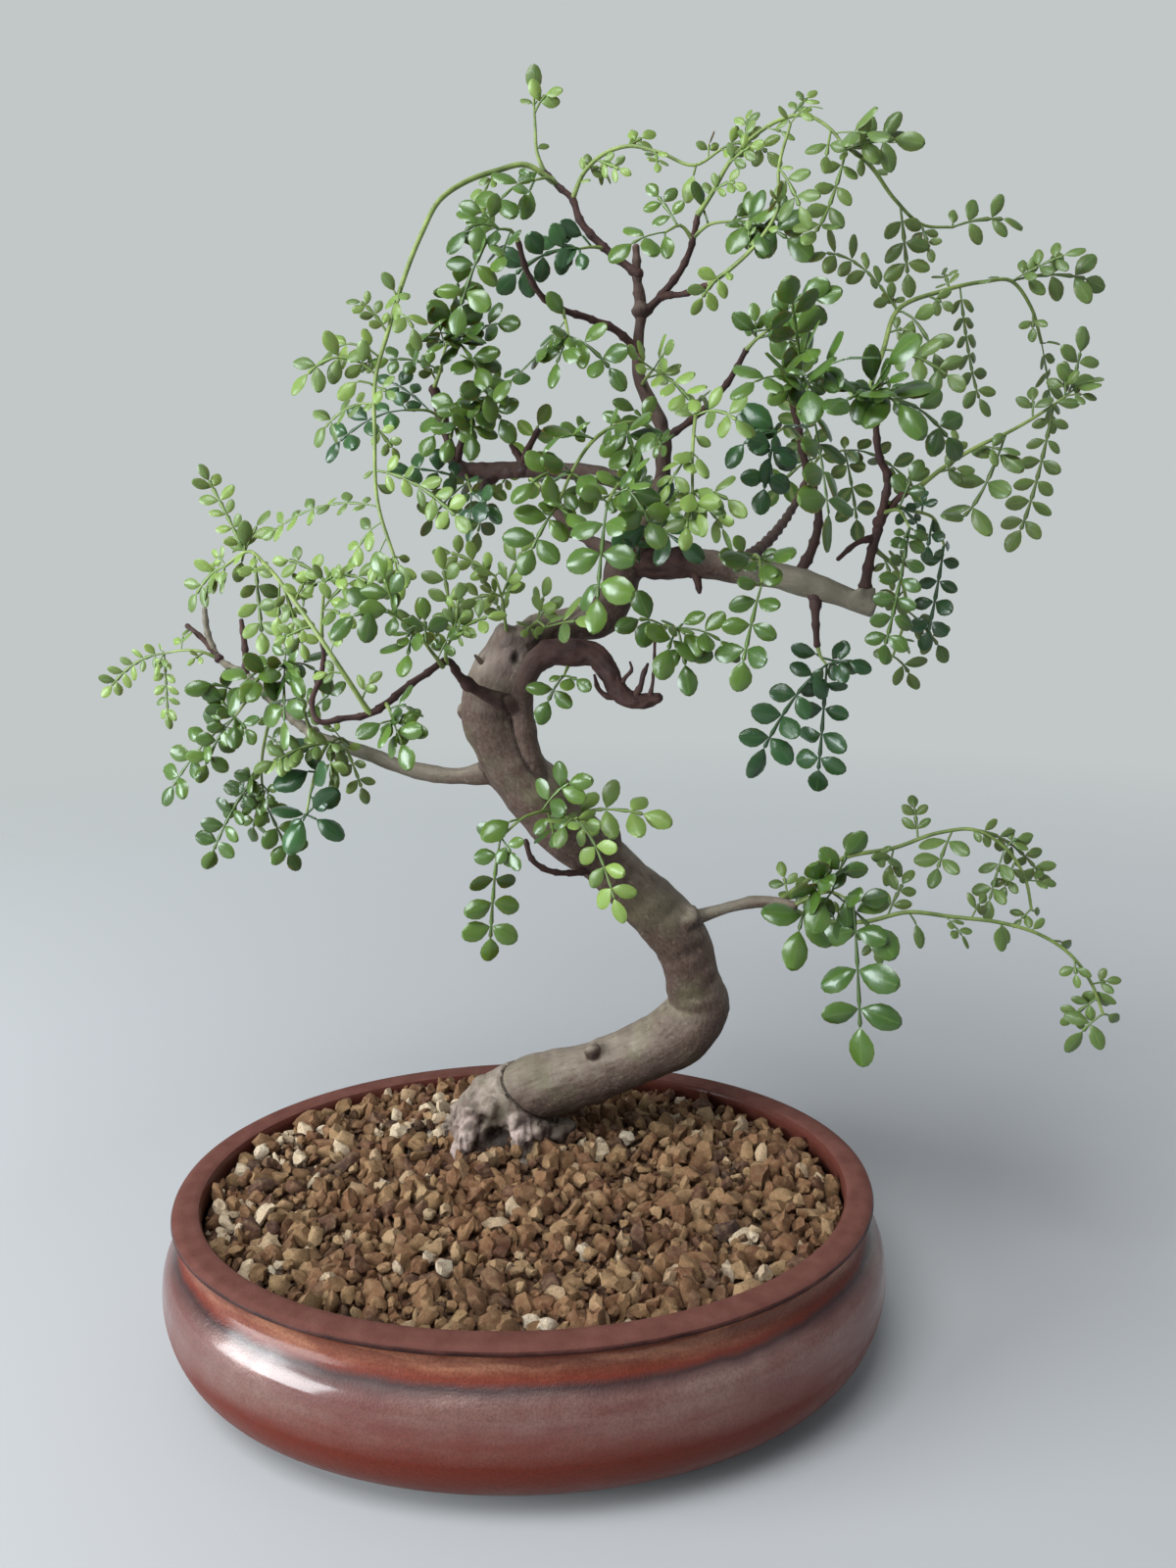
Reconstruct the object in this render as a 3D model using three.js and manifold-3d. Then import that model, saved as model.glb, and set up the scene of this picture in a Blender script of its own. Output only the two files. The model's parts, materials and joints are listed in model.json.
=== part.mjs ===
// Japanese pepper bonsai in a glazed oval pot, in millimetres, +Z up.
// The origin is the centre of the pot's underside, +X runs along the pot, -Y is its front.
import * as THREE from 'three';
import { mergeVertices } from 'three/addons/utils/BufferGeometryUtils.js';
import Module from 'manifold-3d';

const wasm = await Module();
wasm.setup();

// Driving dimensions
const POT_LENGTH = 254;
const POT_WIDTH = 194;
const POT_HEIGHT = 64;
const POT_SQUARENESS = 2.05;
const RIM_WIDTH = 10.3;
const FLOOR_TOP = 7;
const POT_SIDES = 32;
const HOLE_SPACING = 104;
const HOLE_RADIUS = 6;
const CHANNEL_DEPTH = 2;
const SCREEN_SIZE = 26;
const SCREEN_THICKNESS = 0.8;
const SCREEN_OPENING = 8;
const SOIL_EDGE = 57.5;
const SOIL_MOUND = 7.5;
const SOIL_MOUND_WIDTH = 42;
const SOIL_RINGS = 12;
const GRAIN_RELIEF = 3.2;
const CLEARANCE = 0.3;
const STEM_SIDES = 3;
const STEM_RADIUS = 1.05;
const SEAT_STEP = 0.15;
const RACHIS_HALF_WIDTH = 0.6;
const BLADE_THICKNESS = 0.8;
const LEAFLET_BASE = 1.1;
const PAIR_SPACING = 1.8;
const MOST_PAIRS = 3;
const LAST_PAIR_GAP = 0.5;
const LEAF_ROOT = 0.25;
const LEAF_SEED = 20480;

// Branch and shoot positions are written as [x, y, z, radius] the way they look from the
// viewing point: x, z and radius where the line of sight crosses the plane Y = 20, and y the
// real depth. Each point is carried along that line of sight to its own depth.
const VIEW = new THREE.Vector3(32, -424, 312);
const DRAWING_PLANE = 20;

function depthScale(y) {
  return (y - VIEW.y) / (DRAWING_PLANE - VIEW.y);
}

function carried([x, y, z]) {
  const scale = depthScale(y);
  return new THREE.Vector3(VIEW.x + (x - VIEW.x) * scale, y, VIEW.z + (z - VIEW.z) * scale);
}

// Trunk and branches, thick to thin: sides of the section and points [x, y, z, radius]
const LIMBS = [
  { sides: 9, points: [ // trunk, from under the soil round the low elbow to the cut top
    [-17, 34, 44, 11], [-17, 34, 64, 15], [-14.5, 34, 77, 15.4], [-6, 34, 85.5, 13.6],
    [4, 33.5, 89.5, 12.3], [15, 33, 92.6, 11.6], [31, 32, 98, 11.5], [47, 30, 105, 11.5],
    [59, 28.5, 112.5, 11.8], [65.5, 28, 122, 11.4], [64, 27, 131, 10.6], [62, 26, 139, 10.2],
    [58.5, 25, 148, 10.5],
    [52, 24, 158, 10.5], [42, 22, 168, 10], [32, 20, 179, 9.8], [20, 18.5, 190, 10.4],
    [9, 18, 203, 11], [1, 18, 213, 11.5], [-4, 18, 222, 11.4], [-7, 19, 232, 12],
    [-6, 19.5, 243, 11.2], [-2, 20, 253, 9.6], [3, 20, 262.5, 7.8]] },
  { sides: 6, points: [ // leader from the cut top to the main fork
    [0, 20, 255, 7.4], [9, 20, 262, 7], [20, 20.5, 264.5, 6.2], [32, 21, 267.5, 6],
    [38, 21.5, 276, 6], [40, 22, 286, 6.3], [47, 23, 297, 5.6], [52, 24, 308, 4.6],
    [53, 24.5, 313, 3.4]] },
  { sides: 4, points: [ // leader above the main fork
    [52.5, 24.5, 310, 3.4], [53, 25.5, 319, 3], [53, 27, 330, 2.7], [48.5, 29, 339, 2.5],
    [45, 30, 348, 2.2], [45, 31, 358, 2], [46, 32, 368, 1.8], [45, 32.5, 376, 1.5],
    [44.5, 33, 387, 1.2]] },
  { sides: 7, points: [ // right main branch with its cut end
    [40, 22, 286, 5.4], [52, 20, 285.5, 5.4], [63, 18, 285, 5.2], [75, 14, 283.5, 5.1],
    [86, 10, 281.5, 5], [97, 6, 279.5, 4.9], [106, 4, 276.5, 4.4], [115, 2, 273, 3.9],
    [126, 0, 269, 3.8]] },
  { sides: 5, points: [ // strip of live bark that turns into the dark front branch
    [9, 13, 207, 4.2], [4, 11, 222, 4.8], [3.5, 9, 238, 4.9], [5, 8, 248, 5],
    [11, 6, 254.5, 4.8], [20, 3, 255.5, 4.8], [29, 0, 254, 4.5], [34, -3, 247.5, 3.9],
    [37, -5, 241.5, 3.3], [41, -6, 237.8, 2.9], [46, -7, 237.6, 2.4], [51, -8, 238.6, 2]] },
  { sides: 3, points: [[43, -6.5, 239, 1.8], [46, -8, 244, 1.5], [49, -9, 254, 1.1],
    [50, -9, 261, 0.9]] },
  { sides: 3, points: [[33, -2, 251, 1.8], [29.5, -3, 247, 1.4], [30, -4, 243.5, 1.1]] },
  { sides: 4, points: [ // right low branch
    [57, 24, 154, 3.4], [66, 22, 157.5, 2.7], [74, 20, 160, 2.4], [84, 17, 162.5, 2.4],
    [94, 14, 162.2, 2.1], [100, 12, 161, 1.8]] },
  { sides: 4, points: [ // left low branch
    [-8, 19, 213, 4.4], [-20, 23, 211.3, 3.3], [-30, 27, 212.5, 3], [-42, 33, 215.5, 2.8],
    [-52, 38, 220, 2.7], [-61, 43, 223, 2.4], [-72, 48, 228, 1.9], [-84, 54, 238, 1.6],
    [-94, 59, 249, 1.4], [-103, 62, 255, 1.2], [-106, 64, 263, 1.1], [-106.5, 65, 272, 1]] },
  { sides: 3, points: [[-94, 59, 249, 1.2], [-93.5, 60, 259, 1.1], [-94, 61, 268, 0.9]] },
  { sides: 3, points: [[-103, 62, 255, 1.1], [-108, 64, 262, 1], [-113, 66, 266.5, 0.8]] },
  { sides: 4, points: [ // left upper branch
    [51, 24, 306, 3], [44, 27, 311, 3.1], [36, 31, 314, 3], [22, 36, 316.5, 2.8],
    [8, 41, 317.5, 2.6], [-6, 46, 317.3, 2.6], [-16, 50, 318.5, 2.4], [-19.5, 52, 328, 2],
    [-21, 54, 336, 1.8], [-23.5, 55, 344, 1.5]] },
  { sides: 3, points: [[-17, 50, 319, 1.5], [-14, 49, 331, 1.2], [-13, 48, 339, 1]] },
  { sides: 3, points: [[4, 42, 317, 1.5], [7, 41, 323, 1.3], [11, 41, 330, 1]] },
  { sides: 3, points: [ // left trunk twig and the dark twig that runs on from it
    [-4, 12, 235, 2.6], [-13, 4, 241, 2], [-19, -4, 247, 1.6], [-23, -10, 252, 1.4],
    [-31, -14, 248, 1.3], [-38, -16, 243.5, 1.3], [-45, -20, 238, 1.4], [-51, -22, 234.5, 1.3],
    [-60, -24, 233, 1.1], [-70, -26, 232.5, 1.1], [-71.5, -24, 238, 1], [-68, -20, 247, 1],
    [-66, -16, 255, 0.9], [-66.5, -12, 262, 0.8]] },
  { sides: 3, points: [ // right fork, first twig
    [99, 5, 280, 2.2], [104.5, 8, 291, 1.7], [106, 10, 299, 1.5], [104, 13, 309, 1.4],
    [100.5, 16, 320, 1.3], [98, 18, 331, 1.2], [95, 20, 341, 1]] },
  { sides: 4, points: [ // right fork, second twig
    [122, 1, 271, 2.3], [123.5, -1, 284, 1.8], [126.5, -4, 297, 1.6], [128, -7, 305, 1.5],
    [129.3, -9, 312.5, 1.5], [126, -11, 319, 1.3], [124.7, -13, 326, 1.2], [124, -15, 334, 1]] },
  { sides: 3, points: [[126.5, -4, 298, 1.4], [131, -6, 304, 1.3], [135, -8, 307.5, 1.2],
    [139, -9, 309, 1]] },
  { sides: 3, points: [[125, -2.5, 293, 1.1], [119, -5, 291, 1], [113, -7, 286, 0.9]] },
  { sides: 3, points: [[105.5, 3, 273, 2], [105.8, 1, 264, 1.3], [106.5, 0, 256.5, 1]] },
  { sides: 3, points: [ // centre twig
    [53, 26, 326, 1.5], [60, 22, 331, 1.2], [68, 18, 337, 1.2], [75, 14, 345, 1.1],
    [80.5, 11, 354.5, 0.9]] },
  { sides: 3, points: [ // top fork, left and upper
    [45, 32.5, 379, 1.4], [34.5, 34, 387, 1.3], [26.5, 35, 395.5, 1.2], [24, 36.5, 402, 1.1],
    [19, 38, 406.5, 1], [15, 40, 410.5, 0.9]] },
  { sides: 3, points: [ // top fork, left and lower
    [45, 31, 355, 1.5], [38.5, 27, 361, 1.3], [29, 21, 365.5, 1.2], [20, 14, 368.5, 1.1],
    [14, 9, 372, 1.1], [9, 4, 380, 1], [6, -2, 390, 0.9]] },
  { sides: 3, points: [ // top fork, right
    [46, 32, 366, 1.5], [52, 30, 371.5, 1.3], [58.5, 27, 379, 1.2], [62, 24, 386, 1.1],
    [64.5, 21, 396.5, 0.9]] },
  { sides: 3, points: [[53, 29.5, 372, 1.1], [61, 24, 372.8, 1], [68.5, 18, 375.5, 0.9]] },
  { sides: 3, points: [[27, 14, 176, 1.6], [19, 7, 174.6, 1.2], [10, 2, 176, 1.1], [5, 0, 180, 1.1],
    [3, 0, 187, 0.9]] },
  { sides: 3, points: [ // back branch, off the leader
    [40, 24, 287, 3], [30, 40, 292, 2.4], [22, 58, 298, 2], [16, 74, 304, 1.5], [12, 88, 311, 1.1]] },
  { sides: 3, points: [ // back branch, off the right main branch
    [78, 14, 284, 2.8], [84, 34, 288, 2.2], [92, 56, 296, 1.7], [98, 76, 305, 1.3], [102, 90, 314, 1]] },
];

// Roots, in real positions: the flare at the soil's surface and the ends that run under it
const ROOTS = [
  [[-14, 30, 62, 9], [-21, 19, 64, 6], [-28, 9, 58, 4], [-38, -6, 44, 2.2]],
  [[-10, 30, 64, 9], [2, 15, 65, 6.4], [8, 7, 58, 4.2], [16, -8, 44, 2.2]],
  [[-18, 34, 66, 9], [-32, 38, 62, 6], [-46, 42, 52, 3.6], [-64, 44, 40, 2]],
  [[-12, 38, 64, 9], [-14, 52, 61, 6], [-18, 62, 50, 3.4], [-26, 68, 36, 2]],
  [[-6, 34, 62, 8], [12, 38, 57, 5], [28, 42, 46, 3], [48, 40, 34, 2]],
];

// Knobs and old cuts on the trunk, [x, y, z, radius]
const KNOBS = [
  [26, 25.5, 104.5, 3.4], [73, 26, 121, 4.6], [63, 20, 160, 4.2], [36, 15, 190, 3.6],
  [-17, 21, 235, 4.4], [124, -1, 273.5, 3.2],
];

// Leafy sprays. stem: points of the green shoot, its first point inside the wood.
// leaves: [place along the stem in points, tip x, y, z, rise of the arch, leaflet length]
const SPRAYS = [
  { name: 'spray_top', tone: 'young', stem: [[15, 40, 410.5], [13, 40, 416], [12.6, 41, 424],
    [12.4, 42, 430]],
    leaves: [[3, 12.8, 43, 441, 0, 7.5], [2.6, 21.5, 38, 434, 3, 6.5]] },
  { name: 'spray_left_whip', tone: 'young', stem: [[18, 38.2, 407.5], [9, 36, 412.6], [0, 33, 411],
    [-10, 27, 408], [-19, 20, 402.5], [-25, 13, 393], [-32.5, 3, 377], [-38, -4, 362],
    [-42.5, -9, 349], [-44, -14, 330], [-44, -18, 306], [-39.5, -21, 289]],
    leaves: [[2, -9, 31, 394, 2, 7], [6, -35, -4, 366, 2, 8], [6.7, -27, -10, 357, 5, 9],
      [7, -51, -6, 373, 3, 6], [8, -71, -14, 343, 8, 10], [8.5, -65, -4, 327, 4, 9],
      [9.5, -13, -28, 297, 4, 9], [10, -84, -2, 296, 5, 8], [11, -38, -24, 275, 0, 8]] },
  { name: 'spray_crest_left', tone: 'leaf', stem: [[19, 38, 406.5], [16, 34, 408.5], [12, 31, 408]],
    leaves: [[2, -6, 20, 393, 4, 9]] },
  { name: 'spray_crest_drop', tone: 'leaf', stem: [[6, -2, 390], [4, -5, 393], [0, -8, 393.5]],
    leaves: [[2, -16, -22, 362, 5, 9.5], [1, -1, -18, 380, 1, 8]] },
  { name: 'spray_crest_dark', tone: 'dark', stem: [[34.5, 34, 387], [30, 31, 387.5], [26, 28, 387]],
    leaves: [[2, -1, 20, 374, 4, 9]] },
  { name: 'spray_top_arch', tone: 'young', stem: [[24, 36.5, 402], [28, 36, 410], [33, 35, 414.5],
    [42, 33, 417.5], [52, 30, 415.5], [64, 27, 411.5], [72, 25, 416]],
    leaves: [[1, 37, 42, 407, 3, 6], [3, 51, 36, 422, 0, 7], [5, 61, 29, 401, 0, 9.5],
      [6, 91, 19, 411, 4, 8]] },
  { name: 'spray_right_whip', tone: 'young', stem: [[64.5, 21, 396.5], [68.5, 19, 402], [75, 17, 412.5],
    [83, 16, 420], [91, 15, 424.3], [98, 14, 425.5], [107, 12, 421], [112, 10, 415]],
    leaves: [[1, 80, 12, 404, 3, 6], [4.5, 102, 20, 432, 1, 6], [7, 134, 3, 416.5, 2, 9],
      [6, 105, 4, 408, 1, 8.5], [7, 99, -8, 388, -6, 9.5]] },
  { name: 'spray_right_loop', tone: 'young', stem: [[111, 12.3, 416.9], [119, 16, 411], [128, 22, 400],
    [138, 28, 392], [147, 30, 391.3]],
    leaves: [[4, 170, 34, 392, 2, 8], [2.2, 134, 27, 370, 1, 7.5]] },
  { name: 'spray_crown_mid', tone: 'young', stem: [[68.5, 18, 375.5], [74, 11, 379], [85, 4, 389],
    [90.5, -1, 398], [90.5, -3, 410], [94, -3, 423]],
    leaves: [[4, 100, -9, 392, 2, 9], [5, 104, -5, 428, 2, 6], [1, 63, 14, 366, 2, 8]] },
  { name: 'spray_crown_right', tone: 'leaf', stem: [[62.7, 23, 389.5], [68, 20, 393.5], [76, 17, 394.5]],
    leaves: [[2, 98, 9, 391, 3, 8], [1, 62, 24, 405, 2, 8.5]] },
  { name: 'spray_crown_left', tone: 'leaf', stem: [[62.7, 23.5, 389.5], [59, 21, 393.5],
    [54, 19, 391.5]],
    leaves: [[2, 36, 14, 383, 2, 10]] },
  { name: 'spray_inner_drop', tone: 'leaf', stem: [[20, 14, 368.5], [21, 9, 365], [22, 4, 360]],
    leaves: [[2, 15, -4, 344, 1, 9.5], [2, 40, -2, 343, 3, 8.5], [1, -4, 2, 342, -2, 8.5]] },
  { name: 'spray_left_crown', tone: 'leaf', stem: [[-23.5, 55, 344], [-21, 48, 350], [-19, 38, 357],
    [-17, 28, 361]],
    leaves: [[3, -12, 14, 385, 2, 10], [3, -32, 14, 353, 4, 10], [3, -3, 12, 334, 5, 10],
      [2, 6, 26, 364, 3, 9], [1, -44, 44, 352, 3, 7]] },
  { name: 'spray_left_crown_low', tone: 'leaf', stem: [[-13, 48, 339], [-12, 42, 342], [-10, 34, 341]],
    leaves: [[2, 2, 24, 327, 4, 9], [1, -28, 34, 322, 3, 9], [2, -12, 20, 322, 1, 9]] },
  { name: 'spray_left_arch', tone: 'dark', stem: [[-20.5, 53, 334], [-25, 48, 337], [-33, 42, 337.5]],
    leaves: [[2, -62, 30, 322, 4, 9], [1, -42, 54, 348, 2, 7]] },
  { name: 'spray_shelf_drop', tone: 'dark', stem: [[-14, 49.3, 317.5], [-13, 42, 314], [-12, 36, 310]],
    leaves: [[2, -14, 30, 293, 0, 9], [2, -3, 30, 300, 1, 8], [1, -40, 38, 318, 2, 8]] },
  { name: 'spray_centre_young', tone: 'young', stem: [[46, 29.5, 344], [48, 20, 347], [50, 10, 349]],
    leaves: [[2, 40, 0, 356, 0, 9], [2, 57, -2, 357, 1, 9], [2, 66, -10, 334, 2, 9.5]] },
  { name: 'spray_centre_left', tone: 'leaf', stem: [[53, 26, 324], [48, 12, 331], [40, 0, 332],
    [30, -12, 327], [22, -20, 316], [17, -24, 305]],
    leaves: [[3, 12, -30, 325, 2, 10], [4, 2, -32, 306, 4, 10], [5, 4, -36, 282, 2, 10],
      [2, 45, -20, 312, 3, 10.5], [5, 26, -34, 296, 1, 10.5]] },
  { name: 'spray_front_drop', tone: 'leaf', stem: [[50, 23.5, 305], [44, 0, 311], [38, -26, 312],
    [34, -42, 306]],
    leaves: [[3, 29, -54, 261, 3, 11.5], [2, 52, -36, 290, 4, 10]] },
  { name: 'spray_centre_whip', tone: 'young', stem: [[68, 18, 337], [66, 4, 340], [64, -10, 334],
    [63, -18, 322], [63, -22, 309]],
    leaves: [[4, 77, -30, 290, 2, 9], [3, 52, -26, 305, 2, 9], [2, 83, -24, 327, 4, 9.5],
      [4, 60, -32, 290, 1, 9]] },
  { name: 'spray_dark_rosette', tone: 'dark', stem: [[44, 22.5, 292], [46, 12, 296], [50, 4, 299]],
    leaves: [[2, 36, 0, 291, 1, 13], [1.8, 66, -6, 286, 1, 10]] },
  { name: 'spray_fork_top', tone: 'leaf', stem: [[80.5, 11, 354.5], [84, 8, 358], [90, 4, 362]],
    leaves: [[2, 76, 2, 366, -3, 9], [2, 112, -4, 372, 2, 9.5], [1, 104, -2, 350, 4, 9.5]] },
  { name: 'spray_front_fan', tone: 'leaf', stem: [[95, 20, 341], [97, 6, 346], [99, -10, 348],
    [100, -26, 345]],
    leaves: [[3, 76, -44, 340, 3, 10.5], [3, 111, -54, 289, 6, 11.5], [2, 94, -34, 376, 2, 10.5],
      [3, 124, -40, 352, 2, 11]] },
  { name: 'spray_fork_inner', tone: 'dark', stem: [[99.3, 17, 326], [95, 8, 330], [91, 0, 328]],
    leaves: [[2, 86, -8, 301, 2, 9], [2, 74, -2, 318, 3, 9]] },
  { name: 'spray_branch_drop', tone: 'leaf', stem: [[84, 10.5, 281], [84, 2, 287], [86, -12, 286],
    [87, -22, 278]],
    leaves: [[3, 79, -30, 241, 2, 10], [2, 98, -24, 286, 2, 10]] },
  { name: 'spray_right_rosette', tone: 'leaf', stem: [[124, -15, 334], [124, -22, 338], [123, -30, 341]],
    leaves: [[2, 140, -46, 328, 2, 12.5], [2, 108, -48, 332, 2, 12.5], [2, 136, -42, 358, 2, 12.5],
      [1, 154, -20, 318, 6, 9.5]] },
  { name: 'spray_right_arch', tone: 'young', stem: [[124.4, -14, 330], [122, -4, 340], [126, 6, 354],
    [130, 14, 366], [145, 22, 372], [158, 30, 374.5], [167, 36, 374.5], [174, 40, 366], [178, 44, 355]],
    leaves: [[3, 100, 4, 383, 7, 8], [3, 146, 6, 345, 5, 9], [2, 154, -2, 340, 3, 9],
      [8, 184, 50, 326, 2, 8], [6, 199, 40, 372, 3, 10], [6, 190, 32, 384, 1, 7],
      [4.4, 162, 26, 332, -8, 8]] },
  { name: 'spray_far_right', tone: 'young', stem: [[139, -9, 309], [148, -6, 316], [160, -1, 323],
    [168, 2, 326.5],
    [178, 6, 332], [187, 10, 338]],
    leaves: [[5, 192, 14, 360, -5, 9], [3, 148, -14, 298, -9, 11.5], [4.6, 171, 14, 288, -9, 8.5],
      [5, 199, 16, 345, 1, 9]] },
  { name: 'spray_hanging_chain', tone: 'leaf', stem: [[127.3, -5.5, 301], [133, -12, 302],
    [137, -18, 296]],
    leaves: [[2, 128, -28, 249, -5, 9], [1, 140, -16, 318, 1, 8]] },
  { name: 'spray_outer_chain', tone: 'dark', stem: [[128, -7, 305], [136, -2, 302], [145, 4, 299],
    [149, 8, 290]],
    leaves: [[3, 143, 14, 254, -5, 8.5], [2, 143, 2, 284, 2, 7]] },
  { name: 'spray_under_branch', tone: 'dark', stem: [[106.5, 0, 256.5], [108, -1, 252],
    [110, -2, 249.5]],
    leaves: [[2, 84, -10, 210, 5, 10.5], [2, 107, 6, 203, -7, 10], [1, 98, 4, 256, 1, 9]] },
  { name: 'spray_under_right', tone: 'young', stem: [[125.4, -2, 289], [133, 6, 282], [137, 14, 268],
    [133, 20, 252]],
    leaves: [[3, 142, 24, 240, 2, 8.5], [2, 152, 18, 250, 2, 8]] },
  { name: 'spray_low_front', tone: 'leaf', stem: [[50, -9, 261], [53, -14, 264], [58, -20, 263]],
    leaves: [[2, 62, -28, 240, 2, 10], [2, 80, -24, 252, 3, 9], [1, 36, -20, 262, 3, 10],
      [2, 52, -34, 246, 2, 11]] },
  { name: 'spray_low_left', tone: 'leaf', stem: [[20, 3, 251.5], [18, -4, 247]],
    leaves: [[1, 9, -12, 230, 2, 8.5], [1, 27, -12, 242, 1, 7]] },
  { name: 'spray_low_lip', tone: 'young', stem: [[6, 17, 263], [9, 6, 266], [12, -8, 264]],
    leaves: [[2, 30, -22, 266, 1, 11.5], [1, 14, 2, 281, 1, 9]] },
  { name: 'spray_crown_base', tone: 'young', stem: [[-1, 16, 259], [-2, 8, 266], [-3, 4, 275],
    [-5, 4, 282]],
    leaves: [[3, -26, 6, 291, 2, 8], [2, 8, -2, 296, 1, 9], [2, -21, 10, 268, 3, 7]] },
  { name: 'spray_trunk_twig', tone: 'young', stem: [[-23, -10, 252], [-23, -14, 257], [-20, -16, 262]],
    leaves: [[2, -2, -20, 268, 2, 8], [1, -42, -22, 271, 3, 9], [2, -17, -18, 280, 0, 7]] },
  { name: 'spray_left_bright', tone: 'leaf', stem: [[-24.5, -10.7, 251], [-28, -22, 256],
    [-34, -32, 264],
    [-40, -38, 269]],
    leaves: [[3, -64, -46, 262, 4, 10.5], [2, -38, -44, 246, 2, 9.5], [3, -47, -38, 291, 2, 9]] },
  { name: 'spray_left_twig', tone: 'leaf', stem: [[-45, -20, 238], [-44, -26, 236], [-43, -32, 232]],
    leaves: [[2, -38, -40, 214, 1, 9], [2, -56, -38, 226, 1, 9], [1, -32, -34, 234, 2, 8]] },
  { name: 'spray_left_tall', tone: 'young', stem: [[-66.5, -12, 262], [-65.5, -13, 271],
    [-64, -14, 281]],
    leaves: [[2, -44, -22, 276, 4, 9], [2, -82, -10, 288, 3, 8], [1, -56, -28, 266, 2, 9.5]] },
  { name: 'spray_left_shoot', tone: 'young', stem: [[-51, -22, 234.5], [-60, -27, 250],
    [-75, -18, 274.5],
    [-84, -6, 287], [-91, 6, 291.5], [-98, 8, 287]],
    leaves: [[4, -104, 12, 321, 1, 8], [4, -82, 12, 306, 1, 9], [5, -112, 16, 272, 3, 9],
      [3.6, -87, -4, 256, -3, 9.5], [2.4, -72, -12, 254, 1, 7]] },
  { name: 'spray_left_outer', tone: 'young', stem: [[-103, 62, 255], [-109, 60, 257.5],
    [-116, 62, 258], [-122, 64, 257]],
    leaves: [[3, -145, 68, 242, 4, 8], [2, -113, 70, 266, 2, 7.5], [3, -123, 62, 230, 0, 7]] },
  { name: 'spray_left_hang', tone: 'leaf', stem: [[-89, 56.5, 243.5], [-94, 50, 240], [-99, 46, 234]],
    leaves: [[2, -128, 50, 202, 4, 10.5], [1, -115, 40, 244, 4, 10], [2, -100, 36, 224, 1, 9]] },
  { name: 'spray_left_fall', tone: 'leaf', stem: [[-84, 54, 238], [-88, 58, 229], [-91, 60, 215],
    [-91, 62, 204]],
    leaves: [[3, -80, 64, 177, -1, 9], [2, -114, 58, 178, 4, 9], [2.6, -97, 70, 188, 1, 8]] },
  { name: 'spray_left_heart', tone: 'leaf', stem: [[-72, 48, 228], [-76, 32, 240], [-80, 18, 252]],
    leaves: [[2, -103, 6, 236, 5, 11], [2, -82, 0, 222, 4, 11], [2, -64, 8, 244, 4, 10]] },
  { name: 'spray_left_drop', tone: 'dark', stem: [[-66, 45.3, 225.3], [-70, 34, 218], [-74, 24, 206],
    [-76, 20, 198]],
    leaves: [[3, -63, 14, 188, 0, 11.5], [3, -86, 14, 183, 0, 12], [1.4, -86, 22, 206, 2, 13]] },
  { name: 'spray_left_under', tone: 'young', stem: [[-58, 41.3, 222], [-62, 34, 226], [-66, 28, 224]],
    leaves: [[2, -66, 20, 204, 1, 9.5], [2, -90, 22, 214, 3, 8.5], [1, -54, 28, 202, 2, 7.5]] },
  { name: 'spray_trunk_front', tone: 'leaf', stem: [[13, 12, 198], [11, 2, 199], [8, -6, 197]],
    leaves: [[2, -12, -14, 140, 9, 9], [1, 27, -6, 209, 4, 9]] },
  { name: 'spray_trunk_right', tone: 'young', stem: [[15, 11, 195], [17, 2, 196], [20, -5, 195]],
    leaves: [[2, 25, -16, 152, -12, 9.5], [1, 55, -2, 193, 4, 10.5]] },
  { name: 'spray_low_right', tone: 'leaf', stem: [[100, 12, 161], [106, 8, 164], [114, 2, 166],
    [122, -4, 162]],
    leaves: [[3, 127, -16, 97, 4, 12.5], [1, 100, -8, 137, 4, 12], [2, 124, 8, 188, 3, 10],
      [2, 108, -14, 152, 2, 11.5], [1, 112, 14, 178, 1, 10.5]] },
  { name: 'spray_low_whip', tone: 'young', stem: [[97, 13, 161.6], [108, 20, 156], [126, 14, 154.5],
    [142, 12, 158],
    [158, 10, 156], [176, 8, 153.5], [190, 8, 149], [202, 8, 141], [211, 8, 129], [216, 8, 117]],
    leaves: [[9, 204, 6, 102, 2, 10], [5, 178, -2, 143, 0, 11.5], [3, 148, 2, 145, 2, 9.5],
      [6.4, 203, 14, 143, 1, 9], [8, 216, 12, 118, 1, 9]] },
  { name: 'spray_low_loop', tone: 'young', stem: [[94, 14, 162.2], [104, 22, 170], [118, 26, 179],
    [136, 28, 182.5],
    [152, 28, 188], [164, 27, 189], [176, 26, 182], [184, 25, 170], [187, 24, 158]],
    leaves: [[4.4, 150, 12, 166, 2, 10], [6, 170, 18, 154, 2, 9], [2, 121, 34, 189, 0, 10],
      [5, 193, 30, 167, 5, 7.5], [3, 134, 20, 168, 2, 9]] },
  { name: 'spray_back_left', tone: 'leaf', stem: [[12, 88, 311], [6, 94, 316], [-4, 100, 316]],
    leaves: [[2, -30, 104, 296, 6, 9.5], [1, 14, 104, 338, 2, 9.5], [1, 22, 108, 300, 4, 9.5],
      [2, -12, 112, 290, 3, 9.5]] },
  { name: 'spray_back_right', tone: 'leaf', stem: [[102, 90, 314], [106, 96, 320], [114, 102, 322]],
    leaves: [[2, 142, 104, 304, 6, 9.5], [1, 92, 108, 340, 3, 9.5], [1, 88, 106, 304, 4, 9.5],
      [2, 120, 112, 292, 3, 9.5]] },
];

const TONES = {
  young: { color: 0x86a74c, roughness: 0.48 },
  leaf: { color: 0x55842f, roughness: 0.36 },
  dark: { color: 0x36552f, roughness: 0.34 },
};

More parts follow.
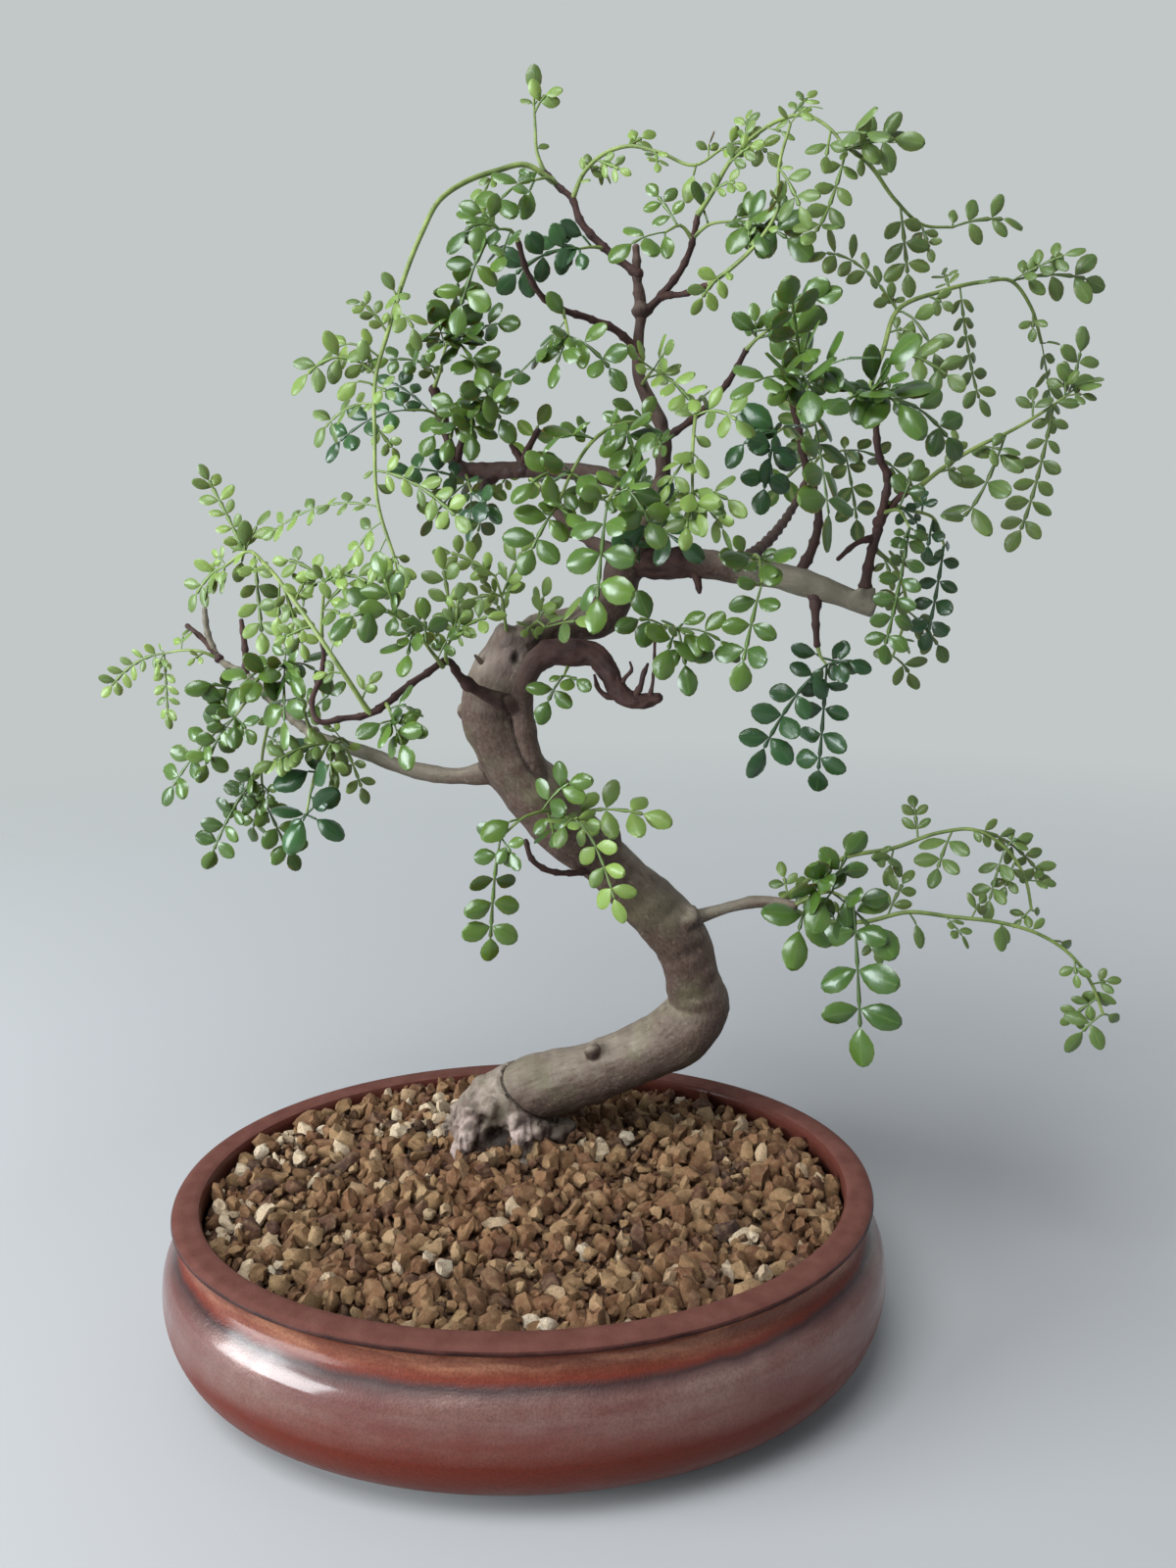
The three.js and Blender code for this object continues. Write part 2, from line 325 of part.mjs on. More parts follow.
// Seeded random draw
function seededDraw(seed) {
  let state = seed;
  return () => {
    state = (state + 0x6d2b79f5) | 0;
    let mixed = Math.imul(state ^ (state >>> 15), 1 | state);
    mixed = (mixed + Math.imul(mixed ^ (mixed >>> 7), 61 | mixed)) ^ mixed;
    return ((mixed ^ (mixed >>> 14)) >>> 0) / 4294967296;
  };
}

// Solids and meshes
function solidOf(geometry) {
  const bare = geometry.clone();
  bare.deleteAttribute('normal');
  bare.deleteAttribute('uv');
  const merged = mergeVertices(bare, 1e-4);
  return new wasm.Manifold(new wasm.Mesh({
    numProp: 3,
    vertProperties: new Float32Array(merged.attributes.position.array),
    triVerts: new Uint32Array(merged.index.array),
  }));
}

function joined(solids) {
  return solids.reduce((sum, solid) => sum.add(solid));
}

function largestBody(solid) {
  const bodies = solid.decompose();
  return bodies.reduce((best, body) => (body.volume() > best.volume() ? body : best));
}

function meshOf(name, solid, color, roughness, metalness = 0) {
  const { numProp, vertProperties, triVerts } = solid.getMesh();
  const positions = new Float32Array((vertProperties.length / numProp) * 3);
  for (let i = 0; i < positions.length / 3; i += 1) {
    for (let axis = 0; axis < 3; axis += 1) {
      positions[3 * i + axis] = vertProperties[numProp * i + axis];
    }
  }
  const geometry = new THREE.BufferGeometry();
  geometry.setAttribute('position', new THREE.BufferAttribute(positions, 3));
  geometry.setIndex(new THREE.BufferAttribute(new Uint32Array(triVerts), 1));
  geometry.computeVertexNormals();
  const mesh = new THREE.Mesh(geometry, new THREE.MeshStandardMaterial({ color, roughness, metalness }));
  mesh.name = name;
  return mesh;
}

// A cylinder bent along a row of points, with a radius at each
function bentRod(points, radii, sides) {
  const rows = points.length;
  const geometry = new THREE.CylinderGeometry(1, 1, 1, sides, rows - 1);
  const tangents = points.map((point, i) => {
    const before = points[Math.max(i - 1, 0)];
    const after = points[Math.min(i + 1, rows - 1)];
    return after.clone().sub(before).normalize();
  });
  const across = [new THREE.Vector3(0, 1, 0).cross(tangents[0]).normalize()];
  for (let i = 1; i < rows; i += 1) {
    const turn = new THREE.Quaternion().setFromUnitVectors(tangents[i - 1], tangents[i]);
    across.push(across[i - 1].clone().applyQuaternion(turn));
  }
  const position = geometry.attributes.position;
  for (let i = 0; i < position.count; i += 1) {
    const row = Math.round((position.getY(i) + 0.5) * (rows - 1));
    const outward = across[row].clone().cross(tangents[row]);
    const place = points[row].clone()
      .addScaledVector(across[row], position.getX(i) * radii[row])
      .addScaledVector(outward, position.getZ(i) * radii[row]);
    position.setXYZ(i, place.x, place.y, place.z);
  }
  return solidOf(geometry);
}

function box(width, depth, height, x, y, z) {
  return solidOf(new THREE.BoxGeometry(width, depth, height).translate(x, y, z));
}

function upright(radius, height, sides, x, y, z) {
  return solidOf(new THREE.CylinderGeometry(radius, radius, height, sides)
    .rotateX(Math.PI / 2).translate(x, y, z));
}

// Pot: reach is the distance from the centre along +X, and the width follows it
function ovalPoint(reach, angle, z) {
  const lengthToWidth = (POT_LENGTH - POT_WIDTH) / 2;
  const widthReach = reach - lengthToWidth * Math.min(1, (2 * reach) / POT_WIDTH);
  const power = 2 / POT_SQUARENESS;
  const bow = (value) => Math.sign(value) * Math.abs(value) ** power;
  return new THREE.Vector3(reach * bow(Math.cos(angle)), widthReach * bow(Math.sin(angle)), z);
}

function ovalSolid(profile, sides) {
  const geometry = new THREE.LatheGeometry(profile.map(([reach, z]) => new THREE.Vector2(reach, z)), sides);
  const position = geometry.attributes.position;
  for (let i = 0; i < position.count; i += 1) {
    const reach = Math.hypot(position.getX(i), position.getZ(i));
    const angle = reach < 1e-6 ? 0 : Math.atan2(-position.getZ(i), position.getX(i));
    const place = ovalPoint(reach, angle, position.getY(i));
    position.setXYZ(i, place.x, place.y, place.z);
  }
  return solidOf(geometry);
}

const RIM_REACH = POT_LENGTH / 2;

function buildPot() {
  const outside = [
    [-17, 0], [-9, 5.5], [0, 14.5], [4.2, 25], [5, 35], [2.8, 45], [-2.8, 51.5], [-4, 56],
    [-0.4, 59], [0, 62.8], [-1.2, POT_HEIGHT],
  ];
  const inside = [
    [-RIM_WIDTH + 1, POT_HEIGHT], [-RIM_WIDTH, POT_HEIGHT - 1.4], [-RIM_WIDTH, 54], [-3.5, 42],
    [-2.8, 26], [-10, 13], [-24, FLOOR_TOP],
  ];
  const walls = [...outside, ...inside].map(([inset, z]) => [RIM_REACH + inset, z]);
  const profile = [[0, 0], ...walls, [0, FLOOR_TOP]];
  let pot = ovalSolid(profile, POT_SIDES);
  for (const x of [-HOLE_SPACING / 2, HOLE_SPACING / 2]) {
    pot = pot.subtract(upright(HOLE_RADIUS, 3 * FLOOR_TOP, 12, x, 0, FLOOR_TOP / 2));
    pot = pot.subtract(box(HOLE_RADIUS, 2 * POT_WIDTH, 2 * CHANNEL_DEPTH, x, 0, 0));
  }
  return pot;
}

function buildScreen(x) {
  const level = FLOOR_TOP + CLEARANCE + SCREEN_THICKNESS / 2;
  let screen = box(SCREEN_SIZE, SCREEN_SIZE, SCREEN_THICKNESS, x, 0, level);
  for (const column of [-1, 1]) {
    for (const row of [-1, 1]) {
      const step = SCREEN_SIZE / 4.6;
      screen = screen.subtract(box(SCREEN_OPENING, SCREEN_OPENING, 4, x + column * step, row * step, level));
    }
  }
  return screen;
}

// Soil: rings of points from the middle outward, each lifted at random as a grain
function soilLevel(x, y) {
  const distance = Math.hypot(x + 8, y - 32);
  return SOIL_EDGE + SOIL_MOUND * Math.exp(-((distance / SOIL_MOUND_WIDTH) ** 2));
}

function soilRings(draw, edgeReach) {
  const rings = [[new THREE.Vector3(0, 0, SOIL_EDGE)]];
  for (let ring = 1; ring <= SOIL_RINGS; ring += 1) {
    const points = [];
    for (let k = 0; k < 6 * ring; k += 1) {
      const reach = (edgeReach * (ring + draw() * 0.5 - 0.25)) / SOIL_RINGS;
      const angle = ((k + draw() * 0.4) / (6 * ring)) * 2 * Math.PI;
      const point = ovalPoint(reach, angle, 0);
      point.z = soilLevel(point.x, point.y) + (draw() - 0.5) * GRAIN_RELIEF;
      points.push(point);
    }
    rings.push(points);
  }
  return rings;
}

// A slab under the grains, wider than the pot's inside
function soilSlab() {
  const rings = soilRings(seededDraw(LEAF_SEED), RIM_REACH - RIM_WIDTH + 4);
  const triangles = [];
  for (let ring = 1; ring <= SOIL_RINGS; ring += 1) {
    const outer = rings[ring];
    const inner = rings[ring - 1];
    for (let k = 0; k < outer.length; k += 1) {
      const side = Math.floor(k / ring);
      const place = k % ring;
      const next = outer[(k + 1) % outer.length];
      const first = side * (ring - 1) + place;
      const below = inner[first % inner.length];
      triangles.push(outer[k], next, below);
      if (place < ring - 1) triangles.push(below, next, inner[(first + 1) % inner.length]);
    }
  }
  const count = 6 * SOIL_RINGS;
  let upper = rings[SOIL_RINGS];
  for (const [inset, z] of [[-4, 51], [3, 40], [3, 0]]) {
    const lower = upper.map((_, k) => ovalPoint(RIM_REACH + inset, (k / count) * 2 * Math.PI, z));
    for (let k = 0; k < count; k += 1) {
      const next = (k + 1) % count;
      triangles.push(upper[k], lower[k], upper[next], upper[next], lower[k], lower[next]);
    }
    upper = lower;
  }
  const middle = new THREE.Vector3(0, 0, 0);
  for (let k = 0; k < count; k += 1) triangles.push(middle, upper[(k + 1) % count], upper[k]);
  return solidOf(new THREE.BufferGeometry().setFromPoints(triangles));
}

function buildSoil(hole) {
  const inside = [
    [-24.7, FLOOR_TOP + CLEARANCE], [-10.6, 13.3], [-3.4, 26], [-4, 42], [-RIM_WIDTH - 0.6, 53.5],
    [-RIM_WIDTH - 0.6, POT_HEIGHT + SOIL_MOUND],
  ].map(([inset, z]) => [RIM_REACH + inset, z]);
  const profile = [[0, FLOOR_TOP + CLEARANCE], ...inside, [0, POT_HEIGHT + SOIL_MOUND]];
  let soil = soilSlab().intersect(ovalSolid(profile, POT_SIDES)).subtract(hole);
  for (const x of [-HOLE_SPACING / 2, HOLE_SPACING / 2]) {
    const room = SCREEN_SIZE + 2 * CLEARANCE;
    soil = soil.subtract(box(room, room, 2 * (SCREEN_THICKNESS + CLEARANCE), x, 0, FLOOR_TOP + CLEARANCE));
  }
  return largestBody(soil);
}

// Tree: trunk, branches, twigs and roots grown as one piece; spare makes it thicker all round
function buildWood(spare) {
  const limbs = LIMBS.map(({ sides, points }) => bentRod(
    points.map(carried),
    points.map(([, y, , radius]) => radius * depthScale(y) + spare),
    sides,
  ));
  const roots = buildRoots(spare);
  const knobs = KNOBS.map((knob) => {
    const centre = carried(knob);
    const geometry = new THREE.IcosahedronGeometry(knob[3] + spare, 0);
    return solidOf(geometry.translate(centre.x, centre.y, centre.z));
  });
  return joined([...limbs, ...roots, ...knobs]);
}

function buildRoots(spare) {
  return ROOTS.map((points) => bentRod(
    points.map(([x, y, z]) => new THREE.Vector3(x, y, z)),
    points.map(([, , , radius]) => radius + spare),
    5,
  ));
}

// Leaflet outline from its base, along and across, as shares of its length: widest beyond its middle
const LEAFLET_OUTLINE = [[0.44, -0.28], [0.95, -0.2], [0.95, 0.2], [0.44, 0.28]];
const LEAFLET_CROWN = 0.5;

function fanAround(faces, centre, ring) {
  ring.forEach((point, k) => faces.push(centre, point, ring[(k + 1) % ring.length]));
}

function fanUnder(faces, ring) {
  for (let k = 1; k < ring.length - 1; k += 1) faces.push(ring[0], ring[k + 1], ring[k]);
}

function leafletPoints(base, along, across, normal, length, spare) {
  const place = (u, v, lift) => base.clone()
    .addScaledVector(along, u * length + spare)
    .addScaledVector(across, v * (length + 3 * spare))
    .addScaledVector(normal, lift);
  return {
    outline: LEAFLET_OUTLINE.map(([u, v]) => place(u, v, -spare)),
    crown: place(LEAFLET_CROWN, 0, BLADE_THICKNESS + spare),
  };
}

// Compound leaf: an arched three-sided rachis, with leaflets grown out of its edges in pairs and
// one at its end; each row of the rachis is its left and right edge and its ridge
function leafSolid(leaf, spare) {
  const { root, tip, rise, length, roll, swing } = leaf;
  const reach = root.distanceTo(tip);
  const pairs = Math.min(MOST_PAIRS, Math.max(0, Math.round((reach / length - 1) / PAIR_SPACING)));
  const middle = root.clone().lerp(tip, 0.5);
  middle.z += 2 * rise;
  const arch = new THREE.QuadraticBezierCurve3(root, middle, tip);
  const endShare = 1 - Math.min(0.8, length / reach);
  const facing = new THREE.Vector3(0, root.y > 60 ? 0.8 : -0.8, 0.6);
  const rowAt = (share, shift, width, thickness = BLADE_THICKNESS) => {
    const tangent = arch.getTangent(share);
    const upward = facing.clone().addScaledVector(tangent, -facing.dot(tangent)).normalize();
    const side = upward.cross(tangent).applyAxisAngle(tangent, roll);
    const normal = tangent.clone().cross(side);
    const centre = arch.getPoint(share).addScaledVector(tangent, shift).addScaledVector(normal, -spare);
    return {
      centre,
      tangent,
      side,
      normal,
      left: centre.clone().addScaledVector(side, width + spare),
      right: centre.clone().addScaledVector(side, -width - spare),
      ridge: centre.clone().addScaledVector(normal, thickness + 2 * spare),
    };
  };
  const rows = [rowAt(0, 0, LEAF_ROOT, LEAF_ROOT)];
  for (let pair = 1; pair <= pairs; pair += 1) {
    const share = (endShare * pair) / (pairs + LAST_PAIR_GAP);
    const [before, after] = [-0.5, 0.5].map((step) => rowAt(share, step * LEAFLET_BASE, RACHIS_HALF_WIDTH));
    before.ridge.lerp(after.ridge, 0.5);
    after.ridge = before.ridge;
    rows.push(before, after);
  }
  if (pairs === 0) rows.push(rowAt(endShare, 0, RACHIS_HALF_WIDTH));
  const faces = [rows[0].left, rows[0].right, rows[0].ridge];
  for (let i = 1; i < rows.length; i += 1) {
    const [from, to] = [rows[i - 1], rows[i]];
    faces.push(from.left, to.left, to.right, from.left, to.right, from.right);
    if (i % 2 === 0) {
      const { left, right } = leafletPair(from, to, length, swing, spare);
      fanAround(faces, left.crown, [from.ridge, to.left, ...left.outline, from.left]);
      fanUnder(faces, [from.left, to.left, ...left.outline]);
      fanAround(faces, right.crown, [from.ridge, from.right, ...right.outline, to.right]);
      fanUnder(faces, [from.right, ...right.outline, to.right]);
    } else {
      faces.push(from.left, from.ridge, to.ridge, from.left, to.ridge, to.left);
      faces.push(from.right, to.ridge, from.ridge, from.right, to.right, to.ridge);
    }
  }
  const end = rows[rows.length - 1];
  const last = leafletPoints(end.centre, end.tangent, end.side, end.normal, length * 1.08, spare);
  fanAround(faces, last.crown, [end.ridge, end.right, ...last.outline, end.left]);
  fanUnder(faces, [end.right, ...last.outline, end.left]);
  return solidOf(new THREE.BufferGeometry().setFromPoints(faces));
}

function leafletPair(from, to, length, swing, spare) {
  const { tangent, side, normal } = to;
  const base = (near, far) => near.clone().lerp(far, 0.5);
  const [forward, outward] = [Math.cos(swing), Math.sin(swing)];
  const leftAlong = tangent.clone().multiplyScalar(forward).addScaledVector(side, outward);
  const leftAcross = tangent.clone().multiplyScalar(-outward).addScaledVector(side, forward);
  const rightAlong = tangent.clone().multiplyScalar(forward).addScaledVector(side, -outward);
  const rightAcross = tangent.clone().multiplyScalar(outward).addScaledVector(side, forward);
  return {
    left: leafletPoints(base(from.left, to.left), leftAlong, leftAcross, normal, length, spare),
    right: leafletPoints(base(from.right, to.right), rightAlong, rightAcross, normal, length, spare),
  };
}

function boxesMeet(a, b) {
  return [0, 1, 2].every((axis) => a.min[axis] <= b.max[axis] && b.min[axis] <= a.max[axis]);
}

function isClear(solid, others) {
  const bounds = solid.boundingBox();
  return others.every((other) => (
    !boxesMeet(bounds, other.boundingBox()) || solid.intersect(other).isEmpty()
  ));
}

// Each leaf keeps its place if it is clear of the other nodes, and is turned or bent aside if not
const ASIDE = [[0, 0], [0.5, 0], [-0.5, 0], [0.3, 7], [-0.3, -7], [0.8, 12], [-0.8, -12], [0, 18], [0, -18]];

// The shoot's first point is moved along it until the shoot is clear of the wood that carries it
function offWood(stem, radii, wideWood) {
  const step = stem[1].clone().sub(stem[0]).setLength(SEAT_STEP);
  const points = stem.map((point) => point.clone());
  while (!isClear(bentRod(points, radii, STEM_SIDES), [wideWood]) && points[0].distanceTo(points[1]) > 1) {
    points[0].add(step);
  }
  return points;
}

function buildSpray(spray, wideWood, placed, draw) {
  const radii = spray.stem.map((_, i) => STEM_RADIUS * (1 - (0.25 * i) / (spray.stem.length - 1)));
  const stem = offWood(spray.stem.map(carried), radii, wideWood);
  const parts = [bentRod(stem, radii, STEM_SIDES)];
  for (const [place, x, y, z, rise, length] of spray.leaves) {
    const index = Math.min(Math.floor(place), stem.length - 2);
    const root = stem[index].clone().lerp(stem[index + 1], place - index);
    const roll = (draw() - 0.5) * 0.9;
    const swing = 1.05 + (draw() - 0.5) * 0.3;
    const choice = ASIDE.map(([turn, shift]) => ({
      root, tip: carried([x, y + shift, z]), rise, length, roll: roll + turn, swing,
    })).find((leaf) => isClear(leafSolid(leaf, CLEARANCE), [wideWood, ...placed]));
    if (choice) parts.push(leafSolid(choice, 0));
  }
  return largestBody(joined(parts));
}

// Assembly
const group = new THREE.Group();
group.add(meshOf('pot', buildPot(), 0x7c4438, 0.42, 0.1));
group.add(meshOf('drain_screen_left', buildScreen(-HOLE_SPACING / 2), 0x26332b, 0.7));
group.add(meshOf('drain_screen_right', buildScreen(HOLE_SPACING / 2), 0x26332b, 0.7));

const wood = buildWood(0);
const wideWood = buildWood(CLEARANCE);
group.add(meshOf('soil', buildSoil(buildWood(CLEARANCE + 0.1)), 0xa47f52, 0.95));
group.add(meshOf('trunk', wood, 0x7d6a5a, 0.85));

const draw = seededDraw(LEAF_SEED + 1);
const placed = [];
for (const spray of SPRAYS) {
  const solid = buildSpray(spray, wideWood, placed, draw);
  placed.push(solid);
  const { color, roughness } = TONES[spray.tone];
  group.add(meshOf(spray.name, solid, color, roughness));
}

export default group;
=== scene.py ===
"""Japanese pepper bonsai in its oval pot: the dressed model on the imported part's frame."""

import json
import logging
import math
from collections.abc import Callable, Sequence
from dataclasses import dataclass, field
from enum import Enum
from random import Random

import bpy
import numpy as np
from mathutils import Matrix, Vector
from mathutils.bvhtree import BVHTree

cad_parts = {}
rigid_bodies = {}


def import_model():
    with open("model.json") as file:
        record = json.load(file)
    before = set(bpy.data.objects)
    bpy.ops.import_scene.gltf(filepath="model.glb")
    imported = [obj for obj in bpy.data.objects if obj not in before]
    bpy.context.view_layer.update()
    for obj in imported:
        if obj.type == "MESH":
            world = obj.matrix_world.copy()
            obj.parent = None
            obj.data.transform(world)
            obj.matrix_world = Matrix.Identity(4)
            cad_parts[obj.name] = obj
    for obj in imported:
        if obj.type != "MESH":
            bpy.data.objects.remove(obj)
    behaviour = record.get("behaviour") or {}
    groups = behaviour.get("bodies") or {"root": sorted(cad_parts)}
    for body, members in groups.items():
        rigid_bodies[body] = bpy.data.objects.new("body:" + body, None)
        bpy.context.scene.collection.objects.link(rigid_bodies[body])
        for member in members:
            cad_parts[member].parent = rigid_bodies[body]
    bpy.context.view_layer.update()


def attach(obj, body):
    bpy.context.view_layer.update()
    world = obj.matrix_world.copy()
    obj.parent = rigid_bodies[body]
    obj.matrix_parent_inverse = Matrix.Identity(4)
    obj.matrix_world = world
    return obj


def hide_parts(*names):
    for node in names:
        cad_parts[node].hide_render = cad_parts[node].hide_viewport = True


LOG = logging.getLogger("bonsai")

MM = 0.001
SEED = 20480
EYE = np.array([32.0, -424.0, 312.0])
DRAWING_PLANE = 20.0

LIMB_FACING = (0, -1, 0.2)
ROUND_END = ((0.35, 0.94), (0.7, 0.71), (0.92, 0.38))
CUT_END = ((0.1, 0.9), (0.14, 0.6), (0.12, 0.3))
BLANK_FACTS = {
    "role": 0.0, "thickness": 0.0, "form": 0, "leaf_tone": 0.5, "turn": (0, 0, 0), "size": (1, 1, 1),
}

Point = tuple[float, ...]
Colour = tuple[int, int, int]
Face = tuple[int, ...]
Shape = tuple[np.ndarray, list[Face]]
Object = bpy.types.Object
Mesh = bpy.types.Mesh
Material = bpy.types.Material
Tree = bpy.types.NodeTree
Node = bpy.types.Node
Socket = bpy.types.NodeSocket


class Tone(Enum):
    """The three ages of leaf, by the slot of their finish."""

    YOUNG = "leaf_young"
    LEAF = "leaf_green"
    DARK = "leaf_dark"


@dataclass(frozen=True)
class Limb:
    """One limb as it is drawn: its bark from old (0) to new (1) along it, and its points and radii."""

    age: Sequence[float]
    points: Sequence[Point]
    cut: bool = False


@dataclass(frozen=True)
class SprayPlan:
    """One leafy shoot as it is drawn.

    Its leaves are (place along the stem in points, tip x, y, z, rise, leaflet length), and up to bare
    its stem has no others.
    """

    name: str
    tone: Tone
    stem: Sequence[Point]
    leaves: Sequence[Point]
    bare: float = 0.0


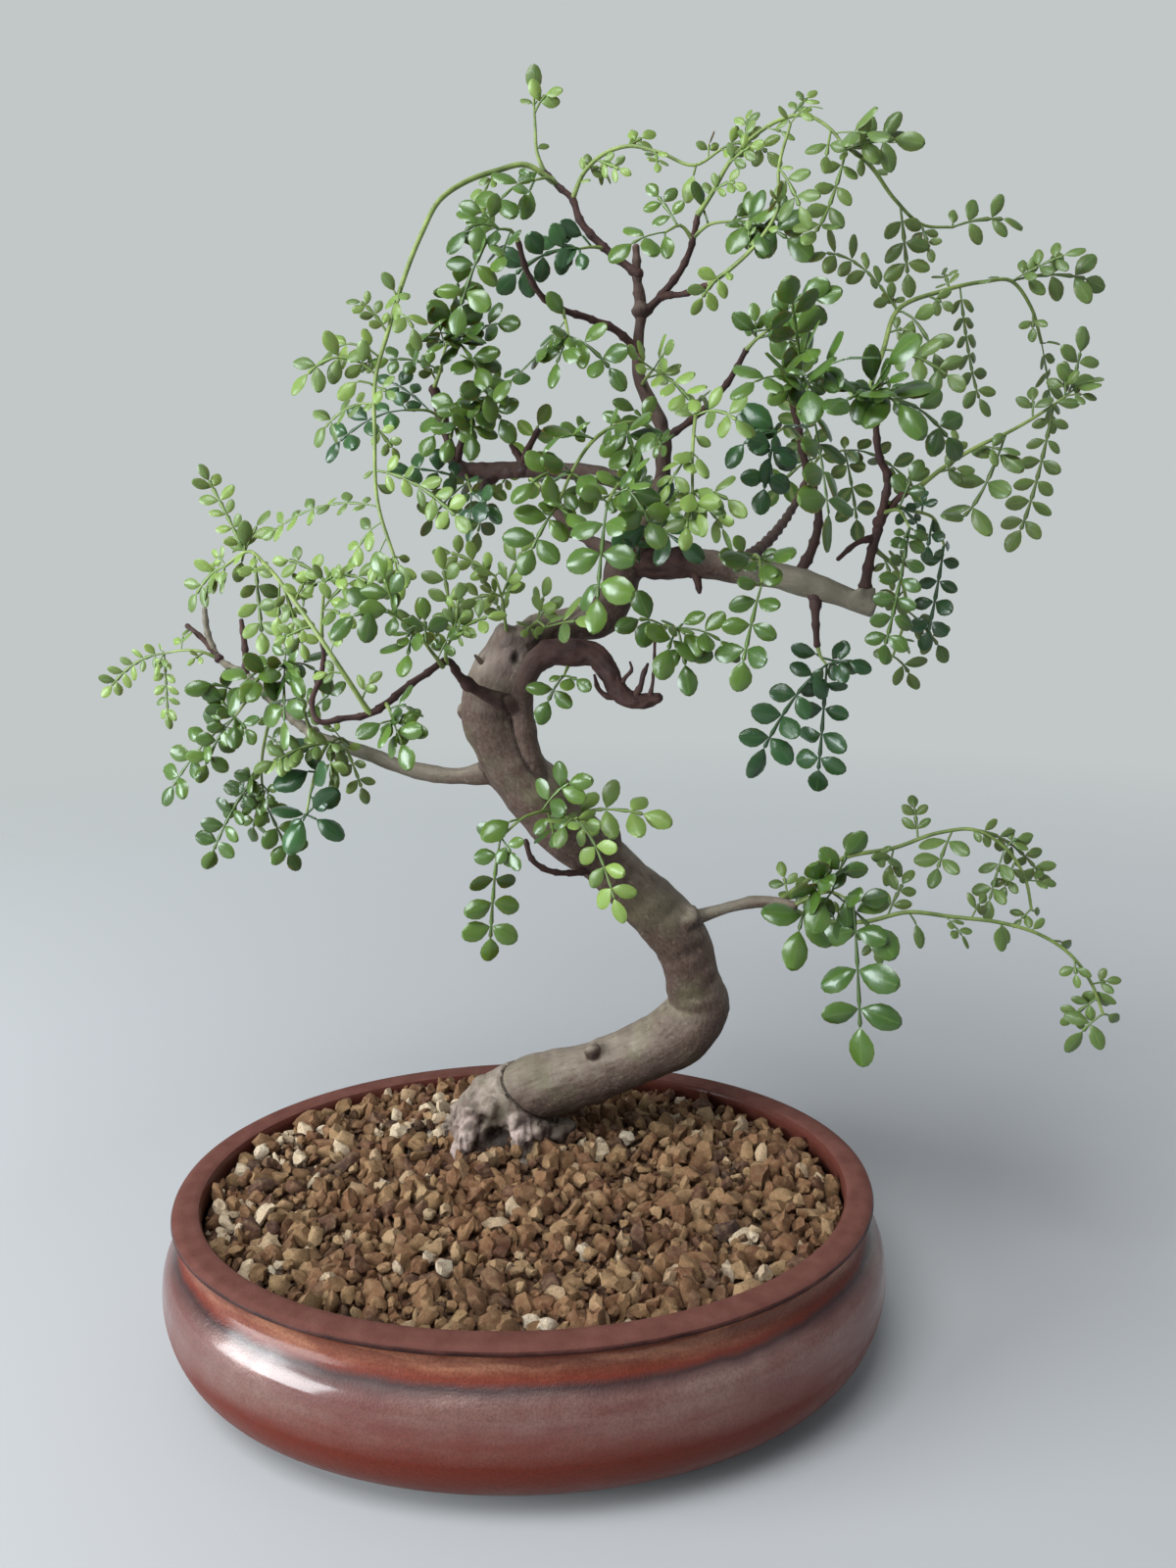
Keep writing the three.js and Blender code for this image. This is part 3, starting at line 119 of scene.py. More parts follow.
# Limbs, thick to thin: (x, y, z, radius) in mm, drawn on the drawing plane
LIMBS = (
    # trunk, from under the soil round the low elbow to the cut top
    Limb((0.0, 0.0), [
        (-17, 36, 44, 8), (-16.5, 35.5, 62, 10.6), (-13.4, 34, 77, 13.4), (-5.6, 34, 85, 13),
        (4, 33.5, 89.5, 12.3), (15, 33, 92.6, 11.6), (31, 32, 98, 11.5), (47, 30, 105, 11.5),
        (59, 28.5, 112.5, 11.8), (65.5, 28, 122, 11.4), (64, 27, 131, 10.6), (62, 26, 139, 10.2),
        (58.5, 25, 148, 10.7), (52, 24, 158, 10.9), (42, 22, 168, 9.9), (32, 20, 179, 9.7),
        (20, 18.5, 190, 10.8), (9, 18, 203, 11.1), (1, 18, 213, 11.2), (-4, 18, 222, 11),
        (-7, 19, 232, 12), (-6, 19.5, 243, 11.2), (-2, 20, 253, 9.6), (3, 20, 262.5, 7.8)], cut=True),
    # leader from the cut top to the main fork
    Limb((0.1, 0.5), [
        (0, 20, 255, 7.4), (9, 20, 262, 7), (20, 20.5, 264.5, 6.2), (32, 21, 267.5, 6),
        (38, 21.5, 276, 6), (40, 22, 286, 6.3), (47, 23, 297, 5.6), (52, 24, 308, 4.6),
        (53, 24.5, 313, 3.4)]),
    # leader above the main fork
    Limb((0.55, 0.55), [
        (52.5, 24.5, 310, 3.4), (53, 25.5, 319, 3), (53, 27, 330, 2.7), (48.5, 29, 339, 2.5),
        (45, 30, 348, 2.2), (45, 31, 358, 2), (46, 32, 368, 1.8), (45, 32.5, 376, 1.5),
        (44.5, 33, 387, 1.2)]),
    # right main branch with its cut end
    Limb((0.9, 0.8, -0.3, -0.5, -0.4), [
        (40, 22, 286, 5.4), (52, 20, 285.5, 5.4), (63, 18, 285, 5.2), (75, 14, 283.5, 5.1),
        (86, 10, 281.5, 5), (97, 6, 279.5, 4.9), (106, 4, 276.5, 4.4), (115, 2, 273, 3.9),
        (126, 0, 269, 3.8)], cut=True),
    # strip of live bark that turns into the dark front branch
    Limb((0.0, 0.0, 0.05, 0.25, 0.9, 1.0, 1.0), [
        (27, 21, 183, 5), (17, 16.5, 195, 4.9), (9.5, 13.5, 207, 4.6), (4.5, 11.5, 222, 4.3),
        (3.4, 10, 238, 4.1),
        (5.5, 8.5, 248, 4.1),
        (11.5, 6, 254.5, 4.4), (20, 3, 255.5, 4.4), (29, 0, 254, 4.2), (34, -3, 247.5, 3.9),
        (37, -5, 241.5, 3.3), (41, -6, 237.8, 2.9), (46, -7, 237.6, 2.4), (51, -8, 238.6, 2)]),
    Limb((0.9, 0.9), [
        (43, -6.5, 239, 1.3), (45, -8, 243.5, 0.95), (45.6, -9, 246, 1), (47.4, -9, 250.5, 0.55)]),
    Limb((0.9, 0.9), [
        (48, -7.4, 238, 0.9), (49.3, -8.5, 245, 0.6), (50, -9, 261, 0.6)]),
    Limb((0.9, 0.9), [
        (37.5, -5, 241, 1.2), (39.4, -6.5, 246, 0.85), (41.8, -7, 249, 0.6), (41.2, -7, 251.5, 0.45)]),
    Limb((0.9, 0.9), [
        (38, -5, 239.5, 1.4), (33.4, -5.5, 239.4, 1), (30, -5.5, 242.4, 0.85), (28.8, -5, 247, 0.55)]),
    # right low branch
    Limb((-0.1, -0.3, 0.2), [
        (57, 24, 154, 3.4), (66, 22, 157.5, 2.7), (74, 20, 160, 2.4), (84, 17, 162.5, 2.4),
        (94, 14, 162.2, 2.1), (100, 12, 161, 1.8)]),
    # left low branch
    Limb((0.0, -0.35, -0.35), [
        (-8, 19, 213, 4.4), (-20, 23, 211.3, 3.3), (-30, 27, 212.5, 3), (-42, 33, 215.5, 2.8),
        (-52, 38, 220, 2.7), (-61, 43, 223, 2.4), (-72, 48, 228, 1.9), (-84, 54, 238, 1.6),
        (-94, 59, 249, 1.4), (-103, 62, 255, 1.2), (-106, 64, 263, 1.1), (-106.5, 65, 272, 1)]),
    Limb((0.8, 0.8), [
        (-94, 59, 249, 1.2), (-93.5, 60, 259, 1.1), (-94, 61, 268, 0.9)]),
    Limb((0.8, 0.8), [
        (-103, 62, 255, 1.1), (-108, 64, 262, 1), (-113, 66, 266.5, 0.8)]),
    # left upper branch
    Limb((0.5, 0.9), [
        (51, 24, 306, 3), (44, 27, 311, 3.1), (36, 31, 314, 3), (22, 36, 316.5, 2.8),
        (8, 41, 317.5, 2.6), (-6, 46, 317.3, 2.6), (-16, 50, 318.5, 2.4), (-19.5, 52, 328, 2),
        (-21, 54, 336, 1.8), (-23.5, 55, 344, 1.5)]),
    Limb((0.85, 0.85), [
        (-17, 50, 319, 1.5), (-14, 49, 331, 1.2), (-13, 48, 339, 1)]),
    Limb((0.85, 0.85), [
        (4, 42, 317, 1.5), (7, 41, 323, 1.3), (11, 41, 330, 1)]),
    # left trunk twig and the dark twig that runs on from it
    Limb((0.3, 0.7, 0.9), [
        (7, 14.5, 232, 1.8), (1.5, 9.5, 235.5, 2.6), (-4.5, 6, 238.5, 2.95), (-10, 3.5, 240.8, 2.4),
        (-15.5, -1, 244.3, 1.9), (-19, -4, 248, 1.6), (-22.5, -9, 252.8, 1.4),
        (-31, -14, 248, 1.3), (-38, -16, 243.5, 1.3), (-45, -20, 238, 1.4), (-51, -22, 234.5, 1.3),
        (-60, -24, 233, 1.1), (-70, -26, 232.5, 1.1), (-71.5, -24, 238, 1), (-68, -20, 247, 1),
        (-66, -16, 255, 0.9), (-66.5, -12, 262, 0.8)]),
    # right fork, first twig
    Limb((0.8, 0.8), [
        (99, 5, 280, 2.2), (104.5, 8, 291, 1.7), (106, 10, 299, 1.5), (104, 13, 309, 1.4),
        (100.5, 16, 320, 1.3), (98, 18, 331, 1.2), (95, 20, 341, 1)]),
    # right fork, second twig
    Limb((0.8, 0.8), [
        (122, 1, 271, 2.3), (123.5, -1, 284, 1.8), (126.5, -4, 297, 1.6), (128, -7, 305, 1.5),
        (129.3, -9, 312.5, 1.5), (126, -11, 319, 1.3), (124.7, -13, 326, 1.2), (124, -15, 334, 1)]),
    Limb((0.85, 0.85), [
        (126.5, -4, 298, 1.4), (131, -6, 304, 1.3), (135, -8, 307.5, 1.2), (139, -9, 309, 1)]),
    Limb((0.85, 0.85), [
        (125, -2.5, 293, 1.1), (119, -5, 291, 1), (113, -7, 286, 0.9)]),
    Limb((0.8, 0.8), [
        (105.5, 3, 273, 2), (105.8, 1, 264, 1.3), (106.5, 0, 256.5, 1)]),
    # centre twig
    Limb((0.85, 0.85), [
        (53, 26, 326, 1.5), (60, 22, 331, 1.2), (68, 18, 337, 1.2), (75, 14, 345, 1.1),
        (80.5, 11, 354.5, 0.9)]),
    # top fork, left and upper
    Limb((0.85, 0.85), [
        (45, 32.5, 379, 1.4), (34.5, 34, 387, 1.3), (26.5, 35, 395.5, 1.2), (24, 36.5, 402, 1.1),
        (19, 38, 406.5, 1), (15, 40, 410.5, 0.9)]),
    # top fork, left and lower
    Limb((0.85, 0.85), [
        (45, 31, 355, 1.5), (38.5, 27, 361, 1.3), (29, 21, 365.5, 1.2), (20, 14, 368.5, 1.1),
        (14, 9, 372, 1.1), (9, 4, 380, 1), (6, -2, 390, 0.9)]),
    # top fork, right
    Limb((0.85, 0.85), [
        (46, 32, 366, 1.5), (52, 30, 371.5, 1.3), (58.5, 27, 379, 1.2), (62, 24, 386, 1.1),
        (64.5, 21, 396.5, 0.9)]),
    Limb((0.85, 0.85), [
        (53, 29.5, 372, 1.1), (61, 24, 372.8, 1), (68.5, 18, 375.5, 0.9)]),
    Limb((0.8, 0.8), [
        (27, 14, 176, 1.6), (19, 7, 174.6, 1.2), (10, 2, 176, 1.1), (5, 0, 180, 1.1),
        (3, 0, 187, 0.9)]),
    # stubs: on the left upper branch, below it, left of the main fork, a spike on the trunk, below the
    # right main branch
    Limb((0.9, 0.9), [
        (6, 42, 318, 1.8), (4.4, 42, 322, 1.4), (1.8, 42, 325.5, 0.8)]),
    Limb((0.9, 0.9), [
        (-3, 45, 317, 2), (-6.5, 45, 313.5, 1.7), (-8.5, 45, 311.5, 0.9)]),
    Limb((0.9, 0.9), [
        (43, 20, 291.5, 2), (39, 18, 292.6, 1.5), (36, 17, 293.5, 0.8)]),
    Limb((0.4, 0.2), [
        (-7, 16, 250, 1.6), (-10.5, 13, 252, 1.1), (-13, 12, 254.6, 0.6)]),
    Limb((0.9, 0.9), [
        (64, 16, 283, 1.7), (65, 14, 278, 1.3), (65.4, 13, 275.6, 0.8)]),
    # back branch, off the leader
    Limb((0.7, 0.7), [
        (40, 24, 287, 3), (30, 40, 292, 2.4), (22, 58, 298, 2), (16, 74, 304, 1.5),
        (12, 88, 311, 1.1)]),
    # back branch, off the right main branch
    Limb((0.7, 0.7), [
        (78, 14, 284, 2.8), (84, 34, 288, 2.2), (92, 56, 296, 1.7), (98, 76, 305, 1.3),
        (102, 90, 314, 1)]),
)

# Surface roots, (x, y, z, radius) in mm where they really are
ROOTS = (
    [(-14, 30, 77, 8), (-18.8, 23.5, 77, 4.6), (-22, 20, 73, 3.4), (-24.6, 18, 66, 3.3), (-26.6, 16.5, 58, 3),
     (-32, 6, 46, 2)],
    [(-8, 33, 77, 8.6), (-4, 26, 75, 6), (-2.8, 21.5, 71, 4.4), (-1.5, 19.5, 64, 3.8), (0, 15, 56, 3),
     (8, 6, 46, 2)],
    [(-16, 34, 68, 8.6), (-29, 37, 63, 6), (-44, 41, 53, 3.6), (-60, 44, 42, 2)],
    [(-14, 40, 68, 10), (-15, 52, 62, 6), (-19, 62, 51, 3.4), (-26, 68, 38, 2)],
    [(-8, 36, 70, 9), (8, 38, 62, 5.4), (24, 41, 50, 3), (42, 41, 38, 2)],
)

# Lumps on the root flare, (x, y, z, radius) in mm where they really are
LUMPS = (
    (-20.6, 22, 79, 3.4), (-24, 28, 73, 4.2), (-26, 33, 67, 4.6), (-24.8, 17.6, 69, 2.6),
    (-27, 17.4, 63, 2.8),
    (-13.4, 22, 80.5, 4), (-3.6, 20.5, 76, 3.8), (-2.2, 19.6, 71, 4), (5, 22.5, 71, 4), (9, 27, 67, 4.4),
    (-2, 44, 72, 6), (-26, 42, 70, 6), (-17.6, 33, 78.5, 8.6), (13, 30, 66, 4.6), (-23.4, 25, 66, 3.4),
)

# Knobs and old cuts on the trunk, (x, y, z, radius) in mm, drawn as the limbs are
KNOBS = (
    (26, 24.6, 104.5, 2.8), (73, 26, 121, 3.9), (60.4, 20, 157, 4.8), (64, 21, 154, 2.8),
    (33, 17, 187.4, 5.2),
    (-17, 21, 235, 3.8), (124, -1, 273.5, 2.8), (121, -2, 274.5, 2.2), (87, 8, 283.6, 3), (7, 14, 263, 3.6),
    (-2, 13, 260.5, 3),
)

SPRAYS = (
    SprayPlan("top", Tone.YOUNG, [
        (15, 40, 410.5), (13, 40, 416), (12.6, 41, 424), (12.4, 42, 430),
    ], [
        (3, 12.8, 43, 441, 0, 8.5), (2.6, 21.5, 38, 434, 3, 6.5),
    ]),
    SprayPlan("left_whip", Tone.YOUNG, [
        (18, 38.2, 407.5), (9, 36, 412.6), (0, 33, 411), (-10, 27, 408), (-19, 20, 402.5), (-25, 13, 393),
        (-32.5, 3, 377), (-38, -4, 362), (-42.5, -9, 349), (-44, -14, 330), (-44, -18, 306),
        (-39.5, -21, 289),
    ], [
        (2, -9, 31, 394, 2, 5.5), (6, -35, -4, 366, 2, 6), (6.7, -27, -10, 357, 5, 7),
        (7, -51, -6, 373, 3, 4.5), (8, -71, -14, 343, 8, 8), (8.5, -65, -4, 327, 4, 7),
        (9.5, -13, -28, 297, 4, 7), (10, -84, -2, 296, 5, 6), (11, -38, -24, 275, 0, 6),
        (6.3, -38, 0, 381, 1, 6), (7.6, -61, -8, 353, 5, 7), (8.2, -55, -12, 342, 3, 7),
        (10.3, -56, -12, 284, 3, 6.5), (10.6, -48, -20, 280, 2, 6.5), (11, -36, -24, 280, 1, 6.5),
        (11, -44, -22, 274, 1, 7),
    ], bare=6),
    SprayPlan("crest_left", Tone.LEAF, [
        (19, 38, 406.5), (16, 34, 408.5), (12, 31, 408),
    ], [
        (2, -6, 20, 393, 4, 8.5), (1, 7, 30, 408, 2, 7), (2, 8, 26, 398, 1, 8.5),
    ]),
    SprayPlan("crest_drop", Tone.LEAF, [
        (6, -2, 390), (4, -5, 393), (0, -8, 393.5),
    ], [
        (2, -16, -22, 362, 5, 8.5), (1, -1, -18, 380, 1, 7.5), (2, -9, -14, 385, 3, 9),
        (2, -17, -16, 387, 4, 8.5),
    ]),
    SprayPlan("crest_dark", Tone.DARK, [
        (34.5, 34, 387), (30, 31, 387.5), (26, 28, 387),
    ], [
        (2, -1, 20, 374, 4, 8.5), (1, 20, 28, 394, 2, 8), (2, 11, 26, 389, 1, 8), (2, 20, 26, 382, 1, 8),
    ]),
    SprayPlan("top_arch", Tone.YOUNG, [
        (24, 36.5, 402), (28, 36, 410), (33, 35, 414.5), (42, 33, 417.5), (52, 30, 415.5),
        (64, 27, 411.5), (72, 25, 416),
    ], [
        (1, 37, 42, 407, 3, 4.5), (3, 51, 36, 422, 0, 5.5), (5, 61, 29, 401, 0, 7.5),
        (6, 91, 19, 411, 4, 6),
    ]),
    SprayPlan("right_whip", Tone.YOUNG, [
        (64.5, 21, 396.5), (68.5, 19, 402), (75, 17, 412.5), (83, 16, 420), (91, 15, 424.3),
        (98, 14, 425.5), (107, 12, 421), (112, 10, 415),
    ], [
        (1, 80, 12, 404, 3, 4.5), (4.5, 102, 20, 432, 1, 4.5), (7, 136, 3, 416.5, 2, 8.5),
        (6, 105, 4, 408, 1, 6.5), (7, 99, -8, 388, -6, 7.5), (6.2, 126, -3, 418, 1, 9),
        (6.8, 131, 8, 418, 1, 8.5),
    ]),
    SprayPlan("right_loop", Tone.YOUNG, [
        (111, 12.3, 416.9), (119, 16, 411), (128, 22, 400), (138, 28, 392), (147, 30, 391.3),
    ], [
        (4, 170, 34, 392, 2, 7.5), (2.2, 134, 27, 370, 1, 7.5),
    ]),
    SprayPlan("crown_mid", Tone.YOUNG, [
        (68.5, 18, 375.5), (74, 11, 379), (85, 4, 389), (90.5, -1, 398), (90.5, -3, 410), (94, -3, 423),
    ], [
        (4, 100, -9, 392, 2, 7), (5, 104, -5, 428, 2, 4.5), (1, 63, 14, 366, 2, 6),
    ]),
    SprayPlan("crown_right", Tone.LEAF, [
        (62.7, 23, 389.5), (68, 20, 393.5), (76, 17, 394.5),
    ], [
        (2, 98, 9, 391, 3, 7.5), (1, 62, 24, 405, 2, 8), (2, 88, 0, 384, 3, 10), (2, 101, 2, 383, 3, 10),
    ]),
    SprayPlan("crown_left", Tone.LEAF, [
        (62.7, 23.5, 389.5), (59, 21, 393.5), (54, 19, 391.5),
    ], [
        (2, 36, 14, 383, 2, 9),
    ]),
    SprayPlan("inner_drop", Tone.LEAF, [
        (20, 14, 368.5), (21, 9, 365), (22, 4, 360),
    ], [
        (2, 15, -4, 344, 1, 8.5), (2, 40, -2, 343, 3, 8), (1, -4, 2, 342, -2, 8), (1, 16, 6, 374, 1, 8),
        (2, 16, -2, 362, 1, 9), (2, 23, -2, 356, 1, 8),
    ]),
    SprayPlan("left_crown", Tone.LEAF, [
        (-23.5, 55, 344), (-21, 48, 350), (-19, 38, 357), (-17, 28, 361),
    ], [
        (3, -12, 14, 385, 2, 9), (3, -32, 14, 353, 4, 9), (3, -3, 12, 334, 5, 9), (2, 6, 26, 364, 3, 8.5),
        (1, -44, 44, 352, 3, 6.5), (2, -23, 20, 368, 2, 8), (3, -7, 14, 358, 2, 9),
        (2.5, -23, 12, 355, 2, 9), (3, -5, 10, 344, 2, 9.5), (2, -9, 16, 377, 3, 8),
    ]),
    SprayPlan("left_crown_low", Tone.LEAF, [
        (-13, 48, 339), (-12, 42, 342), (-10, 34, 341),
    ], [
        (2, 2, 24, 327, 4, 8.5), (1, -28, 34, 322, 3, 8.5), (2, -12, 20, 322, 1, 8.5),
        (2, -11, 24, 336, 1, 8), (2, -6, 20, 332, 1, 8), (1, -21, 30, 321, 2, 8), (2, 1, 20, 340, 3, 7),
    ]),
    SprayPlan("left_arch", Tone.DARK, [
        (-20.5, 53, 334), (-25, 48, 337), (-33, 42, 337.5),
    ], [
        (2, -62, 30, 322, 4, 8.5), (1, -42, 54, 348, 2, 6.5),
    ]),
    SprayPlan("shelf_drop", Tone.DARK, [
        (-14, 49.3, 317.5), (-13, 42, 314), (-12, 36, 310),
    ], [
        (2, -14, 30, 293, 0, 8.5), (2, -3, 30, 300, 1, 7.5), (1, -40, 38, 318, 2, 7.5),
    ]),
    SprayPlan("centre_young", Tone.YOUNG, [
        (46, 29.5, 344), (48, 20, 347), (50, 10, 349),
    ], [
        (2, 40, 0, 356, 0, 7), (2, 57, -2, 357, 1, 7), (2, 66, -10, 334, 2, 7.5),
    ]),
    SprayPlan("centre_left", Tone.LEAF, [
        (53, 26, 324), (48, 12, 331), (40, 0, 332), (30, -12, 327), (22, -20, 316), (17, -24, 305),
    ], [
        (3, 12, -30, 325, 2, 9), (4, 2, -32, 306, 4, 9), (5, 4, -36, 282, 2, 9),
        (2, 45, -20, 312, 3, 9.5), (5, 26, -34, 296, 1, 9.5), (4, 15, -34, 321, 1, 10),
        (5, 15, -36, 306, 1, 9), (4, 30, -30, 309, 1, 10), (2, 44, -14, 317, 1, 10),
    ]),
    SprayPlan("front_drop", Tone.LEAF, [
        (50, 23.5, 305), (44, 0, 311), (38, -26, 312), (34, -42, 306),
    ], [
        (3, 29, -54, 261, 3, 10.5), (2, 52, -36, 290, 4, 9),
    ]),
    SprayPlan("centre_whip", Tone.YOUNG, [
        (68, 18, 337), (66, 4, 340), (64, -10, 334), (63, -18, 322), (63, -22, 309),
    ], [
        (4, 77, -30, 290, 2, 7), (3, 52, -26, 305, 2, 7), (2, 83, -24, 327, 4, 7.5),
        (4, 60, -32, 290, 1, 7), (3, 58, -26, 320, 1, 8.5), (3, 68, -26, 314, 1, 8),
        (4, 71, -28, 306, 2, 8), (4, 61, -30, 303, 1, 8.5), (4, 74, -30, 300, 2, 8.5),
        (4, 67, -32, 294, 1, 8.5), (4, 82, -28, 300, 3, 8.5),
    ]),
    SprayPlan("dark_rosette", Tone.DARK, [
        (44, 22.5, 292), (46, 12, 296), (50, 4, 299),
    ], [
        (2, 36, 0, 291, 1, 12.5), (1.8, 66, -6, 286, 1, 9.5),
    ]),
    SprayPlan("fork_top", Tone.LEAF, [
        (80.5, 11, 354.5), (84, 8, 358), (90, 4, 362),
    ], [
        (2, 76, 2, 366, -3, 8.5), (2, 112, -4, 372, 2, 8.5), (1, 104, -2, 350, 4, 8.5),
        (1, 80, 6, 364, 1, 9), (2, 108, -4, 375, 3, 9), (2, 99, -2, 359, 2, 9),
    ]),
    SprayPlan("front_fan", Tone.LEAF, [
        (95, 20, 341), (97, 6, 346), (99, -10, 348), (100, -26, 345),
    ], [
        (3, 76, -44, 340, 3, 9.5), (3, 111, -54, 289, 6, 10.5), (2, 94, -34, 376, 2, 9.5),
        (3, 124, -40, 352, 2, 10), (2, 102, -36, 353, 3, 9.5), (3, 102, -48, 334, 3, 11),
        (3, 96, -40, 346, 2, 9),
    ]),
    SprayPlan("fork_inner", Tone.DARK, [
        (99.3, 17, 326), (95, 8, 330), (91, 0, 328),
    ], [
        (2, 86, -8, 301, 2, 8.5), (2, 74, -2, 318, 3, 8.5), (2, 82, 0, 338, 2, 11),
        (2, 92, -2, 331, 1, 10), (2, 87, -6, 311, 1, 9),
    ]),
    SprayPlan("branch_drop", Tone.LEAF, [
        (84, 10.5, 281), (84, 2, 287), (86, -12, 286), (87, -22, 278),
    ], [
        (3, 79, -30, 241, 2, 9), (2, 98, -24, 286, 2, 9), (2, 74, -20, 286, 1, 10),
        (2, 91, -22, 277, 2, 9.5),
    ]),
    SprayPlan("right_rosette", Tone.LEAF, [
        (124, -15, 334), (124, -22, 338), (123, -30, 341),
    ], [
        (2, 140, -46, 328, 2, 11.5), (2, 108, -48, 332, 2, 11.5), (2, 136, -42, 358, 2, 11.5),
        (1, 154, -20, 318, 6, 8.5), (2, 119, -40, 333, 1, 12), (2, 121, -34, 356, 2, 11),
        (1, 142, -30, 340, 3, 10),
    ]),
    SprayPlan("right_arch", Tone.YOUNG, [
        (124.4, -14, 330), (122, -4, 340), (126, 6, 354), (130, 14, 366), (145, 22, 372),
        (158, 30, 374.5), (167, 36, 374.5), (174, 40, 366), (178, 44, 355),
    ], [
        (3, 100, 4, 383, 7, 7), (3, 146, 6, 345, 5, 8), (2, 154, -2, 340, 3, 8), (8, 184, 50, 326, 2, 7),
        (6, 199, 40, 372, 3, 9), (6, 190, 32, 384, 1, 6.5), (4.4, 162, 26, 332, -8, 7),
    ]),
    SprayPlan("far_right", Tone.YOUNG, [
        (139, -9, 309), (148, -6, 316), (160, -1, 323), (168, 2, 326.5), (178, 6, 332), (187, 10, 338),
    ], [
        (5, 192, 14, 360, -5, 8), (3, 148, -14, 298, -9, 10), (4.6, 171, 14, 288, -9, 7.5),
        (5, 199, 16, 345, 1, 8),
    ]),
    SprayPlan("hanging_chain", Tone.LEAF, [
        (127.3, -5.5, 301), (133, -12, 302), (137, -18, 296),
    ], [
        (2, 128, -28, 249, -5, 7), (1, 140, -16, 318, 1, 6.5),
    ]),
    SprayPlan("outer_chain", Tone.DARK, [
        (128, -7, 305), (136, -2, 302), (145, 4, 299), (149, 8, 290),
    ], [
        (3, 143, 14, 254, -5, 7), (2, 143, 2, 284, 2, 5.5),
    ]),
    SprayPlan("under_branch", Tone.DARK, [
        (106.5, 0, 256.5), (108, -1, 252), (110, -2, 249.5),
    ], [
        (2, 84, -10, 210, 5, 10), (2, 107, 6, 203, -7, 9.5), (1, 98, 4, 256, 1, 8.5),
    ]),
    SprayPlan("under_right", Tone.YOUNG, [
        (125.4, -2, 289), (133, 6, 282), (137, 14, 268), (133, 20, 252),
    ], [
        (3, 142, 24, 240, 2, 7.5), (2, 152, 18, 250, 2, 7),
    ]),
    SprayPlan("low_front", Tone.LEAF, [
        (50, -9, 261), (53, -14, 264), (58, -20, 263),
    ], [
        (2, 62, -28, 240, 2, 9), (2, 80, -24, 252, 3, 8.5), (1, 36, -20, 262, 3, 9),
        (2, 52, -34, 246, 2, 10), (2, 66, -26, 253, 1, 9),
    ]),
    SprayPlan("low_left", Tone.LEAF, [
        (20, 3, 251.5), (18, -4, 247),
    ], [
        (1, 9, -12, 230, 2, 8), (1, 27, -12, 242, 1, 6.5),
    ]),
    SprayPlan("low_lip", Tone.YOUNG, [
        (6, 17, 263), (9, 6, 266), (12, -8, 264),
    ], [
        (2, 30, -22, 266, 1, 9), (1, 14, 2, 281, 1, 7),
    ]),
    SprayPlan("crown_base", Tone.YOUNG, [
        (-1, 16, 259), (-2, 8, 266), (-3, 4, 275), (-5, 4, 282),
    ], [
        (3, -26, 6, 291, 2, 6), (2, 8, -2, 296, 1, 7), (2, -21, 10, 268, 3, 5.5), (3, -11, 2, 284, 1, 7),
        (2, -7, 4, 275, 1, 6.5), (2, 5, 2, 279, 1, 7),
    ]),
    SprayPlan("trunk_twig", Tone.YOUNG, [
        (-23, -10, 252), (-23, -14, 257), (-20, -16, 262),
    ], [
        (2, -2, -20, 268, 2, 6), (1, -42, -22, 271, 3, 7), (2, -17, -18, 280, 0, 5.5),
        (2, -16, -18, 265, 1, 6.5), (2, -24, -16, 292, 2, 7), (1, -26, -16, 262, 1, 6.5),
    ]),
    SprayPlan("left_bright", Tone.LEAF, [
        (-24.5, -10.7, 251), (-28, -22, 256), (-34, -32, 264), (-40, -38, 269),
    ], [
        (3, -64, -46, 262, 4, 9.5), (2, -38, -44, 246, 2, 8.5), (3, -47, -38, 291, 2, 8.5),
        (3, -53, -42, 271, 2, 9), (2, -35, -38, 266, 1, 8.5),
    ]),
    SprayPlan("left_twig", Tone.LEAF, [
        (-45, -20, 238), (-44, -26, 236), (-43, -32, 232),
    ], [
        (2, -38, -40, 214, 1, 8.5), (2, -56, -38, 226, 1, 8.5), (1, -32, -34, 234, 2, 7.5),
        (2, -43, -36, 235, 1, 7.5), (2, -47, -38, 222, 1, 8),
    ]),
    SprayPlan("left_tall", Tone.YOUNG, [
        (-66.5, -12, 262), (-65.5, -13, 271), (-64, -14, 281),
    ], [
        (2, -44, -22, 276, 4, 7), (2, -82, -10, 288, 3, 6), (1, -56, -28, 266, 2, 7.5),
        (1, -50, -20, 281, 3, 6.5), (2, -70, -14, 284, 2, 6.5), (2, -58, -20, 284, 2, 6.5),
        (2, -74, -10, 274, 2, 6.5),
    ]),
    SprayPlan("left_shoot", Tone.YOUNG, [
        (-51, -22, 234.5), (-60, -27, 250), (-75, -18, 274.5), (-84, -6, 287), (-91, 6, 291.5),
        (-98, 8, 287),
    ], [
        (4, -104, 12, 321, 1, 6), (4, -82, 12, 306, 1, 7), (5, -112, 16, 272, 3, 7),
        (3.6, -87, -4, 256, -3, 7.5), (2.4, -72, -12, 254, 1, 5.5), (4, -90, 4, 302, 1, 8),
        (4, -96, 8, 296, 1, 7), (4, -94, 4, 281, 1, 7), (5, -108, 14, 275, 2, 7.5),
        (2.5, -82, -10, 262, -1, 7),
    ]),
    SprayPlan("left_outer", Tone.YOUNG, [
        (-103, 62, 255), (-109, 60, 257.5), (-116, 62, 258), (-122, 64, 257),
    ], [
        (3, -145, 68, 242, 4, 6), (2, -113, 70, 266, 2, 6), (3, -123, 62, 230, 0, 5.5),
    ]),
    SprayPlan("left_hang", Tone.LEAF, [
        (-89, 56.5, 243.5), (-94, 50, 240), (-99, 46, 234),
    ], [
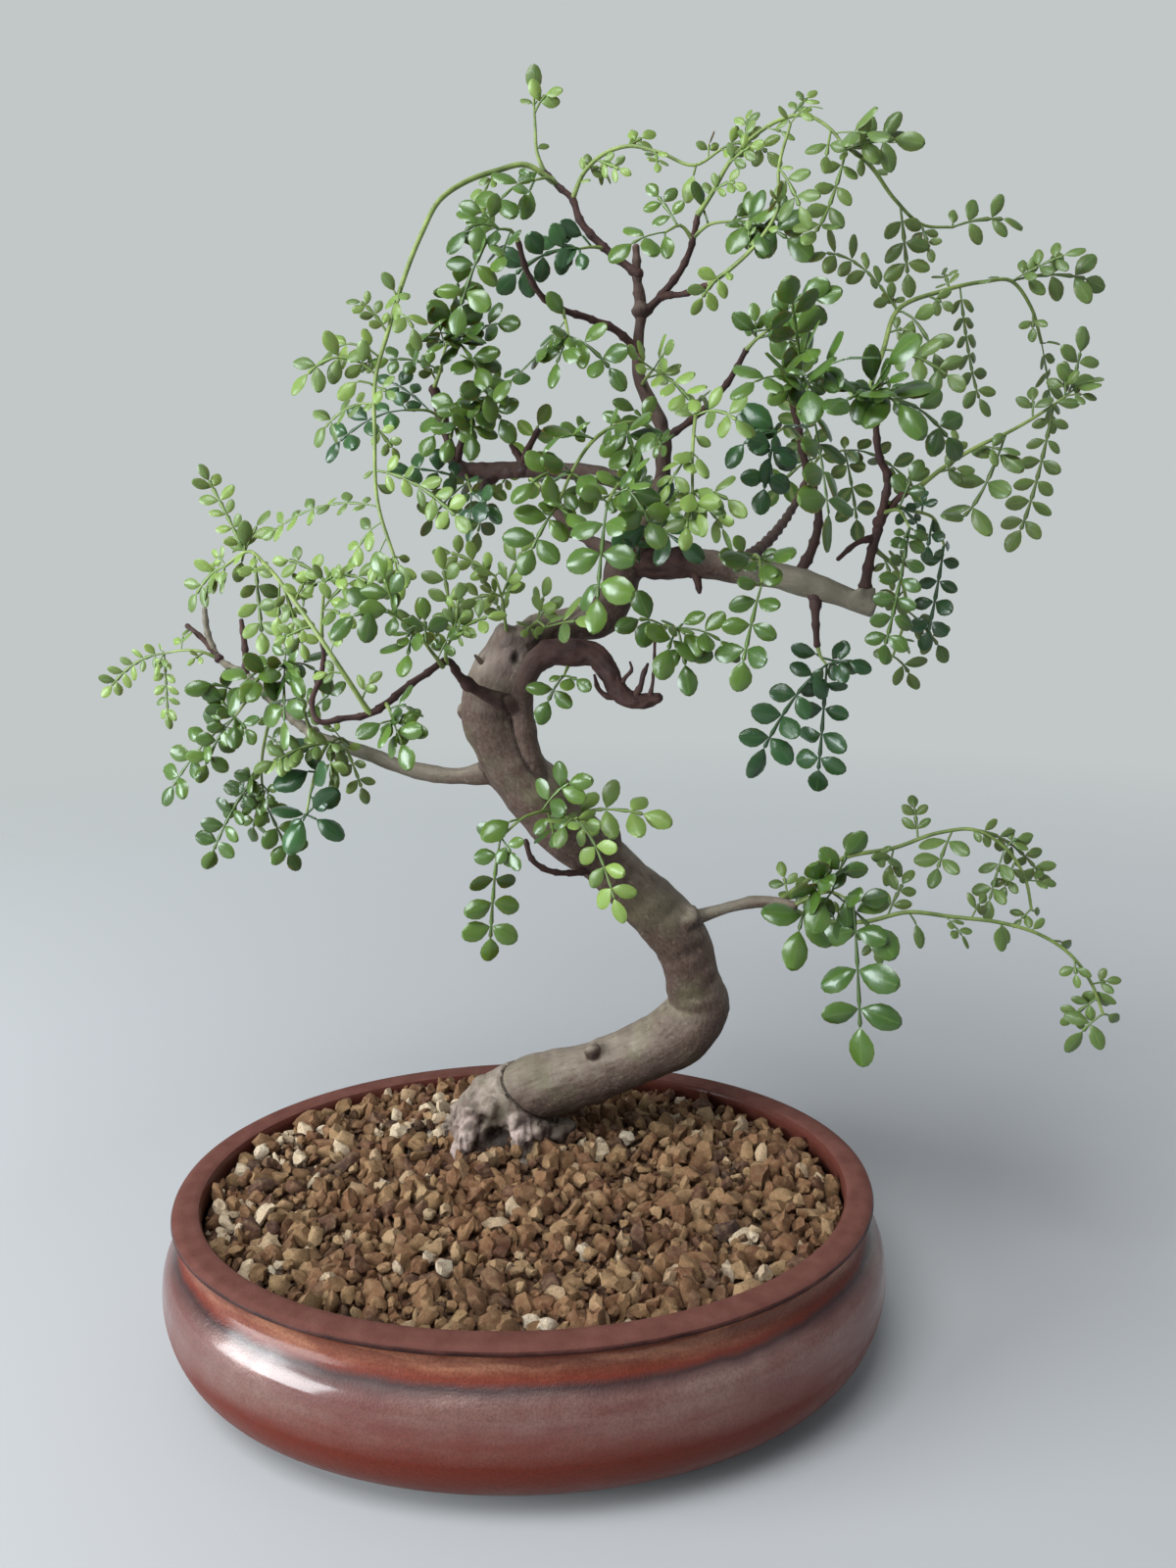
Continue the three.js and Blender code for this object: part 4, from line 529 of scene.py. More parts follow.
        (2, -128, 50, 202, 4, 9.5), (1, -115, 40, 244, 4, 9), (2, -100, 36, 224, 1, 8.5),
        (2, -110, 44, 245, 2, 8.5), (2, -105, 42, 236, 1, 9), (2, -114, 44, 210, 3, 8),
    ]),
    SprayPlan("left_fall", Tone.LEAF, [
        (-84, 54, 238), (-88, 58, 229), (-91, 60, 215), (-91, 62, 204),
    ], [
        (3, -80, 64, 177, -1, 8.5), (2, -114, 58, 178, 4, 8.5), (2.6, -97, 70, 188, 1, 7.5),
        (2.5, -106, 60, 197, 2, 8), (2, -102, 60, 206, 1, 7),
    ]),
    SprayPlan("left_heart", Tone.LEAF, [
        (-72, 48, 228), (-76, 32, 240), (-80, 18, 252),
    ], [
        (2, -103, 6, 236, 5, 10), (2, -82, 0, 222, 4, 10), (2, -64, 8, 244, 4, 9),
        (2, -75, 8, 253, 2, 10), (2, -76, 2, 242, 2, 10), (2, -97, 4, 239, 3, 9),
    ]),
    SprayPlan("left_drop", Tone.DARK, [
        (-66, 45.3, 225.3), (-70, 34, 218), (-74, 24, 206), (-76, 20, 198),
    ], [
        (3, -64.5, 16, 206, 1, 12), (3, -62, 16, 191, 0, 12), (3, -84.5, 15, 184, 0, 12.5),
        (3, -88, 17, 199, 0, 12), (1.4, -86, 22, 209, 2, 12.5), (2.2, -68, 14, 216, 1, 11.5),
    ]),
    SprayPlan("left_under", Tone.YOUNG, [
        (-58, 41.3, 222), (-62, 34, 226), (-66, 28, 224),
    ], [
        (2, -66, 20, 204, 1, 7.5), (2, -90, 22, 214, 3, 6.5), (1, -54, 28, 202, 2, 6),
        (2, -93, 22, 214, 2, 7), (2, -65, 24, 208, 1, 9), (2, -60, 26, 216, 1, 7),
    ]),
    SprayPlan("trunk_front", Tone.LEAF, [
        (13, 12, 198), (9, 1, 198), (2, -6, 195.5), (-6, -11, 188.5),
    ], [
        (3, -12, -14, 139.5, 7, 9.5), (1, 27, -6, 209, 4, 8.5), (2, -12, -14, 189, 1, 10),
    ]),
    SprayPlan("trunk_right", Tone.YOUNG, [
        (15, 11, 195), (17, 2, 196), (20, -5, 195),
    ], [
        (2, 37, -17, 155, 8, 8.5), (1, 56, -4, 192, 4, 10.5),
    ]),
    SprayPlan("low_right", Tone.LEAF, [
        (100, 12, 161), (106, 8, 164), (114, 2, 166), (122, -4, 162),
    ], [
        (3, 127, -16, 97, 4, 13.5), (1, 100, -8, 137, 4, 13), (2, 124, 8, 188, 3, 9.5),
        (2, 108, -14, 152, 2, 11.5), (1, 112, 14, 178, 1, 10.5),
        (2, 137, -10, 141, 2, 12), (1, 113, -14, 170, 2, 11.5), (2.6, 127, -14, 163, 1, 12.5),
        (1.6, 108, -12, 174, 2, 11.5),
    ]),
    SprayPlan("low_whip", Tone.YOUNG, [
        (97, 13, 161.6), (108, 20, 156), (126, 14, 154.5), (142, 12, 158), (158, 10, 156),
        (176, 8, 153.5), (190, 8, 149), (202, 8, 141), (211, 8, 129), (216, 8, 117),
    ], [
        (9, 204, 6, 102, 2, 9), (5, 178, -2, 143, 0, 10), (3, 148, 2, 145, 2, 8),
        (6.4, 203, 14, 143, 1, 7.5), (8, 216, 12, 118, 1, 7.5),
    ]),
    SprayPlan("low_loop", Tone.YOUNG, [
        (94, 14, 162.2), (104, 22, 170), (118, 26, 179), (136, 28, 182.5), (152, 28, 188), (164, 27, 189),
        (176, 26, 182), (184, 25, 170), (187, 24, 158),
    ], [
        (4.4, 150, 12, 166, 2, 9), (6, 170, 18, 154, 2, 8), (2, 121, 34, 189, 0, 9),
        (5, 193, 30, 167, 5, 7), (3, 134, 20, 168, 2, 8),
    ]),
    SprayPlan("back_left", Tone.LEAF, [
        (12, 88, 311), (6, 94, 316), (-4, 100, 316),
    ], [
        (2, -30, 102, 296, 6, 8.5), (1, 14, 102, 338, 2, 8.5), (1, 22, 104, 300, 4, 8.5),
        (2, -12, 104, 290, 3, 8.5),
    ]),
    SprayPlan("back_right", Tone.LEAF, [
        (102, 90, 314), (106, 96, 320), (114, 102, 322),
    ], [
        (2, 142, 102, 304, 6, 8.5), (1, 92, 104, 340, 3, 8.5), (1, 88, 104, 304, 4, 8.5),
        (2, 120, 104, 292, 3, 8.5),
    ]),
)


# Paths and meshes


def carried(points: Sequence[Point]) -> np.ndarray:
    """Carries drawn points out to their real depth.

    Args:
        points: Rows of x, y, z and, if there is one, a radius, in mm on the drawing plane.

    Returns:
        The same rows in metres where they really are.
    """
    rows = np.atleast_2d(np.array(points, float))
    scale = (rows[:, 1] - EYE[1]) / (DRAWING_PLANE - EYE[1])
    rows[:, 0] = EYE[0] + (rows[:, 0] - EYE[0]) * scale
    rows[:, 2] = EYE[2] + (rows[:, 2] - EYE[2]) * scale
    if rows.shape[1] > 3:
        rows[:, 3] *= scale
    return rows * MM


@dataclass
class SmoothPath:
    """A smooth curve through rows of numbers, the first three of them its place."""

    points: np.ndarray
    marks: np.ndarray = field(init=False)
    slopes: np.ndarray = field(init=False)

    def __post_init__(self) -> None:
        """Measures the way along the points and the slope at each."""
        gaps = np.linalg.norm(np.diff(self.points[:, :3], axis=0), axis=1)
        self.marks = np.concatenate(([0.0], np.cumsum(gaps)))
        self.slopes = np.gradient(self.points, self.marks, axis=0)

    @property
    def length(self) -> float:
        """The way from the first point to the last."""
        return float(self.marks[-1])

    def at(self, way: np.ndarray | float) -> np.ndarray:
        """Reads the curve.

        Args:
            way: How far along it, in metres.

        Returns:
            A row for each way.
        """
        way = np.clip(np.atleast_1d(way), 0, self.length)
        i = np.clip(np.searchsorted(self.marks, way, side="right") - 1, 0, len(self.marks) - 2)
        span = (self.marks[i + 1] - self.marks[i])[:, None]
        t = (way - self.marks[i])[:, None] / span
        return (
            (1 + 2 * t) * (1 - t) ** 2 * self.points[i]
            + t * (1 - t) ** 2 * span * self.slopes[i]
            + t * t * (3 - 2 * t) * self.points[i + 1]
            - t * t * (1 - t) * span * self.slopes[i + 1]
        )

    def way_to(self, place: float) -> float:
        """Gives the way to a place that is counted in points."""
        return float(np.interp(place, range(len(self.marks)), self.marks))

    def stepped(self, step: float) -> np.ndarray:
        """Reads the curve at even steps of about the length given."""
        return self.at(np.linspace(0, self.length, max(3, round(self.length / step) + 1)))


def path_frames(path: np.ndarray, facing: Sequence[float]) -> tuple[np.ndarray, np.ndarray, np.ndarray]:
    """Carries a cross-section's axes along a path without twisting them.

    Args:
        path: Rows of x, y, z.
        facing: The way that the first section's upright leans to.

    Returns:
        The tangents, sides and uprights, a row for each point.
    """
    tangents = np.gradient(path[:, :3], axis=0)
    tangents /= np.linalg.norm(tangents, axis=1)[:, None] + 1e-12
    upright = np.array(facing, float)
    uprights = np.empty_like(tangents)
    for k, tangent in enumerate(tangents):
        upright = upright - tangent * float(upright @ tangent)
        if np.linalg.norm(upright) < 1e-6:
            upright = np.cross(tangent, (0.3, 0.9, 0.3))
        upright = upright / np.linalg.norm(upright)
        uprights[k] = upright
    return tangents, np.cross(uprights, tangents), uprights


def value_noise(places: np.ndarray, seed: int) -> np.ndarray:
    """Draws smooth random values from -1 to 1, a fresh one for each unit of distance.

    Args:
        places: Rows of x, y, z in units of the pattern.
        seed: Which pattern.

    Returns:
        A value for each row.
    """
    cells = np.floor(places).astype(np.int64)
    part = places - cells
    part = part * part * (3 - 2 * part)
    total = np.zeros(len(places))
    for corner in np.ndindex(2, 2, 2):
        key = (cells + corner) @ np.array([73856093, 19349663, 83492791]) + seed * 1013904223
        key = (key ^ (key >> 13)) * 1274126177
        value = ((key ^ (key >> 16)) & 0xFFFF) / 32767.5 - 1
        total += value * np.prod(np.where(corner, part, 1 - part), axis=1)
    return total


def around(count: int) -> np.ndarray:
    """Gives even angles, once round."""
    return np.linspace(0, math.tau, count, endpoint=False)


def signed_power(values: np.ndarray, power: float) -> np.ndarray:
    """Raises sizes to a power and keeps their signs."""
    return np.sign(values) * np.abs(values) ** power


def ring_faces(rows: int, sides: int, first: int = 0) -> list[Face]:
    """Gives the faces between rings of vertices that follow each other.

    Args:
        rows: How many rings there are.
        sides: How many vertices each has.
        first: The number of the first vertex.

    Returns:
        The faces, ring by ring.
    """
    return [
        (low + k, low + (k + 1) % sides, low + sides + (k + 1) % sides, low + sides + k)
        for low in range(first, first + (rows - 1) * sides, sides) for k in range(sides)
    ]


def turned_over(faces: Sequence[Face]) -> list[Face]:
    """Makes four-sided faces look the other way."""
    return [(a, d, c, b) for a, b, c, d in faces]


def shell_faces(rows: int, sides: int) -> list[Face]:
    """Gives the faces of rings that a point closes at each end.

    Args:
        rows: How many rings there are.
        sides: How many vertices each has.

    Returns:
        The faces, for the rings' vertices with the first and the last point after them.
    """
    top, low = (rows - 1) * sides, rows * sides
    faces = ring_faces(rows, sides)
    faces += [((k + 1) % sides, k, low) for k in range(sides)]
    return faces + [(top + k, top + (k + 1) % sides, low + 1) for k in range(sides)]


def joined(shapes: Sequence[Shape]) -> Shape:
    """Puts shapes together, each as it is.

    Args:
        shapes: Their vertices and faces.

    Returns:
        All the vertices and faces.
    """
    faces: list[Face] = []
    count = 0
    for vertices, skin in shapes:
        faces += [tuple(corner + count for corner in face) for face in skin]
        count += len(vertices)
    return np.concatenate([vertices for vertices, _ in shapes]), faces


def new_object(name: str, vertices: np.ndarray, faces: list, edges: list | None = None) -> Object:
    """Makes a mesh object in the scene.

    Args:
        name: Its name.
        vertices: Rows of x, y, z in metres.
        faces: Lists of vertex numbers.
        edges: Pairs of vertex numbers, for edges without a face.

    Returns:
        The object.
    """
    mesh = bpy.data.meshes.new(name)
    mesh.from_pydata(np.asarray(vertices).tolist(), edges or [], faces)
    thing = bpy.data.objects.new(name, mesh)
    bpy.context.scene.collection.objects.link(thing)
    return thing


def store(mesh: Mesh, **facts: np.ndarray) -> None:
    """Stores facts of each vertex, each fact under its name.

    Args:
        mesh: The mesh.
        facts: For each fact a number, a whole number or a row of three for every vertex.
    """
    for name, values in facts.items():
        kind = "FLOAT_VECTOR" if values.ndim == 2 else "INT" if values.dtype.kind == "i" else "FLOAT"
        layer = mesh.attributes.new(name, kind, "POINT")
        layer.data.foreach_set("vector" if values.ndim == 2 else "value", values.ravel())


def read_vertices(mesh: Mesh, what: str = "co") -> np.ndarray:
    """Reads the vertices of a mesh.

    Args:
        mesh: The mesh.
        what: co for their places, normal for their normals.

    Returns:
        A row for each vertex.
    """
    flat = np.empty(3 * len(mesh.vertices))
    mesh.vertices.foreach_get(what, flat)
    return flat.reshape(-1, 3)


def raise_surface(mesh: Mesh, places: np.ndarray, normals: np.ndarray, lift: np.ndarray) -> None:
    """Moves a mesh's vertices along their normals.

    Args:
        mesh: The mesh.
        places: Where its vertices are.
        normals: Their normals.
        lift: How far each moves, in mm.
    """
    mesh.vertices.foreach_set("co", (places + normals * (lift * MM)[:, None]).ravel())
    mesh.update()


def settle(thing: Object) -> Object:
    """Puts the mesh that an object's modifiers make in the place of them.

    Args:
        thing: The object.

    Returns:
        The same object, without modifiers.
    """
    depsgraph = bpy.context.evaluated_depsgraph_get()
    mesh = bpy.data.meshes.new_from_object(
        thing.evaluated_get(depsgraph), preserve_all_data_layers=True, depsgraph=depsgraph
    )
    thing.modifiers.clear()
    rough = thing.data
    thing.data = mesh
    bpy.data.meshes.remove(rough)
    return thing


def smooth_shade(mesh: Mesh, crease: float = 180.0) -> None:
    """Shades a mesh smoothly.

    Args:
        mesh: The mesh.
        crease: Edges where faces meet at more than this many degrees stay sharp.
    """
    mesh.polygons.foreach_set("use_smooth", [True] * len(mesh.polygons))
    if crease < 180:
        mesh.set_sharp_from_angle(angle=math.radians(crease))


def clothe(piece: Object, material: Material) -> None:
    """Gives a piece its one material."""
    piece.data.materials.clear()
    piece.data.materials.append(material)


def present(piece: Object, slot: str, *nodes: str) -> Object:
    """Hands a finished piece over to the frame and reports it.

    Args:
        piece: The piece, with its place in its mesh.
        slot: The record's slot for its finish; not used.
        nodes: The CAD nodes that it stands for.

    Returns:
        The piece.
    """
    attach(piece, "root")
    if nodes:
        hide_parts(*nodes)
    triangles = sum(len(face.vertices) - 2 for face in piece.data.polygons)
    LOG.info("%s: %d triangles", piece.name, triangles)
    return piece


# Node trees


def linear(red: int, green: int, blue: int) -> tuple[float, float, float, float]:
    """Turns a screen colour of 0 to 255 into the linear colour that nodes take."""
    parts = [value / 255 for value in (red, green, blue)]
    return (*(v / 12.92 if v <= 0.04045 else ((v + 0.055) / 1.055) ** 2.4 for v in parts), 1.0)


def open_socket(sockets: Sequence[Socket], name: str) -> Socket:
    """Finds the socket of a name that is in use."""
    return next(socket for socket in sockets if socket.name == name and socket.enabled)


@dataclass
class Graph:
    """Adds nodes to one node tree, each with its values and links given at once."""

    tree: Tree

    def feed(self, socket: Socket, value: object) -> None:
        """Gives a socket its value.

        Args:
            socket: The socket.
            value: The value, or a socket to link from.
        """
        if isinstance(value, Socket):
            self.tree.links.new(value, socket)
        else:
            socket.default_value = value

    def fill(self, node: Node, **values: object) -> None:
        """Feeds a node's sockets by name, with _ for a space."""
        for name, value in values.items():
            self.feed(node.inputs[name.replace("_", " ")], value)

    def add(self, kind: str, inputs: dict[str | int, object] | None = None, **settings: object) -> Node:
        """Adds a node.

        Args:
            kind: The node's type.
            inputs: Its inputs by name or number: a value, or a socket to link from.
            settings: Its other properties.

        Returns:
            The node.
        """
        node = self.tree.nodes.new(kind)
        for name, value in settings.items():
            setattr(node, name, value)
        for key, value in (inputs or {}).items():
            self.feed(node.inputs[key] if isinstance(key, int) else open_socket(node.inputs, key), value)
        return node

    def out(self, kind: str, output: str, inputs: dict | None = None, **settings: object) -> Socket:
        """Adds a node and returns one of its outputs."""
        return open_socket(self.add(kind, inputs, **settings).outputs, output)

    def maths(self, operation: str, first: object, second: object = 0.5) -> Socket:
        """Works out one value from two, or from the first alone."""
        return self.add("ShaderNodeMath", {0: first, 1: second}, operation=operation).outputs[0]

    def blend(self, share: object, first: object, second: object) -> Socket:
        """Mixes two colours by a share."""
        return self.add("ShaderNodeMix", {0: share, 6: first, 7: second}, data_type="RGBA").outputs[2]

    def stretch(self, value: Socket, low: float, high: float, start: float = 0, end: float = 1) -> Socket:
        """Stretches the values between low and high to those between start and end, and clamps them."""
        inputs = {"Value": value, "From Min": low, "From Max": high, "To Min": start, "To Max": end}
        return self.out("ShaderNodeMapRange", "Result", inputs)

    def tint(self, colour: Socket, mask: Socket, paint: Colour, most: float, least: float = 0) -> Socket:
        """Paints over a colour where a mask lies, from least where it is 0 to most where it is 1."""
        return self.blend(self.stretch(mask, 0, 1, least, most), colour, linear(*paint))

    def ramp(self, value: Socket, stops: Sequence[tuple[float, float | tuple]]) -> Socket:
        """Adds a colour ramp.

        Args:
            value: What it reads, from 0 to 1.
            stops: Places with linear colours or greys.

        Returns:
            Its colour.
        """
        node = self.add("ShaderNodeValToRGB", {"Fac": value})
        steps = node.color_ramp.elements
        while len(steps) < len(stops):
            steps.new(1.0)
        for step, (place, colour) in zip(steps, stops):
            step.position = place
            step.color = colour if isinstance(colour, tuple) else (colour, colour, colour, 1)
        return node.outputs["Color"]

    def part(self, vector: Socket, axis: str) -> Socket:
        """Takes one axis of a vector."""
        return self.out("ShaderNodeSeparateXYZ", axis, {"Vector": vector})

    def scaled(self, place: Socket, *scale: float) -> Socket:
        """Stretches a pattern's place by a scale for each axis."""
        return self.out("ShaderNodeMapping", "Vector", {"Vector": place, "Scale": scale})

    def normal(self) -> Socket:
        """Reads the way that the surface faces on the object."""
        return self.out("ShaderNodeNewGeometry", "Normal")

    def bump(self, height: Socket, distance: float) -> Socket:
        """Turns a height into a normal."""
        return self.out("ShaderNodeBump", "Normal", {"Height": height, "Distance": distance, "Strength": 1.0})

    def named(self, name: str, output: str = "Fac") -> Socket:
        """Reads a stored attribute in a material."""
        return self.add("ShaderNodeAttribute", attribute_name=name, attribute_type="GEOMETRY").outputs[output]

    def field(self, name: str, kind: str = "FLOAT") -> Socket:
        """Reads a stored attribute in a geometry tree."""
        return self.out("GeometryNodeInputNamedAttribute", "Attribute", {"Name": name}, data_type=kind)

    def real(self, geometry: Socket) -> Socket:
        """Makes copies real."""
        return self.out("GeometryNodeRealizeInstances", "Geometry", {"Geometry": geometry})

    def painted(self, geometry: Socket, material: Socket) -> Socket:
        """Gives a geometry its material."""
        return self.out("GeometryNodeSetMaterial", "Geometry", {"Geometry": geometry, "Material": material})

    def join(self, *parts: Socket) -> Socket:
        """Joins geometries.

        Args:
            parts: The geometries, in the order that they keep.

        Returns:
            The whole.
        """
        node = self.add("GeometryNodeJoinGeometry")
        for part in parts:
            self.tree.links.new(part, node.inputs[0])
        return node.outputs[0]

    def picked(self, points: Socket, forms: Socket, index: Socket, turn: Socket, scale: Socket) -> Socket:
        """Puts a form from a collection on each point.

        Args:
            points: The points.
            forms: The collection.
            index: Which form each point takes.
            turn: Three angles for each.
            scale: How large each is.

        Returns:
            The copies.
        """
        shelf = {"Collection": forms, "Separate Children": True, "Reset Children": True}
        return self.out("GeometryNodeInstanceOnPoints", "Instances", {
            "Points": points,
            "Instance": self.out("GeometryNodeCollectionInfo", "Instances", shelf),
            "Pick Instance": True,
            "Instance Index": index,
            "Rotation": self.out("FunctionNodeEulerToRotation", "Rotation", {"Euler": turn}),
            "Scale": scale,
        })


@dataclass(frozen=True)
class Effect:
    """A shader group shared by the materials, with its inputs and one output."""

    name: str
    inputs: Sequence[tuple[str, str, float]]
    output: str
    build: Callable[[Graph, Node], Socket]

    def group(self) -> Tree:
        """Finds the group, or builds it the first time.

        Returns:
            The group's tree.
        """
        tree = bpy.data.node_groups.get(self.name)
        if tree:
            return tree
        tree = bpy.data.node_groups.new(self.name, "ShaderNodeTree")
        for name, kind, value in self.inputs:
            socket = tree.interface.new_socket(name, in_out="INPUT", socket_type=f"NodeSocket{kind}")
            if kind == "Float":
                socket.default_value = value
        tree.interface.new_socket(self.output, in_out="OUTPUT", socket_type="NodeSocketFloat")
        graph = Graph(tree)
        entry = graph.add("NodeGroupInput")
        graph.add("NodeGroupOutput", {self.output: self.build(graph, entry)})
        return tree

    def use(self, graph: Graph, **values: object) -> Socket:
        """Places the group in a material.

        Args:
            graph: The material's graph.
            values: The group's inputs by name, with _ for a space.

        Returns:
            The group's output.
        """
        node = graph.add("ShaderNodeGroup", node_tree=self.group())
        graph.fill(node, **values)
        return node.outputs[self.output]


def build_mottle(graph: Graph, entry: Node) -> Socket:
    """Builds soft-edged patches from a noise cut at a level.

    Args:
        graph: The group's graph.
        entry: Its inputs.

    Returns:
        The mask.
    """
    ask = entry.outputs
    inputs = {"Vector": ask["Place"], "Scale": ask["Scale"], "Detail": 5.0}
    noise = graph.out("ShaderNodeTexNoise", "Fac", inputs)
    low, high = (graph.maths(way, ask["Level"], ask["Softness"]) for way in ("SUBTRACT", "ADD"))
    return graph.out("ShaderNodeMapRange", "Result", {"Value": noise, "From Min": low, "From Max": high})


def build_relief(graph: Graph, entry: Node) -> Socket:
    """Builds a height from a coarse noise with a fine one on it.

    Args:
        graph: The group's graph.
        entry: Its inputs.

    Returns:
        The height.
    """
    ask = entry.outputs
    coarse = graph.out("ShaderNodeTexNoise", "Fac", {"Vector": ask["Place"], "Scale": ask["Scale"]})
    finer = {"Vector": ask["Place"], "Scale": graph.maths("MULTIPLY", ask["Scale"], 4.3), "Detail": 4.0}
    fine = graph.out("ShaderNodeTexNoise", "Fac", finer)
    return graph.add("ShaderNodeMix", {0: ask["Fine Share"], 2: coarse, 3: fine}, data_type="FLOAT").outputs[0]


MOTTLE = Effect(
    "soft patches",
    (("Place", "Vector", 0), ("Scale", "Float", 100), ("Level", "Float", 0.5), ("Softness", "Float", 0.1)),
    "Mask",
    build_mottle,
)
RELIEF = Effect(
    "surface relief",
    (("Place", "Vector", 0), ("Scale", "Float", 400), ("Fine Share", "Float", 0.4)),
    "Height",
    build_relief,
)


def patches(graph: Graph, place: Socket, scale: float, level: float = 0.5, softness: float = 0.1) -> Socket:
    """Gives a mask of soft-edged patches, fewer the higher the level."""
    return MOTTLE.use(graph, Place=place, Scale=scale, Level=level, Softness=softness)


def rough(graph: Graph, place: Socket, scale: float, depth: float, fine: float = 0.4) -> Socket:
    """Gives the normal of a surface that is rough to a depth in metres."""
    return graph.bump(RELIEF.use(graph, Place=place, Scale=scale, Fine_Share=fine), depth)


@dataclass(frozen=True)
class Finish:
    """A material of the object, built by its own method."""

    name: str

    def material(self) -> Material:
        """Makes the material.

        Returns:
            The material.
        """
        material = bpy.data.materials.new(self.name)
        material.use_nodes = True
        graph = Graph(material.node_tree)
        shader = material.node_tree.nodes["Principled BSDF"]
        self.dress(graph, shader, graph.add("ShaderNodeTexCoord").outputs["Object"])
        return material

    def dress(self, graph: Graph, shader: Node, place: Socket) -> None:
        """Dresses the shader; each finish has its own."""
        raise NotImplementedError


@dataclass(frozen=True)
class PotGlaze(Finish):
    """Red-brown glaze: matte pinkish rim top, copper cove, silvery mottled shoulder, dark bands of painted shade.
    """

    # The darkest bands, at the foot (0.0), at the foot of the cove (0.0496) and under the lip (0.0598 to 0.0622),
    # are painted shade.
    zones: Sequence[tuple[float, Colour]] = (
        (0.0, (40, 17, 13)), (0.01, (84, 32, 19)), (0.022, (98, 36, 21)), (0.036, (98, 38, 27)),
        (0.046, (88, 38, 31)), (0.0496, (44, 17, 14)), (0.0512, (104, 42, 28)), (0.0548, (122, 70, 52)),
        (0.0582, (110, 62, 47)), (0.0598, (60, 25, 19)), (0.0606, (24, 11, 10)), (0.0622, (30, 15, 14)),
        (0.0634, (88, 52, 46)),
    )
    shoulder: Sequence[tuple[float, float]] = ((0.42, 0), (0.6, 1), (0.73, 1), (0.77, 0))
    copper: Sequence[tuple[float, float]] = ((0.8, 0), (0.86, 1), (0.92, 1), (0.94, 0))
    gloss: Sequence[tuple[float, float]] = (
        (0.42, 0.14), (0.62, 0.85), (0.76, 0.85), (0.8, 0.3), (0.92, 0.3), (0.945, 0.22),
    )
    height: float = 0.064

    def dress(self, graph: Graph, shader: Node, place: Socket) -> None:
        """Dresses the shader by height, with patches of silver where the glaze is thick.

        Args:
            graph: The material's graph.
            shader: Its shader.
            place: The place on the object.
        """
        wander = graph.out("ShaderNodeTexNoise", "Fac", {"Vector": place, "Scale": 90.0, "Detail": 4.0})
        wander = graph.stretch(wander, 0.3, 0.7, -0.0005, 0.0005)
        level = graph.maths("DIVIDE", graph.maths("ADD", graph.part(place, "Z"), wander), self.height)
        colour = graph.ramp(level, [(low / self.height, linear(*tone)) for low, tone in self.zones])
        drips, bands = graph.scaled(place, 1.0, 1.0, 0.4), graph.scaled(place, 0.35, 0.35, 1.6)
        cloud = graph.maths(
            "MULTIPLY",
            patches(graph, bands, 46.0, 0.5, 0.12),
            graph.stretch(patches(graph, drips, 150.0, 0.5, 0.2), 0, 1, 0.45, 1.0),
        )
        silver = graph.ramp(level, self.shoulder)
        silver = graph.maths("MULTIPLY", silver, graph.stretch(cloud, 0, 1, 0.06, 0.85))
        silver = graph.maths("MULTIPLY", silver, graph.stretch(graph.part(place, "X"), -0.12, -0.085, 0.1, 1))
        colour = graph.blend(silver, colour, linear(140, 113, 103))
        bright = patches(graph, bands, 130.0, 0.56, 0.08)
        copper = graph.maths("MULTIPLY", graph.ramp(level, self.copper), graph.stretch(bright, 0, 1, 0, 0.6))
        colour = graph.blend(copper, colour, linear(172, 118, 90))
        outward = {0: place, 1: graph.normal()}
        outward = graph.out("ShaderNodeVectorMath", "Value", outward, operation="DOT_PRODUCT")
        colour = graph.blend(graph.stretch(outward, 0.03, 0.0), colour, linear(84, 44, 36))
        colour = graph.tint(colour, patches(graph, place, 1100.0, 0.52), (60, 24, 18), 0.3)
        upward = graph.stretch(graph.part(graph.normal(), "Z"), 0.8, 0.97)
        top = graph.maths("MULTIPLY", graph.stretch(level, 0.972, 0.985), upward)
        rim = graph.blend(patches(graph, place, 140.0, 0.5, 0.2), linear(92, 55, 48), linear(106, 68, 60))
        gloss = graph.ramp(level, self.gloss)
        graph.fill(
            shader,
            Base_Color=graph.blend(top, colour, rim),
            Roughness=graph.maths(
                "ADD", graph.stretch(cloud, 0, 1, 0.5, 0.28), graph.stretch(top, 0, 1, 0, 0.35)
            ),
            Metallic=graph.stretch(silver, 0, 1, 0.0, 0.45),
            Specular_IOR_Level=graph.maths("MULTIPLY", gloss, 0.42),
            Coat_Weight=graph.maths("MULTIPLY", gloss, graph.stretch(top, 0, 1, 1, 0.03)),
            Coat_Roughness=graph.stretch(bright, 0, 1, 0.13, 0.24),
            Normal=rough(graph, place, 330.0, 0.00025, 0.5),
        )


@dataclass(frozen=True)
class ScreenPlastic(Finish):
    """Dark green moulded plastic with clay dust."""

    def dress(self, graph: Graph, shader: Node, place: Socket) -> None:
        """Dresses the shader with patches of dust.

        Args:
            graph: The material's graph.
            shader: Its shader.
            place: The place on the object.
        """
        dust = patches(graph, place, 260.0, 0.58)
        graph.fill(
            shader,
            Base_Color=graph.blend(dust, linear(40, 56, 46), linear(120, 96, 66)),
            Roughness=graph.stretch(dust, 0, 1, 0.45, 0.85),
            Normal=rough(graph, place, 1500.0, 0.0001),
        )


